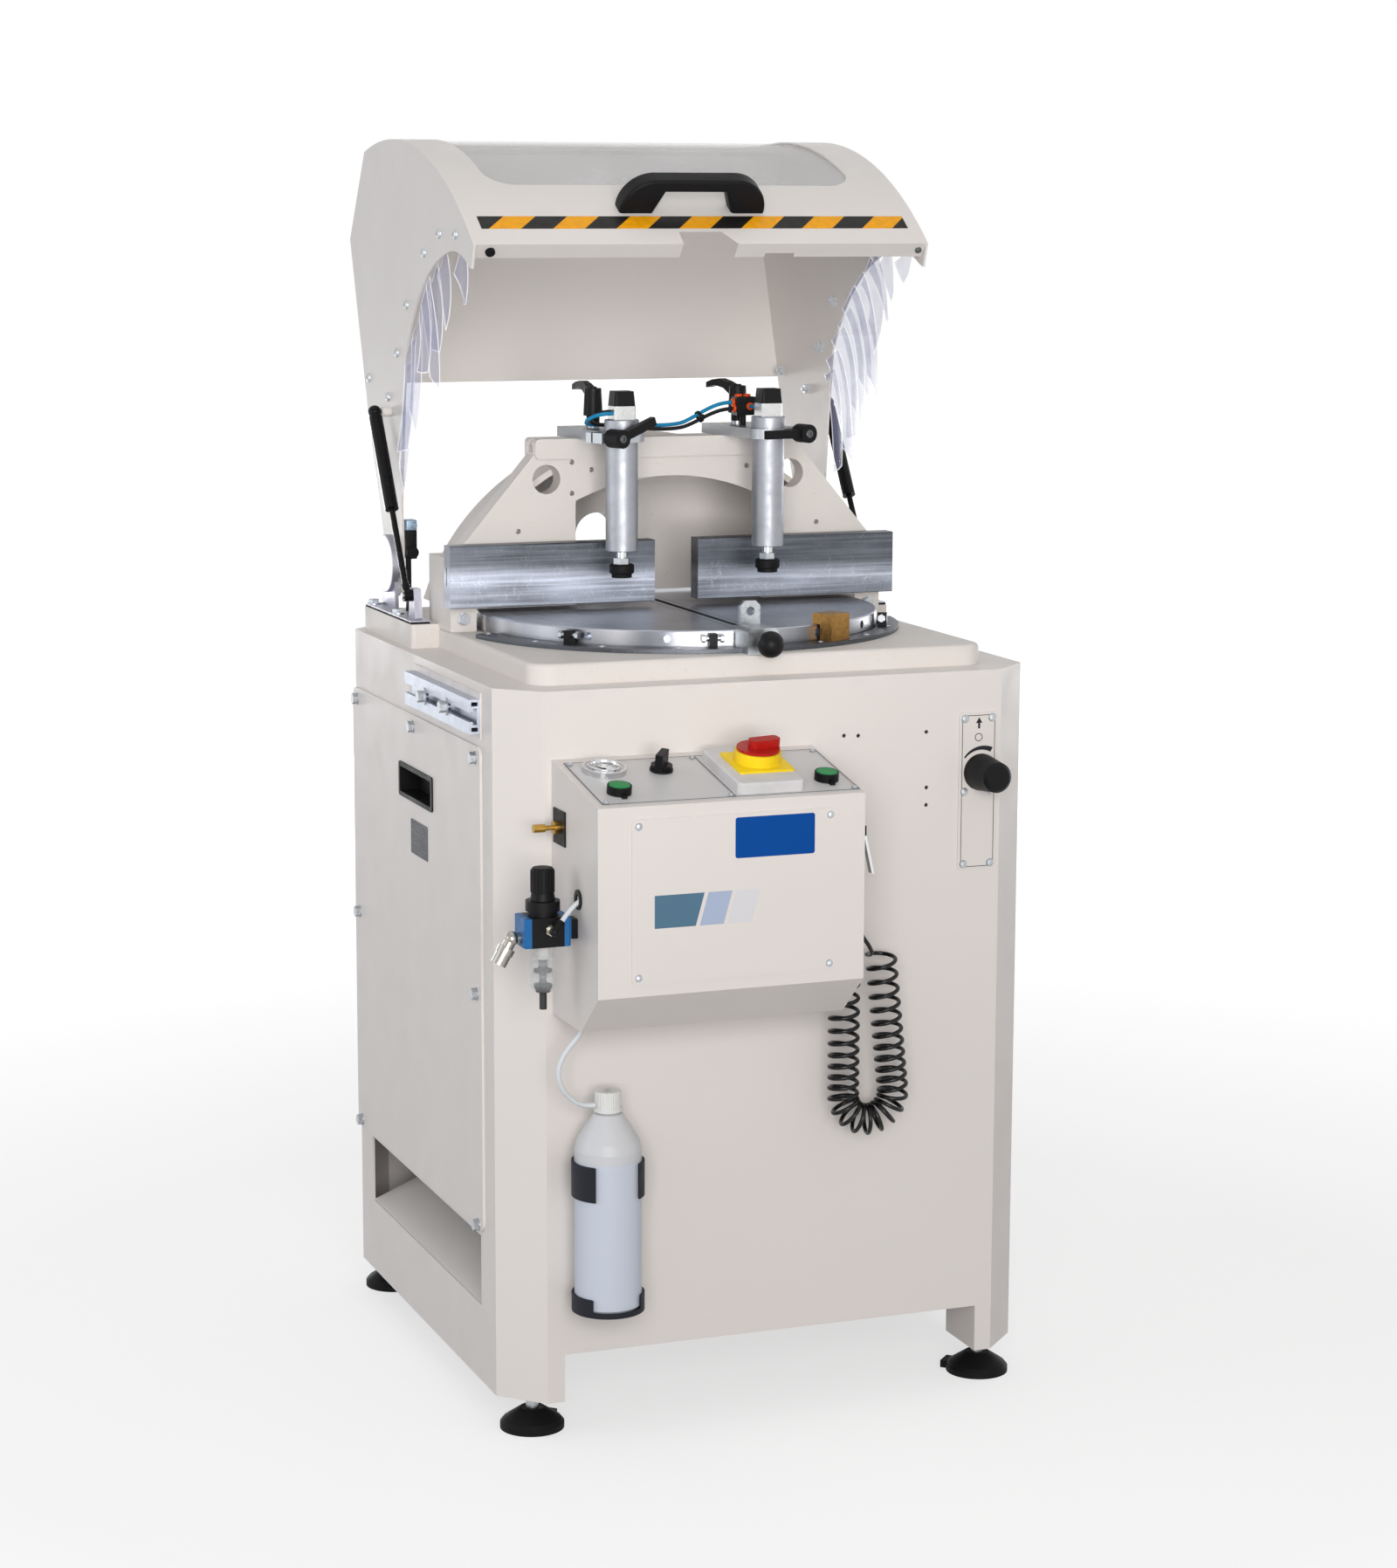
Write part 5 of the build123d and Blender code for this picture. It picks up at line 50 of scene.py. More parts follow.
camera_data = bpy.data.cameras.new("camera")
camera_data.lens = LENS
camera_data.sensor_width = 36.0
camera_data.clip_end = 60.0
camera = bpy.data.objects.new("camera", camera_data)
stage.collection.objects.link(camera)
look = (AIM - EYE).to_track_quat("-Z", "Y").to_matrix() @ Matrix.Rotation(ROLL, 3, "Z")
camera.matrix_world = Matrix.Translation(EYE) @ look.to_4x4()
stage.camera = camera


# Materials: each is a small node graph over object coordinates, which are metres in the shared frame
def rgb(text):
    """Linear colour from a six-digit display colour."""
    parts = [int(text[i:i + 2], 16) / 255 for i in (0, 2, 4)]
    return tuple(c / 12.92 if c <= 0.04045 else ((c + 0.055) / 1.055) ** 2.4 for c in parts) + (1.0,)


def shade(colour, factor):
    return tuple(min(1.0, c * factor) for c in colour[:3]) + (1.0,)


def add(tree, kind, **settings):
    """New shader node with its settings."""
    node = tree.nodes.new("ShaderNode" + kind)
    for key, value in settings.items():
        setattr(node, key, value)
    return node


class Graph:
    """One material under construction."""

    def __init__(self, name):
        self.material = bpy.data.materials.new(name)
        self.material.use_nodes = True
        self.tree = self.material.node_tree
        self.tree.nodes.clear()
        self.surface = add(self.tree, "BsdfPrincipled")
        self.tree.links.new(self.surface.outputs[0], add(self.tree, "OutputMaterial").inputs[0])
        self.where = add(self.tree, "TexCoord").outputs["Object"]

    def put(self, socket, value):
        if isinstance(value, bpy.types.NodeSocket):
            self.tree.links.new(value, socket)
        else:
            socket.default_value = value

    def set(self, **values):
        for key, value in values.items():
            self.put(self.surface.inputs[key.replace("_", " ")], value)

    def node(self, kind, *values, **settings):
        """New node with values or links on its first inputs."""
        node = add(self.tree, kind, **settings)
        for socket, value in zip(node.inputs, values):
            self.put(socket, value)
        return node

    def math(self, operation, a, b=0.0):
        return self.node("Math", a, b, operation=operation).outputs[0]

    def vector(self, operation, a, b=(0.0, 0.0, 0.0), output="Vector"):
        return self.node("VectorMath", a, b, operation=operation).outputs[output]

    def axes(self, vector):
        return self.node("SeparateXYZ", vector).outputs

    def noise(self, scale, detail=2.0, stretch=None):
        place = self.vector("MULTIPLY", self.where, stretch) if stretch else self.where
        return self.tuned(self.node("TexNoise", place), scale, detail)

    def noise_along(self, value, scale, detail=2.0):
        node = self.node("TexNoise", noise_dimensions="1D")
        self.put(node.inputs["W"], value)
        return self.tuned(node, scale, detail)

    def tuned(self, node, scale, detail):
        node.inputs["Scale"].default_value = scale
        node.inputs["Detail"].default_value = detail
        return node.outputs[0]

    def span(self, value, low, high, to_low, to_high):
        return self.node("MapRange", value, low, high, to_low, to_high).outputs[0]

    def mix(self, share, a, b):
        node = self.node("Mix", share, data_type="RGBA")
        self.put(node.inputs[6], a)
        self.put(node.inputs[7], b)
        return node.outputs[2]

    def blend(self, share, a, b):
        node = self.node("Mix", share)
        self.put(node.inputs[2], a)
        self.put(node.inputs[3], b)
        return node.outputs[0]

    def bump(self, height, strength, distance):
        node = self.node("Bump")
        node.inputs["Strength"].default_value = strength
        node.inputs["Distance"].default_value = distance
        self.put(node.inputs["Height"], height)
        self.put(self.surface.inputs["Normal"], node.outputs[0])

    def inside(self, *boxes):
        """One in any of the boxes, whose corners are in millimetres, and zero elsewhere."""
        total = None
        for low, high in boxes:
            middle = [(a + b) / 2 * MM for a, b in zip(low, high)]
            half = [(b - a) / 2 * MM for a, b in zip(low, high)]
            away = self.vector("ABSOLUTE", self.vector("SUBTRACT", self.where, middle))
            x, y, z = self.axes(self.vector("SUBTRACT", away, half))
            mask = self.math("LESS_THAN", self.math("MAXIMUM", self.math("MAXIMUM", x, y), z), 0.0)
            total = mask if total is None else self.math("MAXIMUM", total, mask)
        return total


def scaled(graph, colour, factor):
    """Colour times a factor that varies over the surface."""
    plain = colour if isinstance(colour, bpy.types.NodeSocket) else colour[:3]
    node = graph.node("VectorMath", plain, operation="SCALE")
    graph.put(node.inputs["Scale"], factor)
    return node.outputs[0]


def layered(graph, base, zones, spread=0.08):
    """Colour, roughness and metal of a base look with other looks in zones, all gently uneven."""
    colour, rough, metallic = base
    for mask, (zone_colour, zone_rough, zone_metallic) in zones:
        colour = graph.mix(mask, colour, zone_colour)
        rough = graph.blend(mask, rough, zone_rough)
        metallic = graph.blend(mask, metallic, zone_metallic)
    uneven = graph.noise(26.0, 3.0)
    tint = graph.span(uneven, 0.3, 0.7, 1.0 - spread, 1.0 + spread / 2)
    patchy = graph.span(graph.noise(90.0, 2.0), 0.3, 0.7, 0.82, 1.2)
    graph.set(Base_Color=scaled(graph, colour, tint))
    graph.set(Roughness=graph.math("MULTIPLY", rough, patchy))
    graph.set(Metallic=metallic, Specular_IOR_Level=0.15)


def paint(name, colour, rough=0.42, peel=0.06, speck=0.0, coarse=900.0):
    """Powder or cast paint: orange peel, faint blotches and, on castings, small dark specks."""
    graph = Graph(name)
    tone = graph.mix(graph.noise(3.5, 4.0), shade(colour, 0.965), shade(colour, 1.02))
    if speck:
        dots = graph.span(graph.noise(150.0, 4.0), 0.64, 0.72, 0.0, speck)
        tone = graph.mix(dots, tone, shade(colour, 0.45))
    graph.set(Base_Color=tone)
    graph.set(Roughness=graph.span(graph.noise(20.0, 3.0), 0.3, 0.7, rough - 0.06, rough + 0.08))
    graph.set(Specular_IOR_Level=0.35)
    graph.bump(graph.noise(coarse, 2.0), peel, 0.0006)
    return graph.material


def metal(name, colour, rough=0.32, stretch=(1.0, 1.0, 1.0), scale=500.0, depth=0.08, spread=0.1,
          metallic=1.0):
    """Metal with brushed or rolled grain along the axis whose stretch is small."""
    graph = Graph(name)
    grain = graph.noise(scale, 3.0, stretch)
    stain = graph.noise(14.0, 4.0)
    tone = graph.mix(graph.span(stain, 0.35, 0.7, 0.0, 1.0), colour, shade(colour, 1.0 - spread))
    graph.set(Base_Color=scaled(graph, tone, graph.span(grain, 0.3, 0.7, 1.0 - spread, 1.0 + spread)))
    graph.set(Roughness=graph.span(grain, 0.25, 0.75, rough * 0.75, rough * 1.35))
    graph.set(Metallic=metallic)
    graph.bump(grain, depth, 0.0003)
    return graph.material


def plastic(name, colour, rough=0.45, grain=0.12, scale=1400.0, spread=0.12, gloss=0.14):
    """Moulded plastic or rubber with a fine eroded surface and handled patches."""
    graph = Graph(name)
    worn = graph.noise(30.0, 4.0)
    graph.set(Base_Color=graph.mix(worn, shade(colour, 1.0 - spread), shade(colour, 1.0 + spread)))
    graph.set(Roughness=graph.span(worn, 0.3, 0.7, rough - 0.07, rough + 0.1), Specular_IOR_Level=gloss)
    graph.bump(graph.noise(scale, 2.0), grain, 0.0003)
    return graph.material


def clear(name, colour, alpha, rough=0.08, haze=0.1):
    """Clear sheet: see-through with faint haze and fine scratches."""
    graph = Graph(name)
    dust = graph.noise(9.0, 5.0)
    scratch = graph.noise(220.0, 2.0, (1.0, 0.06, 1.0))
    graph.set(Base_Color=graph.mix(dust, colour, shade(colour, 0.94)))
    graph.set(Roughness=graph.span(scratch, 0.3, 0.7, rough, rough * 2.4))
    graph.set(Alpha=graph.span(dust, 0.3, 0.75, alpha, alpha + haze))
    graph.set(IOR=1.49)
    return graph.material


WHITE = rgb("E1DBD7")
BLACK = (rgb("101012"), 0.42, 0.0)
RUBBER = (rgb("0E0E10"), 0.62, 0.0)
ZINC = (rgb("B6BABE"), 0.34, 1.0)
NICKEL = (rgb("A09D95"), 0.26, 1.0)
BRASS = (rgb("B58F45"), 0.3, 1.0)
CHROME = (rgb("D5D6D8"), 0.12, 1.0)
ALU = (rgb("A3A5AB"), 0.48, 0.85)
RAIL = (rgb("B9BFCB"), 0.4, 1.0)
GREY = (rgb("D3D1D2"), 0.5, 0.0)
YELLOW = (rgb("F6D524"), 0.4, 0.0)

paint_body = paint("cabinet_paint", WHITE)
paint_hood = paint("hood_paint", rgb("E0DBD7"), rough=0.38, peel=0.04)
paint_box = paint("box_paint", rgb("DFD9D5"), rough=0.4, peel=0.04)
paint_cast = paint("casting_paint", rgb("DED8D3"), rough=0.5, peel=0.22, speck=0.12, coarse=420.0)
zinc = metal("zinc", ZINC[0], 0.34, scale=260.0)
steel_dark = metal("dark_steel", rgb("5E6062"), 0.42, scale=320.0, metallic=0.85)
steel_saw = metal("blade_steel", rgb("B4B6B8"), 0.28)
alu_satin = metal("satin_alu", ALU[0], 0.34, stretch=(1.0, 1.0, 0.06), scale=700.0, depth=0.05)
bronze = metal("bronze", rgb("9A7440"), 0.36, scale=200.0, spread=0.2)
black_plastic = plastic("black_plastic", BLACK[0])
black_rubber = plastic("black_rubber", RUBBER[0], 0.62, 0.2, 900.0)
navy_plastic = plastic("navy_plastic", rgb("23252C"), 0.5, 0.16)
strut_black = plastic("strut_black", rgb("0E0E0F"), 0.26, 0.03)
red_plastic = plastic("red_plastic", rgb("B01B14"), 0.3, 0.04, spread=0.06, gloss=0.2)
green_plastic = plastic("green_plastic", rgb("038A45"), 0.3, 0.04, spread=0.06, gloss=0.15)
clear_hood = clear("hood_clear", rgb("F4F5F7"), 0.27)
chrome = metal("chrome", CHROME[0], 0.12, depth=0.01, spread=0.03)


def dress(material, *names):
    for name in names:
        for slot in nodes[name].material_slots:
            slot.material = material


def zoned(name, base, zones, bumpy=0.06, scale=900.0):
    """Material of a node with several finishes; zones is a function from the graph to (mask, look) pairs."""
    graph = Graph(name)
    layered(graph, base, zones(graph))
    graph.bump(graph.noise(scale, 2.0), bumpy, 0.0004)
    return graph.material


dress(paint_body, "cabinet_shell", "side_cover")
dress(paint_box, "control_box", "cover_plates")
dress(paint_cast, "base_casting", "bridge_casting")
dress(paint_hood, "hood_shell")
dress(zinc, "zinc_fasteners", "index_tab")
dress(steel_dark, "saw_hanger")
dress(metal("ring_steel", rgb("5C5F64"), 0.4, scale=300.0), "turntable_ring")
dress(black_plastic, "recessed_pull", "hood_handle", "selector_knob", "speed_knob", "regulator_knob",
      "collar_lever_left", "collar_lever_right")
dress(black_rubber, "foot_pads", "drive_belt")
dress(navy_plastic, "bottle_holder")
dress(strut_black, "strut_tubes", "strut_rods")
dress(red_plastic, "switch_handle")
dress(green_plastic, "button_left", "button_right")
dress(clear_hood, "hood_window")
dress(chrome, "blow_gun_lever", "lift_rod")
dress(bronze, "bronze_clamp")
dress(steel_saw, "saw_blade", "spindle", "motor_pulley")
dress(alu_satin, "lift_cylinder")
dress(paint("motor_paint", rgb("4C5660"), 0.45, 0.12), "motor", "saw_arm")

# Nodes with several finishes: each zone is a box between two corners in millimetres
SIDE = 350.0
RAIL_BACKS = (((-SIDE - 2.1, -400, 0), (-SIDE + 5, 400, 1000)), ((SIDE - 5, -400, 0), (SIDE + 2.1, 400, 1000)))
INDEX_BLOCK = ((-24, -312, 950), (20, -262, 990))
LEVER_STUDS = ((-400, 0, 1100), (400, 100, 1215.2))
KNOB_SHANK = ((-20, -314, 940), (20, -200, 1000))
CYLINDER_NUTS = ((-400, -200, 1226.2), (400, 200, 1243.2))
CYLINDER_HEADS = ((-400, -200, 1243.2), (400, 200, 1300))
ROD_PADS = ((-400, -200, 900), (400, 200, 1041.3))
ROD_NUTS = ((-400, -200, 1041.3), (400, 200, 1050.2))
HINGE_GASKETS = ((-400, 0, 950), (400, 400, 960.6))
GAUGE_BEZEL = ((-272, -440, 800), (-214, -370, 870))
REGULATOR_ENDS = (((-365, -480, 641), (-352, -400, 677)), ((-312, -480, 641), (-300, -400, 677)))
AIR_COUPLER = ((-430, -480, 560), (-359, -400, 680))
TUBE_ELBOW = ((-345, -472, 640), (-318, -455, 690))
BRASS_VALVE = ((-330, -430, 745), (-294.2, -350, 795))
HOSE_UNION = ((43, -410, 600), (60, -380, 640))
GUN_NOZZLE = ((40, -460, 757), (100, -400, 800))
BOWL_FOOT = ((-360, -470, 500), (-300, -410, 584))

dress(zoned("rails", RAIL, lambda g: [(g.inside(*RAIL_BACKS), (WHITE, 0.42, 0.0))]), "roller_rails")
STOP_ANGLES = (-140.0, -101.0, -30.0)
STOP_RADIUS, STOP_HEIGHT, STOP_HALF, STOP_REACH = 270.4, 969.5, 5.2, 30.0


def stop_bolts(graph):
    """One on the bolts that stand out of the stop blocks' sides."""
    total = 0.0
    for degrees in STOP_ANGLES:
        a = math.radians(degrees)
        middle = (STOP_RADIUS * math.cos(a) * MM, STOP_RADIUS * math.sin(a) * MM, STOP_HEIGHT * MM)
        moved = graph.vector("SUBTRACT", graph.where, middle)
        near = graph.math("LESS_THAN", graph.vector("LENGTH", moved, output="Value"), STOP_REACH * MM)
        aside = graph.vector("DOT_PRODUCT", moved, (-math.sin(a), math.cos(a), 0.0), output="Value")
        beyond = graph.math("GREATER_THAN", graph.math("ABSOLUTE", aside), STOP_HALF * MM)
        total = graph.math("MAXIMUM", total, graph.math("MULTIPLY", near, beyond))
    return total


dress(zoned("stops", BLACK, lambda g: [(g.inside(INDEX_BLOCK), ZINC), (stop_bolts(g), ZINC)]), "table_stops")
dress(zoned("arm_levers", BLACK, lambda g: [(g.inside(LEVER_STUDS), ZINC)]),
      "arm_lever_left", "arm_lever_right")
dress(zoned("index_knob", BLACK, lambda g: [(g.inside(KNOB_SHANK), ZINC)]), "index_knob")
dress(zoned("arms", ZINC, lambda g: [], 0.05, 300.0), "clamp_arms")
dress(zoned("cylinders", ALU, lambda g: [(g.inside(CYLINDER_NUTS), (rgb("D2D3D2"), 0.28, 0.9)),
                                         (g.inside(CYLINDER_HEADS), BLACK)], 0.04), "clamp_cylinders")
dress(zoned("rods", CHROME, lambda g: [(g.inside(ROD_PADS), RUBBER), (g.inside(ROD_NUTS), ZINC)], 0.05),
      "clamp_rod_left", "clamp_rod_right")

# Fences: drawn aluminium with streaks along it, clouds and a few scratches, and painted reflection: a bright
# band low down with darker face above it; the right fence gets painted shade
BAND_BOTTOM, BAND_TOP = (0.995, 1.0175), (1.0185, 1.036)
BAND_SLOPE, BAND_WAVE = 0.02, 0.008
RIGHT_HALF = (-0.05, 0.05)
fence = Graph("fence_alu")
streak = fence.noise(240.0, 3.0, (0.02, 1.0, 1.0))
fine = fence.noise(1500.0, 2.0, (0.03, 1.0, 1.0))
cloud = fence.noise(16.0, 4.0, (0.5, 1.0, 1.6))
vein = fence.noise(60.0, 2.0, (1.0, 1.0, 0.5))
scratch = fence.math("MULTIPLY", fence.span(vein, 0.495, 0.505, 0.0, 1.0),
                     fence.span(vein, 0.5, 0.51, 1.0, 0.0))
fence_tone = fence.mix(fence.span(cloud, 0.34, 0.68, 0.0, 1.0), rgb("64686F"), rgb("888D98"))
fence_tone = fence.mix(fence.span(streak, 0.45, 0.66, 0.0, 0.6), fence_tone, rgb("9CA0AA"))
fence_tone = fence.mix(fence.math("MULTIPLY", scratch, 0.3), fence_tone, rgb("C9CFD8"))
fence_x, _, fence_z = fence.axes(fence.where)
# Painted shade: the right fence's colour is darkened to 0.8 of the left's
right_fence_shade = fence.span(fence_x, *RIGHT_HALF, 1.0, 0.8)
# Painted reflection: by height along a slightly sloping, wavy line, a bright band across the lower half, darker
# face above it and a less bright foot
height = fence.math("ADD", fence_z, fence.math("MULTIPLY", fence_x, BAND_SLOPE))
height = fence.math("ADD", height, fence.math("MULTIPLY", fence.math("SUBTRACT", cloud, 0.5), BAND_WAVE))
painted_reflection = fence.math("MULTIPLY", fence.span(height, *BAND_TOP, 2.2, 0.62),
                    fence.span(height, *BAND_BOTTOM, 0.68, 1.0))
fence_tone = scaled(fence, fence_tone, fence.math("MULTIPLY", right_fence_shade, painted_reflection))
fence.set(Base_Color=scaled(fence, fence_tone, fence.span(fine, 0.3, 0.7, 0.92, 1.06)))
fence.set(Roughness=fence.span(streak, 0.3, 0.7, 0.32, 0.46))
fence.set(Metallic=1.0)
fence.bump(fine, 0.08, 0.0002)
dress(fence.material, "fences")

# Turntable: turned face with a bright rim and a let-in strip on each side of the blade slot
RIM_RADIUS = 0.2604
SLOT_LINE, LINE_HALF = 0.0135, 0.0007
table = Graph("turntable_steel")
table_x, table_y, table_z = table.axes(table.where)
table_r = table.vector("LENGTH", table.vector("MULTIPLY", table.where, (1.0, 1.0, 0.0)), output="Value")
around = table.math("ARCTAN2", table_y, table_x)
rim = table.math("GREATER_THAN", table_r, RIM_RADIUS)
rings = table.noise_along(table.blend(rim, table_r, table_z), 1300.0, 3.0)
rim_patch = table.noise_along(around, 2.1, 1.5)
wear = table.noise(9.0, 5.0)
face_tone = table.mix(table.span(wear, 0.36, 0.68, 0.0, 1.0), rgb("B8BCC4"), rgb("9C9FA8"))
aside = table.math("ABSOLUTE", table_x)
beside = table.math("LESS_THAN", aside, SLOT_LINE)
face_tone = table.mix(table.math("MULTIPLY", beside, 0.5), face_tone, rgb("A5A8AE"))
off_line = table.math("ABSOLUTE", table.math("SUBTRACT", aside, SLOT_LINE))
groove = table.math("LESS_THAN", off_line, LINE_HALF)
face_tone = table.mix(table.math("MULTIPLY", groove, 0.85), face_tone, rgb("2E3034"))
rim_tone = table.mix(table.span(rim_patch, 0.4, 0.62, 0.0, 1.0), rgb("6B6D74"), rgb("D0D1D6"))
table_tone = table.mix(rim, face_tone, rim_tone)
table.set(Base_Color=scaled(table, table_tone, table.span(rings, 0.3, 0.7, 0.92, 1.06)))
table.set(Roughness=table.span(rings, 0.25, 0.75, 0.24, 0.4))
table.set(Metallic=1.0)
table.bump(rings, 0.1, 0.0002)
dress(table.material, "turntable_disc")

# Hinge plates: turned discs and zinc plates on a dark gasket
HINGE = (256.0, 1020.0)
hinge = Graph("hinge_zinc")
hinge_out = hinge.vector("SUBTRACT", hinge.where, (0.0, HINGE[0] * MM, HINGE[1] * MM))
hinge_out = hinge.vector("MULTIPLY", hinge_out, (0.0, 1.0, 1.0))
hinge_lines = hinge.noise_along(hinge.vector("LENGTH", hinge_out, output="Value"), 900.0, 3.0)
layered(hinge, (rgb("B4B4BF"), 0.36, 1.0), [(hinge.inside(HINGE_GASKETS), RUBBER)], 0.1)
hinge.bump(hinge_lines, 0.15, 0.0003)
dress(hinge.material, "hinge_brackets")

PANEL_COS, PANEL_SIN = 0.98212, 0.18819
PANEL_BACK = (-355.0, 845.0)
SWITCH_HEIGHT = 14.1


def above_panel(graph, height):
    """One where a point is higher than height above the sloping panel."""
    reach = graph.vector("DOT_PRODUCT", graph.where, (0.0, -PANEL_SIN, PANEL_COS), output="Value")
    zero = (PANEL_SIN * -PANEL_BACK[0] + PANEL_COS * PANEL_BACK[1]) * MM
    return graph.math("GREATER_THAN", reach, zero + height * MM)


dress(clear("panel_clear", rgb("F4F6F6"), 0.02, 0.05, 0.03), "panel_glass")
dress(zoned("switch_base", GREY, lambda g: [(above_panel(g, SWITCH_HEIGHT), YELLOW)]), "switch_base")
dress(zoned("panel_fittings", BLACK, lambda g: [(g.inside(GAUGE_BEZEL), CHROME)], 0.03), "panel_fittings")
dress(zoned("regulator", BLACK, lambda g: [(g.inside(*REGULATOR_ENDS), (rgb("2769A4"), 0.4, 0.0))]),
      "regulator_body")
dress(zoned("fittings", BLACK, lambda g: [(g.inside(AIR_COUPLER, TUBE_ELBOW, HOSE_UNION), NICKEL),
                                          (g.inside(BRASS_VALVE), BRASS)], 0.03), "air_fittings")
dress(zoned("blow_gun", BLACK, lambda g: [(g.inside(GUN_NOZZLE), NICKEL)]), "blow_gun")

# Regulator bowl and rinse bottle: clear and milky plastic
bowl = Graph("regulator_bowl")
bowl_haze = bowl.noise(60.0, 3.0)
base_end = bowl.inside(BOWL_FOOT)
bowl.set(Base_Color=bowl.mix(base_end, rgb("E4E8EA"), rgb("1E1F21")))
bowl.set(Roughness=bowl.span(bowl_haze, 0.3, 0.7, 0.08, 0.2))
bowl.set(Alpha=bowl.math("MAXIMUM", base_end, bowl.span(bowl_haze, 0.3, 0.7, 0.12, 0.2)))
dress(bowl.material, "regulator_bowl")

CAP_START, FLUID_TOP, CAP_RIBS = 0.4205, 0.362, 40.0
BOTTLE_AXIS = (-0.237, -0.3997, 0.0)
bottle = Graph("bottle")
bottle_z = bottle.axes(bottle.where)[2]
cap = bottle.math("GREATER_THAN", bottle_z, CAP_START)
fluid = bottle.math("LESS_THAN", bottle_z, FLUID_TOP)
bottle_x, bottle_y, _ = bottle.axes(bottle.vector("SUBTRACT", bottle.where, BOTTLE_AXIS))
ribs = bottle.math("SINE", bottle.math("MULTIPLY", bottle.math("ARCTAN2", bottle_y, bottle_x), CAP_RIBS))
body_tone = bottle.mix(fluid, rgb("E8E9EC"), rgb("D6DDEA"))
bottle.set(Base_Color=bottle.mix(cap, body_tone, rgb("ECECEA")))
bottle.set(Roughness=bottle.span(bottle.noise(40.0, 3.0), 0.3, 0.7, 0.28, 0.42))
bottle.set(Alpha=bottle.math("MAXIMUM", cap, bottle.blend(fluid, 0.62, 0.8)))
bottle.bump(bottle.math("MULTIPLY", bottle.math("MULTIPLY", ribs, cap), 0.5), 0.9, 0.0008)
dress(bottle.material, "rinse_bottle")


# Mesh building in millimetres
def place(at, axis):
    """Matrix with its origin at a point and its Z along axis."""
    z = Vector(axis).normalized()
    x = Vector((0, 0, 1)).cross(z)
    if x.length < 1e-6:
        x = Vector((1, 0, 0))
    x.normalize()
    matrix = Matrix((x, z.cross(x), z)).transposed().to_4x4()
    matrix.translation = Vector(at)
    return matrix


def polar(x, y, radius, degrees):
    """Point on a circle round (x, y)."""
    a = math.radians(degrees)
    return x + radius * math.cos(a), y + radius * math.sin(a)


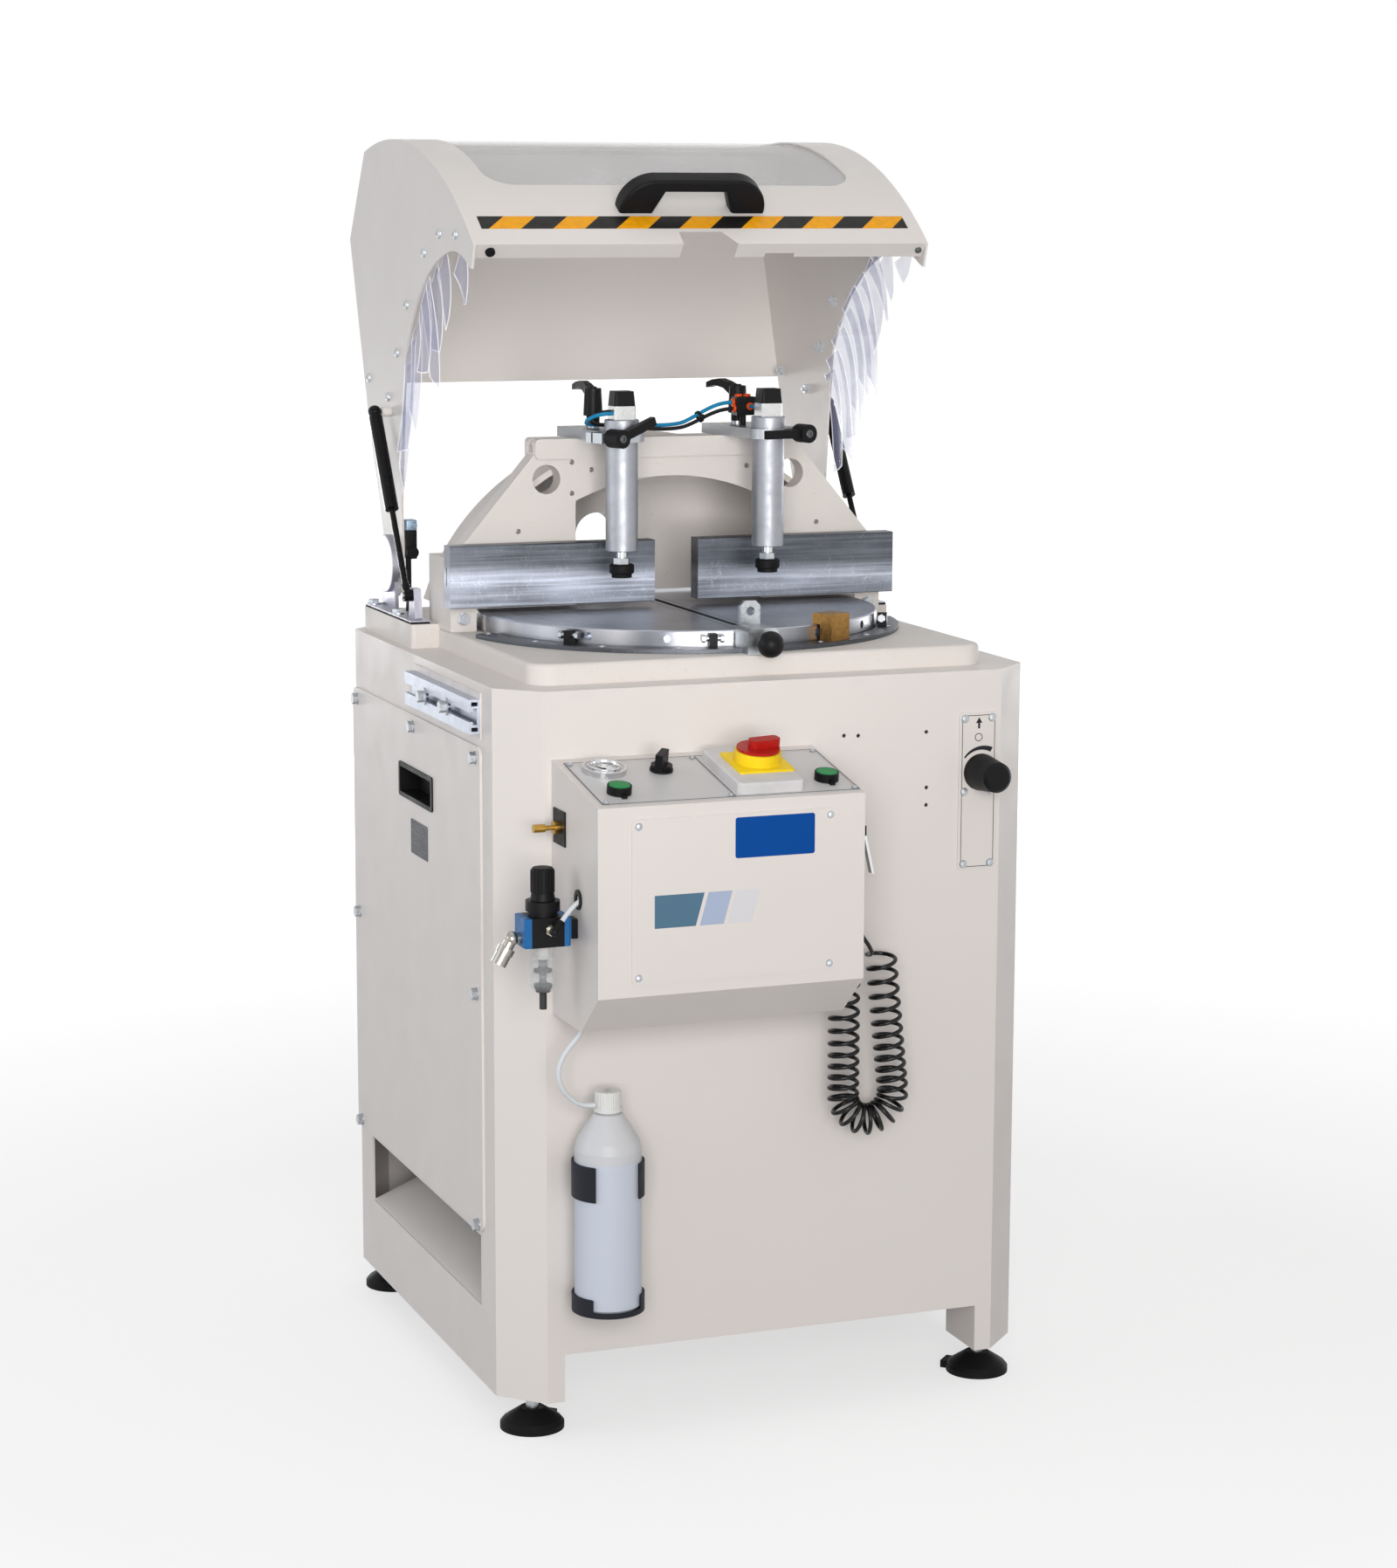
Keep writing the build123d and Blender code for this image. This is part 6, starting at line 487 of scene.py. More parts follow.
class Shape:
    """Collects turned, flat and boxed forms into one piece."""

    def __init__(self):
        self.bm = bmesh.new()

    def lathe(self, profile, at, axis, steps=28):
        """Form turned round an axis from (radius, height) points."""
        matrix = place(at, axis)
        rows = []
        for radius, height in profile:
            count = steps if radius > 1e-6 else 1
            rows.append([self.bm.verts.new(matrix @ Vector((*polar(0.0, 0.0, radius, 360 * i / steps), height)))
                         for i in range(count)])
        for low, high in zip(rows, rows[1:]):
            for i in range(steps):
                k = i + 1
                corners = [low[i % len(low)], low[k % len(low)], high[k % len(high)], high[i % len(high)]]
                unique = [v for n, v in enumerate(corners) if v not in corners[:n]]
                if len(unique) > 2:
                    self.bm.faces.new(unique)
        return self

    def plate(self, outline, thick, matrix):
        """Flat sheet with an outline in the frame's own X and Y."""
        low = [self.bm.verts.new(matrix @ Vector((x, y, 0.0))) for x, y in outline]
        high = [self.bm.verts.new(matrix @ Vector((x, y, thick))) for x, y in outline]
        self.bm.faces.new(list(reversed(low)))
        self.bm.faces.new(high)
        for i in range(len(outline)):
            k = (i + 1) % len(outline)
            self.bm.faces.new([low[i], low[k], high[k], high[i]])
        return self

    def frame(self, outer, inner, thick, matrix):
        """Flat ring between two outlines with the same number of points."""
        rows = [[self.bm.verts.new(matrix @ Vector((x, y, z))) for x, y in line]
                for line, z in ((outer, 0.0), (outer, thick), (inner, thick), (inner, 0.0))]
        for a, b in zip(rows, rows[1:] + rows[:1]):
            for i in range(len(outer)):
                k = (i + 1) % len(outer)
                self.bm.faces.new([a[i], a[k], b[k], b[i]])
        return self

    def block(self, low, high, bevel):
        """Box with rounded edges between two corners."""
        verts = [self.bm.verts.new((x, y, z)) for x in (low[0], high[0]) for y in (low[1], high[1])
                 for z in (low[2], high[2])]
        faces = [self.bm.faces.new([verts[i] for i in side]) for side in
                 ((0, 1, 3, 2), (4, 6, 7, 5), (0, 4, 5, 1), (2, 3, 7, 6), (0, 2, 6, 4), (1, 5, 7, 3))]
        edges = list(dict.fromkeys(e for f in faces for e in f.edges))
        bmesh.ops.bevel(self.bm, geom=edges, offset=bevel, segments=3, affect="EDGES", profile=0.6)
        return self

    def sheet(self, grids, trimmed=False):
        """Thin sheet between two grids of points; trimmed gives its sides, tip and rim the second material."""
        low, high = [[[self.bm.verts.new(point) for point in row] for row in grid] for grid in grids]
        rows, columns = len(low) - 1, len(low[0]) - 1
        for grid in (low, high):
            for r in range(rows):
                for c in range(columns):
                    face = self.bm.faces.new([grid[r][c], grid[r][c + 1], grid[r + 1][c + 1], grid[r + 1][c]])
                    face.material_index = int(trimmed and (c in (0, columns - 1) or r == rows - 1))
        rim = [(0, c) for c in range(columns + 1)] + [(r, columns) for r in range(1, rows + 1)]
        rim += [(rows, c) for c in range(columns - 1, -1, -1)] + [(r, 0) for r in range(rows - 1, 0, -1)]
        for (r0, c0), (r1, c1) in zip(rim, rim[1:] + rim[:1]):
            face = self.bm.faces.new([low[r0][c0], low[r1][c1], high[r1][c1], high[r0][c0]])
            face.material_index = int(trimmed)
        return self

    def piece(self, name, body, slot, material, angle=38.0):
        """Finish the mesh as a named piece on a body; edges sharper than angle stay crisp."""
        bmesh.ops.recalc_face_normals(self.bm, faces=self.bm.faces)
        bmesh.ops.scale(self.bm, vec=(MM, MM, MM), verts=self.bm.verts)
        mesh = bpy.data.meshes.new(name)
        self.bm.to_mesh(mesh)
        self.bm.free()
        mesh.shade_smooth()
        mesh.set_sharp_from_angle(angle=math.radians(angle))
        mesh.materials.append(material)
        piece = bpy.data.objects.new(name, mesh)
        stage.collection.objects.link(piece)
        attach(piece, body)
        return piece


CORNER_STEPS, CIRCLE_STEPS = 5, 24


def rounded(x0, y0, x1, y1, radius):
    """Outline of a rectangle with round corners."""
    corners = ((x1 - radius, y0 + radius, -90), (x1 - radius, y1 - radius, 0),
               (x0 + radius, y1 - radius, 90), (x0 + radius, y0 + radius, 180))
    return [polar(x, y, radius, start + 90 * i / CORNER_STEPS) for x, y, start in corners
            for i in range(CORNER_STEPS + 1)]


def box_outline(x0, y0, x1, y1):
    return [(x0, y0), (x1, y0), (x1, y1), (x0, y1)]


def circle(x, y, radius):
    return [polar(x, y, radius, 360 * i / CIRCLE_STEPS) for i in range(CIRCLE_STEPS)]


PANEL = Matrix(((1, 0, 0, 0), (0, PANEL_COS, -PANEL_SIN, PANEL_BACK[0]),
                (0, PANEL_SIN, PANEL_COS, PANEL_BACK[1]), (0, 0, 0, 1)))
PANEL_UP = PANEL.to_3x3() @ Vector((0, 0, 1))


def on_panel(x, v, height):
    """Point above the sloping panel; v runs up the slope and is zero at its back edge."""
    return PANEL @ Vector((x, v, height))


def on_front(y):
    """Frame for outlines in (x, z) on a face that looks to the front."""
    return Matrix(((1, 0, 0, 0), (0, 0, -1, y), (0, 1, 0, 0), (0, 0, 0, 1)))


def on_left(x):
    """Frame for outlines in (-y, z) on a face that looks to the left."""
    return Matrix(((0, 0, -1, x), (-1, 0, 0, 0), (0, 1, 0, 0), (0, 0, 0, 1)))


# Cords: each route's points are those of the part's source, in millimetres
CORD_SIDES, CORD_STEPS, ROUTE_STEPS = 4, 8, 24


def spline_curve(name, points, diameter, steps=CORD_STEPS):
    curve = bpy.data.curves.new(name, "CURVE")
    curve.dimensions = "3D"
    spline = curve.splines.new("NURBS")
    spline.points.add(len(points) - 1)
    for control, point in zip(spline.points, points):
        control.co = (*[c * MM for c in point], 1.0)
    spline.order_u = 3
    spline.use_endpoint_u = True
    spline.resolution_u = steps
    curve.bevel_depth = diameter / 2 * MM
    curve.bevel_resolution = CORD_SIDES
    curve.use_fill_caps = diameter > 0
    obj = bpy.data.objects.new(name, curve)
    stage.collection.objects.link(obj)
    return obj


def hose(name, points, diameter, node, material):
    obj = spline_curve(name, points, diameter)
    obj.data.materials.append(material)
    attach(obj, "base")
    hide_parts(node)


tube_blue = plastic("tube_blue", rgb("1E84B2"), 0.3, 0.03, spread=0.06)
tube_black = plastic("tube_black", rgb("1D1D20"), 0.34, 0.05)
tube_white = plastic("tube_white", rgb("D9DEE2"), 0.25, 0.03, spread=0.04)
hose_black = plastic("hose_black", rgb("08080A"), 0.17, 0.02, gloss=0.3)

TANK_TUBE = [(-273, -417.7, 540), (-273, -417.7, 528), (-298, -417.7, 502), (-307, -416.7, 480),
             (-301, -412.7, 457), (-283, -405.7, 437), (-265, -399.7, 429), (-253.4, -399.7, 429)]
REGULATOR_TUBE = [(-319.46, -470.18, 671.86), (-299, -455, 691), (-284, -454, 695)]
CLAMP_TUBES = [
    [(86, 17, 1241), (71.5, 17, 1241), (49.5, 15, 1234), (25.5, 12.5, 1222), (6.5, 11, 1214), (-36, 9, 1213.5),
     (-70, 6, 1216), (-101, 2, 1216), (-129, -11, 1218), (-136, -36, 1226), (-122, -51, 1234),
     (-106.5, -51, 1234)],
    [(86, 13, 1233), (71.5, 13, 1233), (49.5, 11, 1226.5), (25.5, 8, 1215.5), (5.5, 6, 1209), (-34, 3, 1209),
     (-70, -1, 1215), (-100, -5, 1216), (-123, -15, 1219.5), (-129, -33, 1228), (-119, -43.5, 1236),
     (-106.5, -43.5, 1236)],
    [(104, 6, 1236), (104, -5, 1236), (108, -19, 1236), (108, -30.5, 1236)],
]
hose("tank_tube", TANK_TUBE, 6.0, "plastic_tubes", tube_white)
hose("regulator_tube", REGULATOR_TUBE, 6.0, "plastic_tubes", tube_white)
hose("clamp_tube_1", CLAMP_TUBES[0], 5.0, "clamp_tubes", tube_blue)
hose("clamp_tube_2", CLAMP_TUBES[1], 5.0, "clamp_tubes", tube_black)
hose("clamp_tube_3", CLAMP_TUBES[2], 5.0, "clamp_tubes", tube_blue)

# Spiral hose: a helix round points read from its route's own spline, closer together in the lower bend
COIL_Y = -393.0
COIL_ROUTE = [(74, 562), (74, 505), (74, 452), (74, 421), (74.1, 398.8), (87.7, 380.9), (109.3, 374.8),
              (130.2, 383.1), (141.9, 402.3), (139.5, 424.7), (136.2, 456), (129.5, 520), (121.9, 593.5)]
COIL_START = [(55, -393, 622), (60, -393, 622), (68, -392.4, 622), (77.5, -390, 614), (77, -387, 601.5),
              (66, -383.8, 593.5), (56, -380.5, 584), (55.2, -377.8, 570), (62.8, -375.7, 560.5)]
COIL_END = [(104.6, -402, 586.9), (102.6, -411, 591.5), (98, -420, 597.5), (91, -425.8, 606.5),
            (82, -427.6, 618.2), (73.8, -428.8, 632.5), (68, -429.6, 649.5), (66, -430, 663), (66, -430, 674)]
COIL_RADIUS = 17.5
COIL_PER_TURN = 14
COIL_TURNS = 29.5
PITCH_LOW, PITCH_HIGH, PITCH_RISE = 12.4, 18.5, 1.6
BEND_MIDDLE, BEND_HALF = 204.6, 52.6
STEP = 0.05

route = spline_curve("coil_route", [(x, COIL_Y, z) for x, z in COIL_ROUTE], 0.0, ROUTE_STEPS)
bpy.context.view_layer.update()
line_mesh = bpy.data.meshes.new_from_object(route.evaluated_get(bpy.context.evaluated_depsgraph_get()))
line = [v.co / MM for v in line_mesh.vertices]
bpy.data.objects.remove(route)
bpy.data.meshes.remove(line_mesh)
reached = [0.0]
for a, b in zip(line, line[1:]):
    reached.append(reached[-1] + (b - a).length)


def along(s):
    """Point and direction of the coil's own line at a distance from its start."""
    i = 0
    while i < len(line) - 2 and reached[i + 1] < s:
        i += 1
    share = (s - reached[i]) / max(1e-9, reached[i + 1] - reached[i])
    heading = line[min(i + 2, len(line) - 1)] - line[max(i - 1, 0)]
    return line[i].lerp(line[i + 1], share), heading.normalized()


coil = []
fuller = COIL_RADIUS / (0.75 + 0.25 * math.cos(TURN / COIL_PER_TURN))
s, turned_by, due = 0.0, 0.0, TURN / 4
while s < reached[-1]:
    away = max(0.0, abs(s - BEND_MIDDLE) - BEND_HALF) / (reached[-1] / 2)
    turned_by += STEP / (PITCH_LOW + (PITCH_HIGH - PITCH_LOW) * min(1.0, PITCH_RISE * away)) * TURN
    s += STEP
    if due <= turned_by and due <= COIL_TURNS * TURN + 0.01:
        point, heading = along(s)
        out = fuller * math.cos(due)
        coil.append((point.x + out * heading.z, COIL_Y + fuller * math.sin(due), point.z - out * heading.x))
        due += TURN / COIL_PER_TURN
hose("spiral_hose_cord", COIL_START + coil + COIL_END, 5.2, "spiral_hose", hose_black)


# Air fittings at the clamps: release rings of the push-in couplings, and the tie round the tubes
orange = plastic("release_orange", rgb("E2511E"), 0.4, 0.04, spread=0.05)
RELEASE = [(2.7, 0.0), (5.0, 0.0), (5.0, 2.4), (4.2, 3.4), (2.7, 3.4), (2.7, 0.0)]
CLOSED = [(0.0, 0.4), (2.4, 0.4), (2.4, 3.4), (4.2, 3.4), (5.0, 2.4), (5.0, 0.0), (0.0, 0.0)]
release = Shape()
for at, axis in (((86, 17, 1241), (-1, 0, 0)), ((86, 13, 1233), (-1, 0, 0)), ((104, 6, 1236), (0, -1, 0))):
    release.lathe(RELEASE, at, axis, 24)
for at, axis in (((112, 16, 1236), (1, 0, 0)), ((93, 19, 1248), (0, 0, 1)), ((105, 19, 1248), (0, 0, 1))):
    release.lathe(CLOSED, at, axis, 24)
release.piece("release_rings", "base", "black_plastic", orange)
TIE = [(6.9, -1.8), (7.9, -1.8), (7.9, 1.8), (6.9, 1.8), (6.9, -1.8)]
tie = Shape().lathe(TIE, (35.5, 11.3, 1223.5), (-0.88, -0.1, -0.46))
tie.block((32, 2.2, 1222), (39, 5.2, 1227), 0.6)
tie.piece("tube_tie", "base", "black_plastic", black_plastic)

# Socket screws in the hubs of the collar levers
SOCKET = [(5.2, 0.0), (5.2, 0.6), (4.6, 1.0), (2.6, 1.0), (2.4, 0.1), (0.0, 0.1)]
for side, at, axis in (("left", (-108.8, -98.2, 1204.5), (0.342, -0.9397, 0)),
                       ("right", (153.2, -79.7, 1204.5), (0.2419, -0.9703, 0))):
    Shape().lathe(SOCKET, at, axis, 24).piece("collar_screw_" + side, "collar_lever_" + side, "steel",
                                              steel_dark)

# Core and filter inside the clear regulator bowl
REGULATOR, UP = (-332, -440, 0), (0, 0, 1)
CORE = [(0, 586), (9, 586), (11, 590), (11, 593), (4.5, 595), (4.5, 606), (11, 608), (11, 611), (5.5, 613),
        (5.5, 624), (0, 624)]
FILTER = [(0, 624), (8.5, 624), (8.5, 638), (0, 638)]
filter_white = plastic("filter_white", rgb("DEDCD9"), 0.6, 0.2, 500.0)
Shape().lathe(CORE, REGULATOR, UP).piece("bowl_core", "base", "black_plastic", black_plastic)
Shape().lathe(FILTER, REGULATOR, UP).piece("bowl_filter", "base", "clear", filter_white)

# Roller limit switch on a foot beside the left hinge, and bolts of the hinge feet
alu_blue = metal("cast_alu", rgb("8FA3B4"), 0.4, scale=300.0)
limit = Shape().block((-300.5, 221, 1066), (-286, 241, 1080), 1.4)
limit.lathe([(0.0, 0.0), (3.4, 0.0), (3.4, 3.0), (0.0, 3.0)], (-290, 221, 1073), (0, -1, 0), 20)
limit.piece("limit_switch_head", "base", "zinc", alu_blue)
limit = Shape().block((-300, 222, 1028), (-286, 240, 1066), 1.0)
limit.block((-298, 226, 953), (-293, 238, 1030), 0.6)
limit.lathe([(0.0, 0.0), (8.0, 0.0), (8.0, 5.0), (0.0, 5.0)], (-293, 222, 1037), (0, -1, 0))
limit.piece("limit_switch_body", "base", "black_plastic", black_plastic)
WASHER = [(10.0, 0.0), (10.0, 1.6), (7.0, 1.6)]
HEAD = [(7.5, 1.6), (7.5, 6.0), (6.9, 6.8), (0.0, 6.8)]
feet = Shape()
for side in (-1, 1):
    for y in (172, 288):
        feet.lathe(WASHER, (side * 328, y, 962), UP)
        feet.lathe(HEAD, (side * 328, y, 962), UP, 6)
feet.piece("hinge_foot_bolts", "base", "zinc", zinc, 25.0)


# Hood: screws, the lip's bumper and screw, and the stripe
HOOD_RADIUS = 559.0
HOOD_FACE = 306.0
HOOD_SCREWS = [(41, 1459), (-29, 1459), (109, 1434), (191, 1365), (238, 1301), (377, 1261), (283, 1240)]
NUT_INSET = 3.0
DOME = [(6.6, 0.0), (6.4, 0.8), (5.6, 2.0), (4.4, 2.9), (3.0, 3.4), (2.4, 3.4), (2.2, 1.6), (0.0, 1.5)]
NUT = [(0.0, 0.0), (8.0, 0.0), (8.0, 1.2), (7.2, 1.6), (7.2, 6.4), (6.6, 7.2), (3.4, 7.2), (3.4, 10.2),
       (3.0, 10.8), (0.0, 10.8)]

screws = Shape()
nuts = Shape()
for y, z in HOOD_SCREWS:
    for side in (-1, 1):
        screws.lathe(DOME, (side * HOOD_FACE, y, z), (side, 0, 0))
        nuts.lathe(NUT, (side * (HOOD_FACE - NUT_INSET), y, z), (-side, 0, 0), 6)
screws.piece("hood_screws", "hood", "zinc", zinc)
# Painted highlight: the nuts inside the hood get a lighter, less metallic copy of zinc for their bright glints
nut_zinc_highlight = metal("nut_zinc_highlight", rgb("DCE1E6"), 0.3, scale=260.0, metallic=0.65)
nuts.piece("hood_nuts", "hood", "zinc", nut_zinc_highlight, 20.0)
LIP_FACE, LIP_OUT = (-97.0, 1438.6), (0.0, -0.717, -0.697)
BUMPER = [(6.2, -1.0), (6.2, 2.4), (5.5, 3.9), (3.6, 4.8), (0.0, 5.0)]
LIP_SCREW = [(4.4, -1.0), (4.4, 1.0), (3.6, 2.0), (0.0, 2.2)]
Shape().lathe(BUMPER, (-282.5, *LIP_FACE), LIP_OUT).piece("lip_bumper", "hood", "black_rubber", black_rubber)
Shape().lathe(LIP_SCREW, (295.5, *LIP_FACE), LIP_OUT).piece("lip_screw", "hood", "zinc", steel_dark)


def on_hood(x, angle, lift):
    """Point on the hood's curved skin."""
    return Vector((x, *polar(*HINGE, HOOD_RADIUS + lift, angle)))


STRIPE_LOW, STRIPE_HIGH, STRIPE_HALF = 127.0, 124.4, 288.0
STRIPE_LIFTS = (0.02, 0.35)
STRIPE_ROWS, STRIPE_COLUMNS = 6, 24
stripe = Shape().sheet([[[on_hood(STRIPE_HALF * (2 * i / STRIPE_COLUMNS - 1),
                                  STRIPE_LOW + (STRIPE_HIGH - STRIPE_LOW) * j / STRIPE_ROWS, lift)
                          for i in range(STRIPE_COLUMNS + 1)] for j in range(STRIPE_ROWS + 1)]
                        for lift in STRIPE_LIFTS])
hazard = Graph("hazard_stripe")
hazard_x, _, hazard_z = hazard.axes(hazard.where)
STRIPE_PERIOD, STRIPE_SLANT, STRIPE_MIDDLE = 0.0837, 1.71, 1.4739
STRIPE_EDGE = -0.015 - STRIPE_PERIOD / 2
climb = hazard.math("MULTIPLY", hazard.math("SUBTRACT", hazard_z, STRIPE_MIDDLE), STRIPE_SLANT)
slant = hazard.math("SUBTRACT", hazard.math("SUBTRACT", hazard_x, climb), STRIPE_EDGE)
band = hazard.math("GREATER_THAN", hazard.math("FRACT", hazard.math("DIVIDE", slant, STRIPE_PERIOD)), 0.5)
worn = hazard.noise(120.0, 4.0)
hazard_tone = hazard.mix(band, rgb("161413"), rgb("F2A60C"))
hazard.set(Base_Color=scaled(hazard, hazard_tone, hazard.span(worn, 0.3, 0.7, 0.9, 1.06)))
hazard.set(Roughness=hazard.span(worn, 0.3, 0.7, 0.3, 0.5), Specular_IOR_Level=0.15)
stripe.piece("hazard_stripe", "hood", "hood_paint", hazard.material)


# Panel: gauge, printed sheet under the clear plate, its lines and corner screws
ink = plastic("ink", rgb("26272B"), 0.5, 0.03)
dial_white = plastic("dial_white", rgb("F1F1EE"), 0.35, 0.02, spread=0.02)
GAUGE = (-243.0, -50.0)
DIAL = [(0.0, 0.0), (16.6, 0.0), (16.6, 0.5), (0.0, 0.5)]
GAUGE_RING = [(16.8, 2.1), (22.8, 2.1), (22.8, 6.4), (20.4, 3.6), (19.6, 3.6), (19.5, 8.4), (18.8, 9.2),
              (17.4, 9.2), (16.8, 8.4), (16.8, 2.1)]
NEEDLE = [(-6, -1.2), (0, -1.5), (14, -0.25), (14, 0.25), (0, 1.5), (-6, 1.2)]
NEEDLE_HUB = [(2.6, 0.0), (2.6, 1.0), (1.8, 1.5), (0.0, 1.6)]
NEEDLE_AT, MARKS_FROM, MARKS_OVER, MARKS = 118, 225, 270, 40
MARK_END = 15.6
DIAL_Z, MARK_Z, HUB_Z, NEEDLE_Z = 2.05, 2.55, 2.9, 3.0


def on_dial(height, degrees):
    """Frame above the dial with its X along a pointer at that angle."""
    return PANEL @ Matrix.Translation((*GAUGE, height)) @ Matrix.Rotation(math.radians(degrees), 4, "Z")


Shape().lathe(DIAL, on_panel(*GAUGE, DIAL_Z), PANEL_UP, 48).piece("gauge_dial", "base", "chrome", dial_white)
Shape().lathe(GAUGE_RING, on_panel(*GAUGE, 0.0), PANEL_UP, 48).piece("gauge_ring", "base", "chrome", chrome)
marks = Shape()
for i in range(MARKS + 1):
    start, half = (12.6, 0.275) if i % 5 == 0 else (14.0, 0.14)
    marks.plate(box_outline(start, -half, MARK_END, half), 0.1,
                on_dial(MARK_Z, MARKS_FROM - MARKS_OVER * i / MARKS))
marks.plate(NEEDLE, 0.5, on_dial(NEEDLE_Z, NEEDLE_AT))
marks.lathe(NEEDLE_HUB, on_panel(*GAUGE, HUB_Z), PANEL_UP, 20)
marks.piece("gauge_marks", "base", "black_plastic", ink)
GLASS = (-283.0, -161.0, 40.0, -18.0)
SLIT, HOLE = 0.15, 9.5


def keyhole(x, v, edge):
    """Outline of a slit from an edge to a square hole, which a bezel covers."""
    near, far = (v - HOLE, v + HOLE) if edge < v else (v + HOLE, v - HOLE)
    way = 1 if edge < v else -1
    return [(x - way * SLIT, edge), (x - way * SLIT, near), (x - way * HOLE, near), (x - way * HOLE, far),
            (x + way * HOLE, far), (x + way * HOLE, near), (x + way * SLIT, near), (x + way * SLIT, edge)]


GLASS_TOP, LINE, LINE_THICK, LINE_X = 1.5, 1.0, 0.12, -118.0
SHEET_LOW, SHEET_THICK = 0.05, 0.25
x0, v0, x1, v1 = GLASS
printed = [(x0, v0), *keyhole(-250, -124, v0), *keyhole(13, -121, v0), (x1, v0), (x1, v1),
           *keyhole(-174, -59, v1), (x0, v1)]
Shape().plate(printed, SHEET_THICK, PANEL @ Matrix.Translation((0, 0, SHEET_LOW))).piece(
    "panel_sheet", "base", "cabinet_paint", paint("panel_sheet", rgb("D0CECE"), 0.36, 0.02))
on_glass = PANEL @ Matrix.Translation((0, 0, GLASS_TOP))
lines = Shape()
lines.frame(box_outline(*GLASS), box_outline(x0 + LINE, v0 + LINE, x1 - LINE, v1 - LINE), LINE_THICK, on_glass)
lines.plate(box_outline(LINE_X, v0 + LINE, LINE_X + LINE, v1 - LINE), LINE_THICK, on_glass)
lines.piece("plate_edge_lines", "base", "black_plastic", ink)
PLATE_SCREW = [(3.6, 0.0), (3.6, 0.8), (2.8, 1.8), (1.6, 2.0), (1.4, 1.2), (0.0, 1.2)]
corners = Shape()
for x, v in ((35, -155), (35, -24), (-122, -155), (-122, -24), (-277, -155), (-277, -24)):
    corners.lathe(PLATE_SCREW, on_panel(x, v, GLASS_TOP), PANEL_UP, 20)
corners.piece("plate_corner_screws", "base", "zinc", zinc)


# Bare plates and printed marks
sheet_blue = plastic("plate_blue", rgb("034795"), 0.35, 0.03, spread=0.03, gloss=0.1)
plate_dark = metal("plate_dark", rgb("34353D"), 0.45, (0.05, 0.05, 1.0), 700.0, 0.04, 0.08, 0.3)
COVER_FACE, COVER_LEFT = -524.0, -353.0
BAND_LOW, BAND_HIGH, BAND_LEAN = 668, 707, 11
Shape().plate(rounded(-122.6, 744.8, -22.3, 793.2, 3.0), 0.4, on_front(COVER_FACE)).piece(
    "bare_blue_plate", "base", "blue_tube", sheet_blue)
for name, ink_name, tone, left, width, lean in (("band_one", "band_dark", "53748B", -223, 51, 0),
                                                ("band_two", "band_mid", "A8B5CD", -167, 30, BAND_LEAN),
                                                ("band_three", "band_pale", "D6D5D8", -132, 30, BAND_LEAN)):
    outline = [(left, BAND_LOW), (left + width, BAND_LOW), (left + width + BAND_LEAN, BAND_HIGH),
               (left + lean, BAND_HIGH)]
    Shape().plate(outline, 0.25, on_front(COVER_FACE)).piece(
        name, "base", "cabinet_paint", plastic(ink_name, rgb(tone), 0.4, 0.03, spread=0.03))
Shape().plate(rounded(-34, 668, 41, 713, 2.0), 0.5, on_left(COVER_LEFT)).piece(
    "bare_name_plate", "base", "steel", plate_dark)

KNOB, KNOB_FACE, PRINT = (272, 799), -357.0, 0.15
ARC_RADIUS, ARC_NARROW, ARC_GROWS = 28, 2, 4.5
ARC_FROM, ARC_OVER, ARC_STEPS = 140, 78, 14
ARROW = [(267.6, 854), (270.4, 854), (270.4, 861), (273.5, 861), (269, 868), (264.5, 861), (267.6, 861)]
on_knob_plate = on_front(KNOB_FACE)
prints = Shape()
prints.frame(rounded(246, 679, 291, 871, 5.0), rounded(246.8, 679.8, 290.2, 870.2, 4.4), PRINT, on_knob_plate)
prints.plate(ARROW, PRINT, on_knob_plate)
prints.frame(circle(268.6, 843, 5.2), circle(268.6, 843, 4.2), PRINT, on_knob_plate)
shares = [i / ARC_STEPS for i in range(ARC_STEPS + 1)]
arc_in = [polar(*KNOB, ARC_RADIUS, ARC_FROM - ARC_OVER * share) for share in shares]
arc_out = [polar(*KNOB, ARC_RADIUS + ARC_NARROW + ARC_GROWS * share, ARC_FROM - ARC_OVER * share)
           for share in shares]
prints.plate(arc_in + arc_out[::-1], PRINT, on_knob_plate)
prints.piece("knob_plate_marks", "base", "black_plastic", ink)


# Screws in the turntable ring
RING_SCREW = [(4.2, 0.0), (4.2, 0.3), (3.6, 0.8), (2.2, 0.8), (2.0, 0.2), (0.0, 0.2)]
RING_MIDDLE, RING_TOP = 277, 958.4
ring_screws = Shape()
for degrees in range(-170, 0, 20):
    ring_screws.lathe(RING_SCREW, (*polar(0, 0, RING_MIDDLE, degrees), RING_TOP), UP, 20)
ring_screws.piece("ring_screws", "base", "zinc", zinc)


# Curtain strips: long clear feathers hanging from both side cut-outs, whose cut edges glow white as painted
# light
strip = Graph("curtain_strip")
strip_haze = strip.noise(30.0, 4.0)
strip.set(Base_Color=strip.mix(strip_haze, rgb("AFB4E2"), rgb("A2A7D6")))
strip.set(Roughness=strip.span(strip_haze, 0.3, 0.7, 0.12, 0.3))
strip.set(Alpha=strip.span(strip_haze, 0.3, 0.7, 0.18, 0.25))
strip.set(IOR=1.4)
strip_edge_glow = Graph("curtain_edge_glow")
edge_haze = strip_edge_glow.noise(40.0, 3.0)
strip_edge_glow.set(Base_Color=strip_edge_glow.mix(edge_haze, rgb("F7F8FC"), rgb("ECEEF6")))
strip_edge_glow.set(Roughness=strip_edge_glow.span(edge_haze, 0.3, 0.7, 0.15, 0.3))
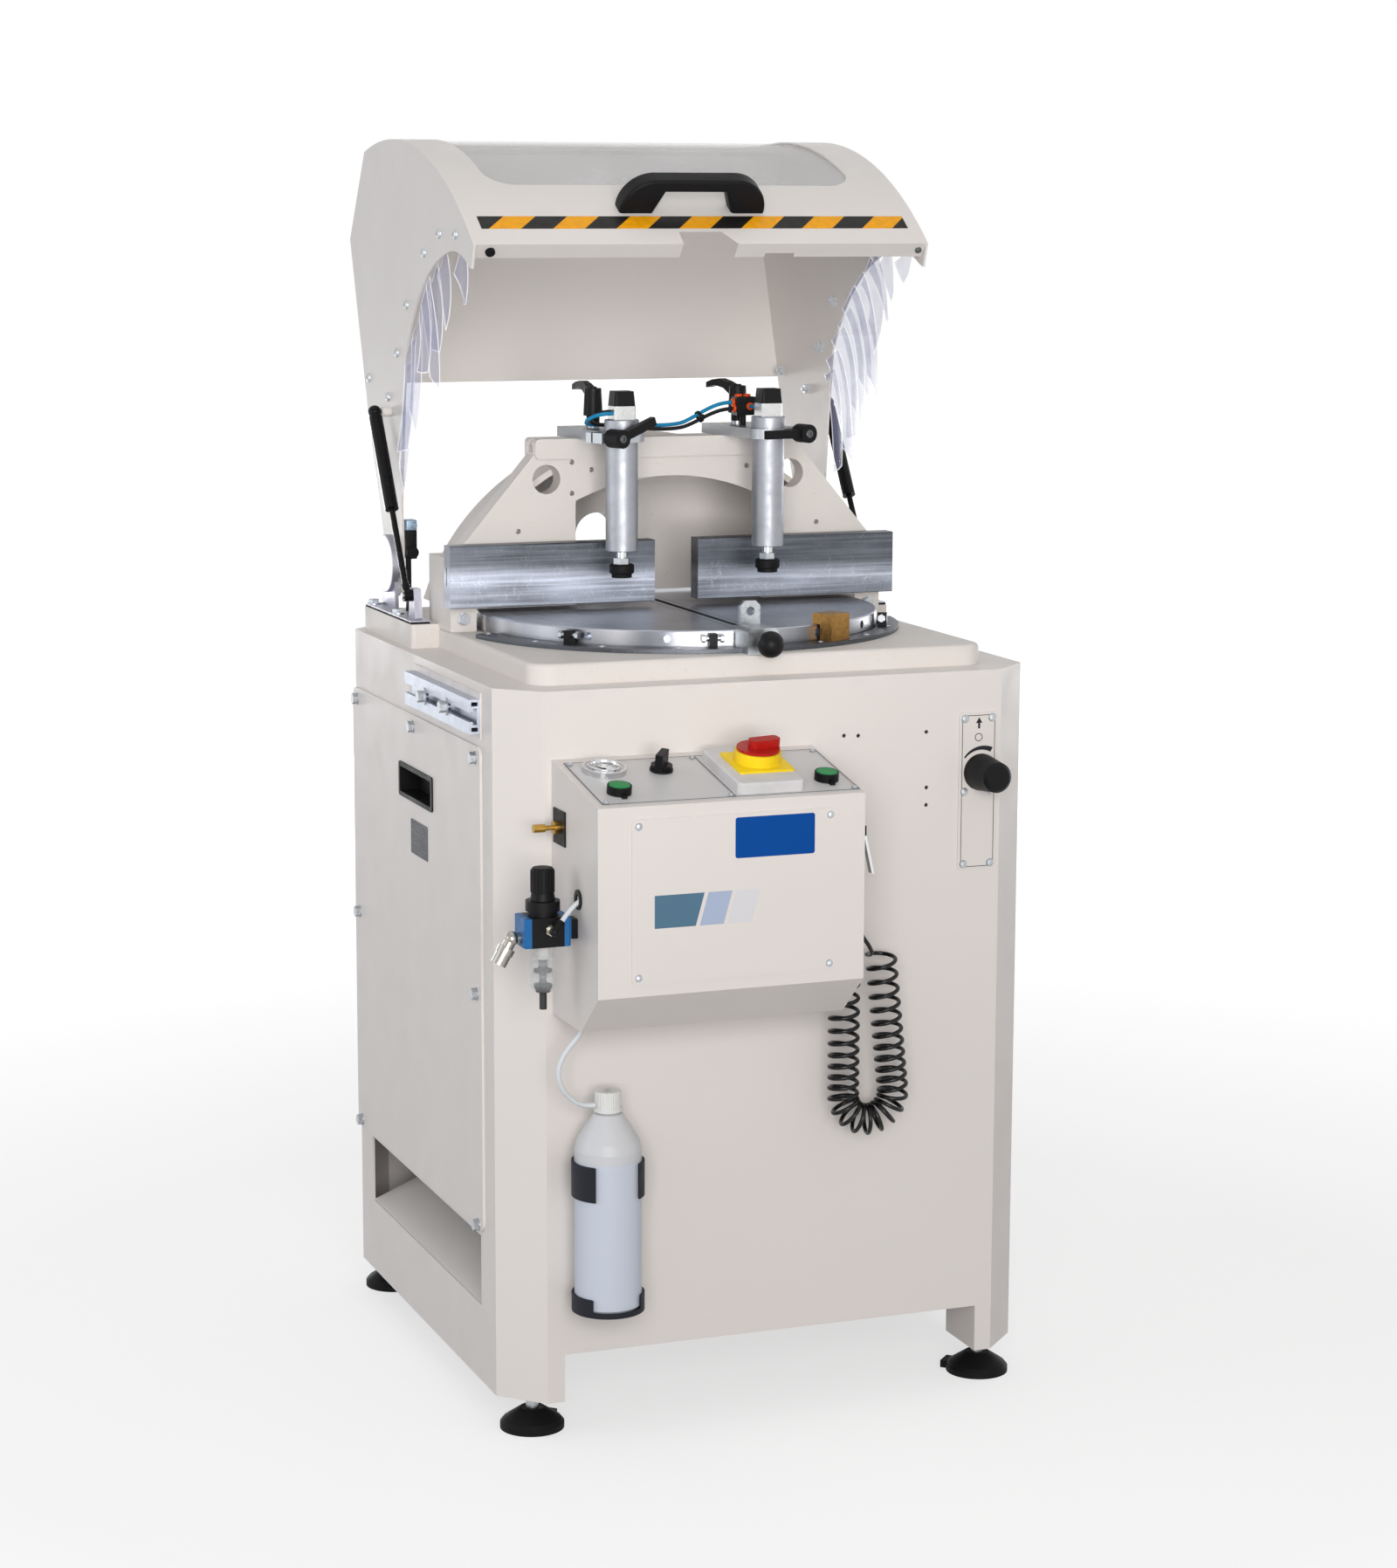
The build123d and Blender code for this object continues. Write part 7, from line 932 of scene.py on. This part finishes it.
# Painted light: the cut edges glow faintly white, standing in for light caught in the clear edges
strip_edge_glow.set(Emission_Color=(1.0, 1.0, 1.0, 1.0), Emission_Strength=0.35, Alpha=0.55)
# Each feather: root, bend and tip in (y, z), widths at root and tip, how far the tip stands out, and slant cut
FEATHERS = {
    "left": [
        ((-27, 1431), (-50, 1409), (-47, 1373), 60, 5, 0, 0.0),
        ((49, 1424), (16, 1386), (44, 1345), 52, 26, 2, 0.3),
        ((92, 1404), (48, 1357), (84, 1302), 54, 40, 5, -0.15),
        ((120, 1386), (60, 1320), (60, 1262), 54, 42, 8, 0.15),
        ((137, 1375), (80, 1327), (118, 1270), 52, 40, 11, -0.18),
        ((165, 1342), (126, 1278), (152, 1208), 52, 40, 15, 0.15),
        ((185, 1316), (156, 1240), (196, 1162), 50, 40, 15, -0.15),
        ((200, 1288), (180, 1217), (216, 1124), 46, 36, 11, 0.15),
    ],
    "right": [
        ((-37, 1431), (-43, 1414), (-46, 1394), 58, 4, 0, -0.3),
        ((21, 1429), (4, 1404), (-6, 1369), 44, 6, 2, -0.2),
        ((58, 1421), (24, 1393), (11, 1344), 36, 5, 4, 0.0),
        ((85, 1408), (30, 1367), (82, 1312), 50, 40, 7, 0.15),
        ((112, 1393), (66, 1320), (78, 1241), 54, 34, 11, 0.18),
        ((136, 1372), (86, 1306), (112, 1230), 54, 44, 15, 0.2),
        ((156, 1346), (112, 1278), (142, 1198), 52, 42, 15, 0.15),
        ((174, 1322), (136, 1246), (160, 1172), 50, 38, 17, -0.12),
        ((190, 1292), (160, 1214), (174, 1146), 46, 34, 19, 0.12),
        ((204, 1268), (186, 1204), (196, 1126), 40, 28, 11, -0.1),
    ],
}
FEATHER_THICK = 1.0
FEATHER_IN = 301.4
LAYERS, LAYER_GAP = 3, 1.3
TAPER, STAND_RISE, CURL = 1.6, 0.6, 1.6
ACROSS = (-1.0, -0.955, -0.45, 0.0, 0.45, 0.955, 1.0)
ALONG = [0.0825 * i for i in range(13)] + [1.0]


def feather_point(feather, side, layer, u, across):
    """Point of a feather's middle surface; it curls across its width and stands out towards its tip."""
    root, bend, tip, wide, narrow, stand, cut = feather
    u *= 1 - (abs(cut) + cut * across) / 2
    line = [(1 - u) ** 2 * a + 2 * u * (1 - u) * b + u * u * c for a, b, c in zip(root, bend, tip)]
    slope = Vector([2 * (1 - u) * (b - a) + 2 * u * (c - b) for a, b, c in zip(root, bend, tip)]).normalized()
    half = (wide + (narrow - wide) * u ** TAPER) / 2 * across
    x = FEATHER_IN - layer * LAYER_GAP + stand * u ** STAND_RISE - CURL * across * across * u
    return Vector((side * x, line[0] - slope.y * half, line[1] + slope.x * half))


for side, name in ((-1, "left"), (1, "right")):
    curtain = Shape()
    for i, feather in enumerate(FEATHERS[name]):
        curtain.sheet([[[feather_point(feather, side, i % LAYERS, u, across) + Vector((lift, 0, 0))
                         for across in ACROSS] for u in ALONG]
                       for lift in (-FEATHER_THICK / 2, FEATHER_THICK / 2)], trimmed=True)
    piece = curtain.piece("curtain_" + name, "hood", "strip_clear", strip.material)
    piece.data.materials.append(strip_edge_glow.material)
    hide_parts("strip_curtains")


# Floor, world and lamps
def seen_by(tree):
    """One for rays that show the background: from the camera, mirrored or through glass."""
    rays = add(tree, "LightPath")
    seen = rays.outputs["Is Camera Ray"]
    for kind in ("Is Glossy Ray", "Is Transmission Ray"):
        either = add(tree, "Math", operation="MAXIMUM")
        tree.links.new(seen, either.inputs[0])
        tree.links.new(rays.outputs[kind], either.inputs[1])
        seen = either.outputs[0]
    return seen


FLOOR_REACH, FLOOR_GREY = 30.0, 0.38
FLOOR_GLOW = (1.0, 4.0, 0.62, 0.95)
WORLD_LIGHT, WORLD_SEEN = 0.4, 1.0
floor_mesh = bpy.data.meshes.new("floor")
floor_corners = box_outline(-FLOOR_REACH, -FLOOR_REACH, FLOOR_REACH, FLOOR_REACH)
floor_mesh.from_pydata([(x, y, 0) for x, y in floor_corners], [], [(0, 1, 2, 3)])
floor = bpy.data.objects.new("floor", floor_mesh)
stage.collection.objects.link(floor)
ground = bpy.data.materials.new("floor")
ground.use_nodes = True
tree = ground.node_tree
tree.nodes.clear()
matt = add(tree, "BsdfDiffuse")
matt.inputs["Color"].default_value = (FLOOR_GREY, FLOOR_GREY, FLOOR_GREY, 1.0)
glow = add(tree, "Emission")
both = add(tree, "AddShader")
away = add(tree, "VectorMath", operation="LENGTH")
paler = add(tree, "MapRange")
for socket, number in zip(paler.inputs[1:5], FLOOR_GLOW):
    socket.default_value = number
strength = add(tree, "Math", operation="MULTIPLY")
for source, target in ((add(tree, "TexCoord").outputs["Object"], away.inputs[0]),
                       (away.outputs["Value"], paler.inputs[0]), (seen_by(tree), strength.inputs[0]),
                       (paler.outputs[0], strength.inputs[1]), (strength.outputs[0], glow.inputs["Strength"]),
                       (matt.outputs[0], both.inputs[0]), (glow.outputs[0], both.inputs[1]),
                       (both.outputs[0], add(tree, "OutputMaterial").inputs[0])):
    tree.links.new(source, target)
floor_mesh.materials.append(ground)

world = bpy.data.worlds.new("studio")
stage.world = world
world.use_nodes = True
tree = world.node_tree
sky = tree.nodes["Background"]
sky.inputs["Color"].default_value = (1.0, 1.0, 1.0, 1.0)
strength = add(tree, "MapRange")
strength.inputs[3].default_value = WORLD_LIGHT
strength.inputs[4].default_value = WORLD_SEEN
tree.links.new(seen_by(tree), strength.inputs[0])
tree.links.new(strength.outputs[0], sky.inputs["Strength"])


def lamp(name, at, aim, size, energy, colour=(1.0, 1.0, 1.0), spread=180.0):
    """Soft rectangular lamp at a point in metres, turned towards aim."""
    data = bpy.data.lights.new(name, "AREA")
    data.shape = "RECTANGLE"
    data.size, data.size_y = size
    data.energy = energy
    data.color = colour
    data.spread = math.radians(spread)
    obj = bpy.data.objects.new(name, data)
    stage.collection.objects.link(obj)
    obj.location = at
    obj.rotation_euler = (Vector(aim) - Vector(at)).to_track_quat("-Z", "Y").to_euler()


WARM, COOL = (1.0, 0.985, 0.975), (0.88, 0.93, 1.0)
lamp("front", (-1.6, -5.1, 1.8), (0, 0, 1.0), (3.0, 2.4), 164.0, WARM)
lamp("side", (-4.2, 0.4, 1.6), (0, 0, 0.9), (3.0, 2.4), 36.0, COOL)
lamp("top", (0.3, 0.2, 4.6), (0.1, 0, 0.8), (4.0, 3.0), 20.0)
lamp("fill", (-0.4, -4.2, 0.9), (0, 0.25, 1.42), (1.0, 0.6), 0.65, WARM, 26.0)
lamp("back", (0.4, 5.0, 0.5), (0, 0, 0.9), (3.2, 0.7), 70.0)
lamp("right", (4.4, 3.0, 0.5), (0, 0, 0.9), (2.6, 0.7), 36.0)
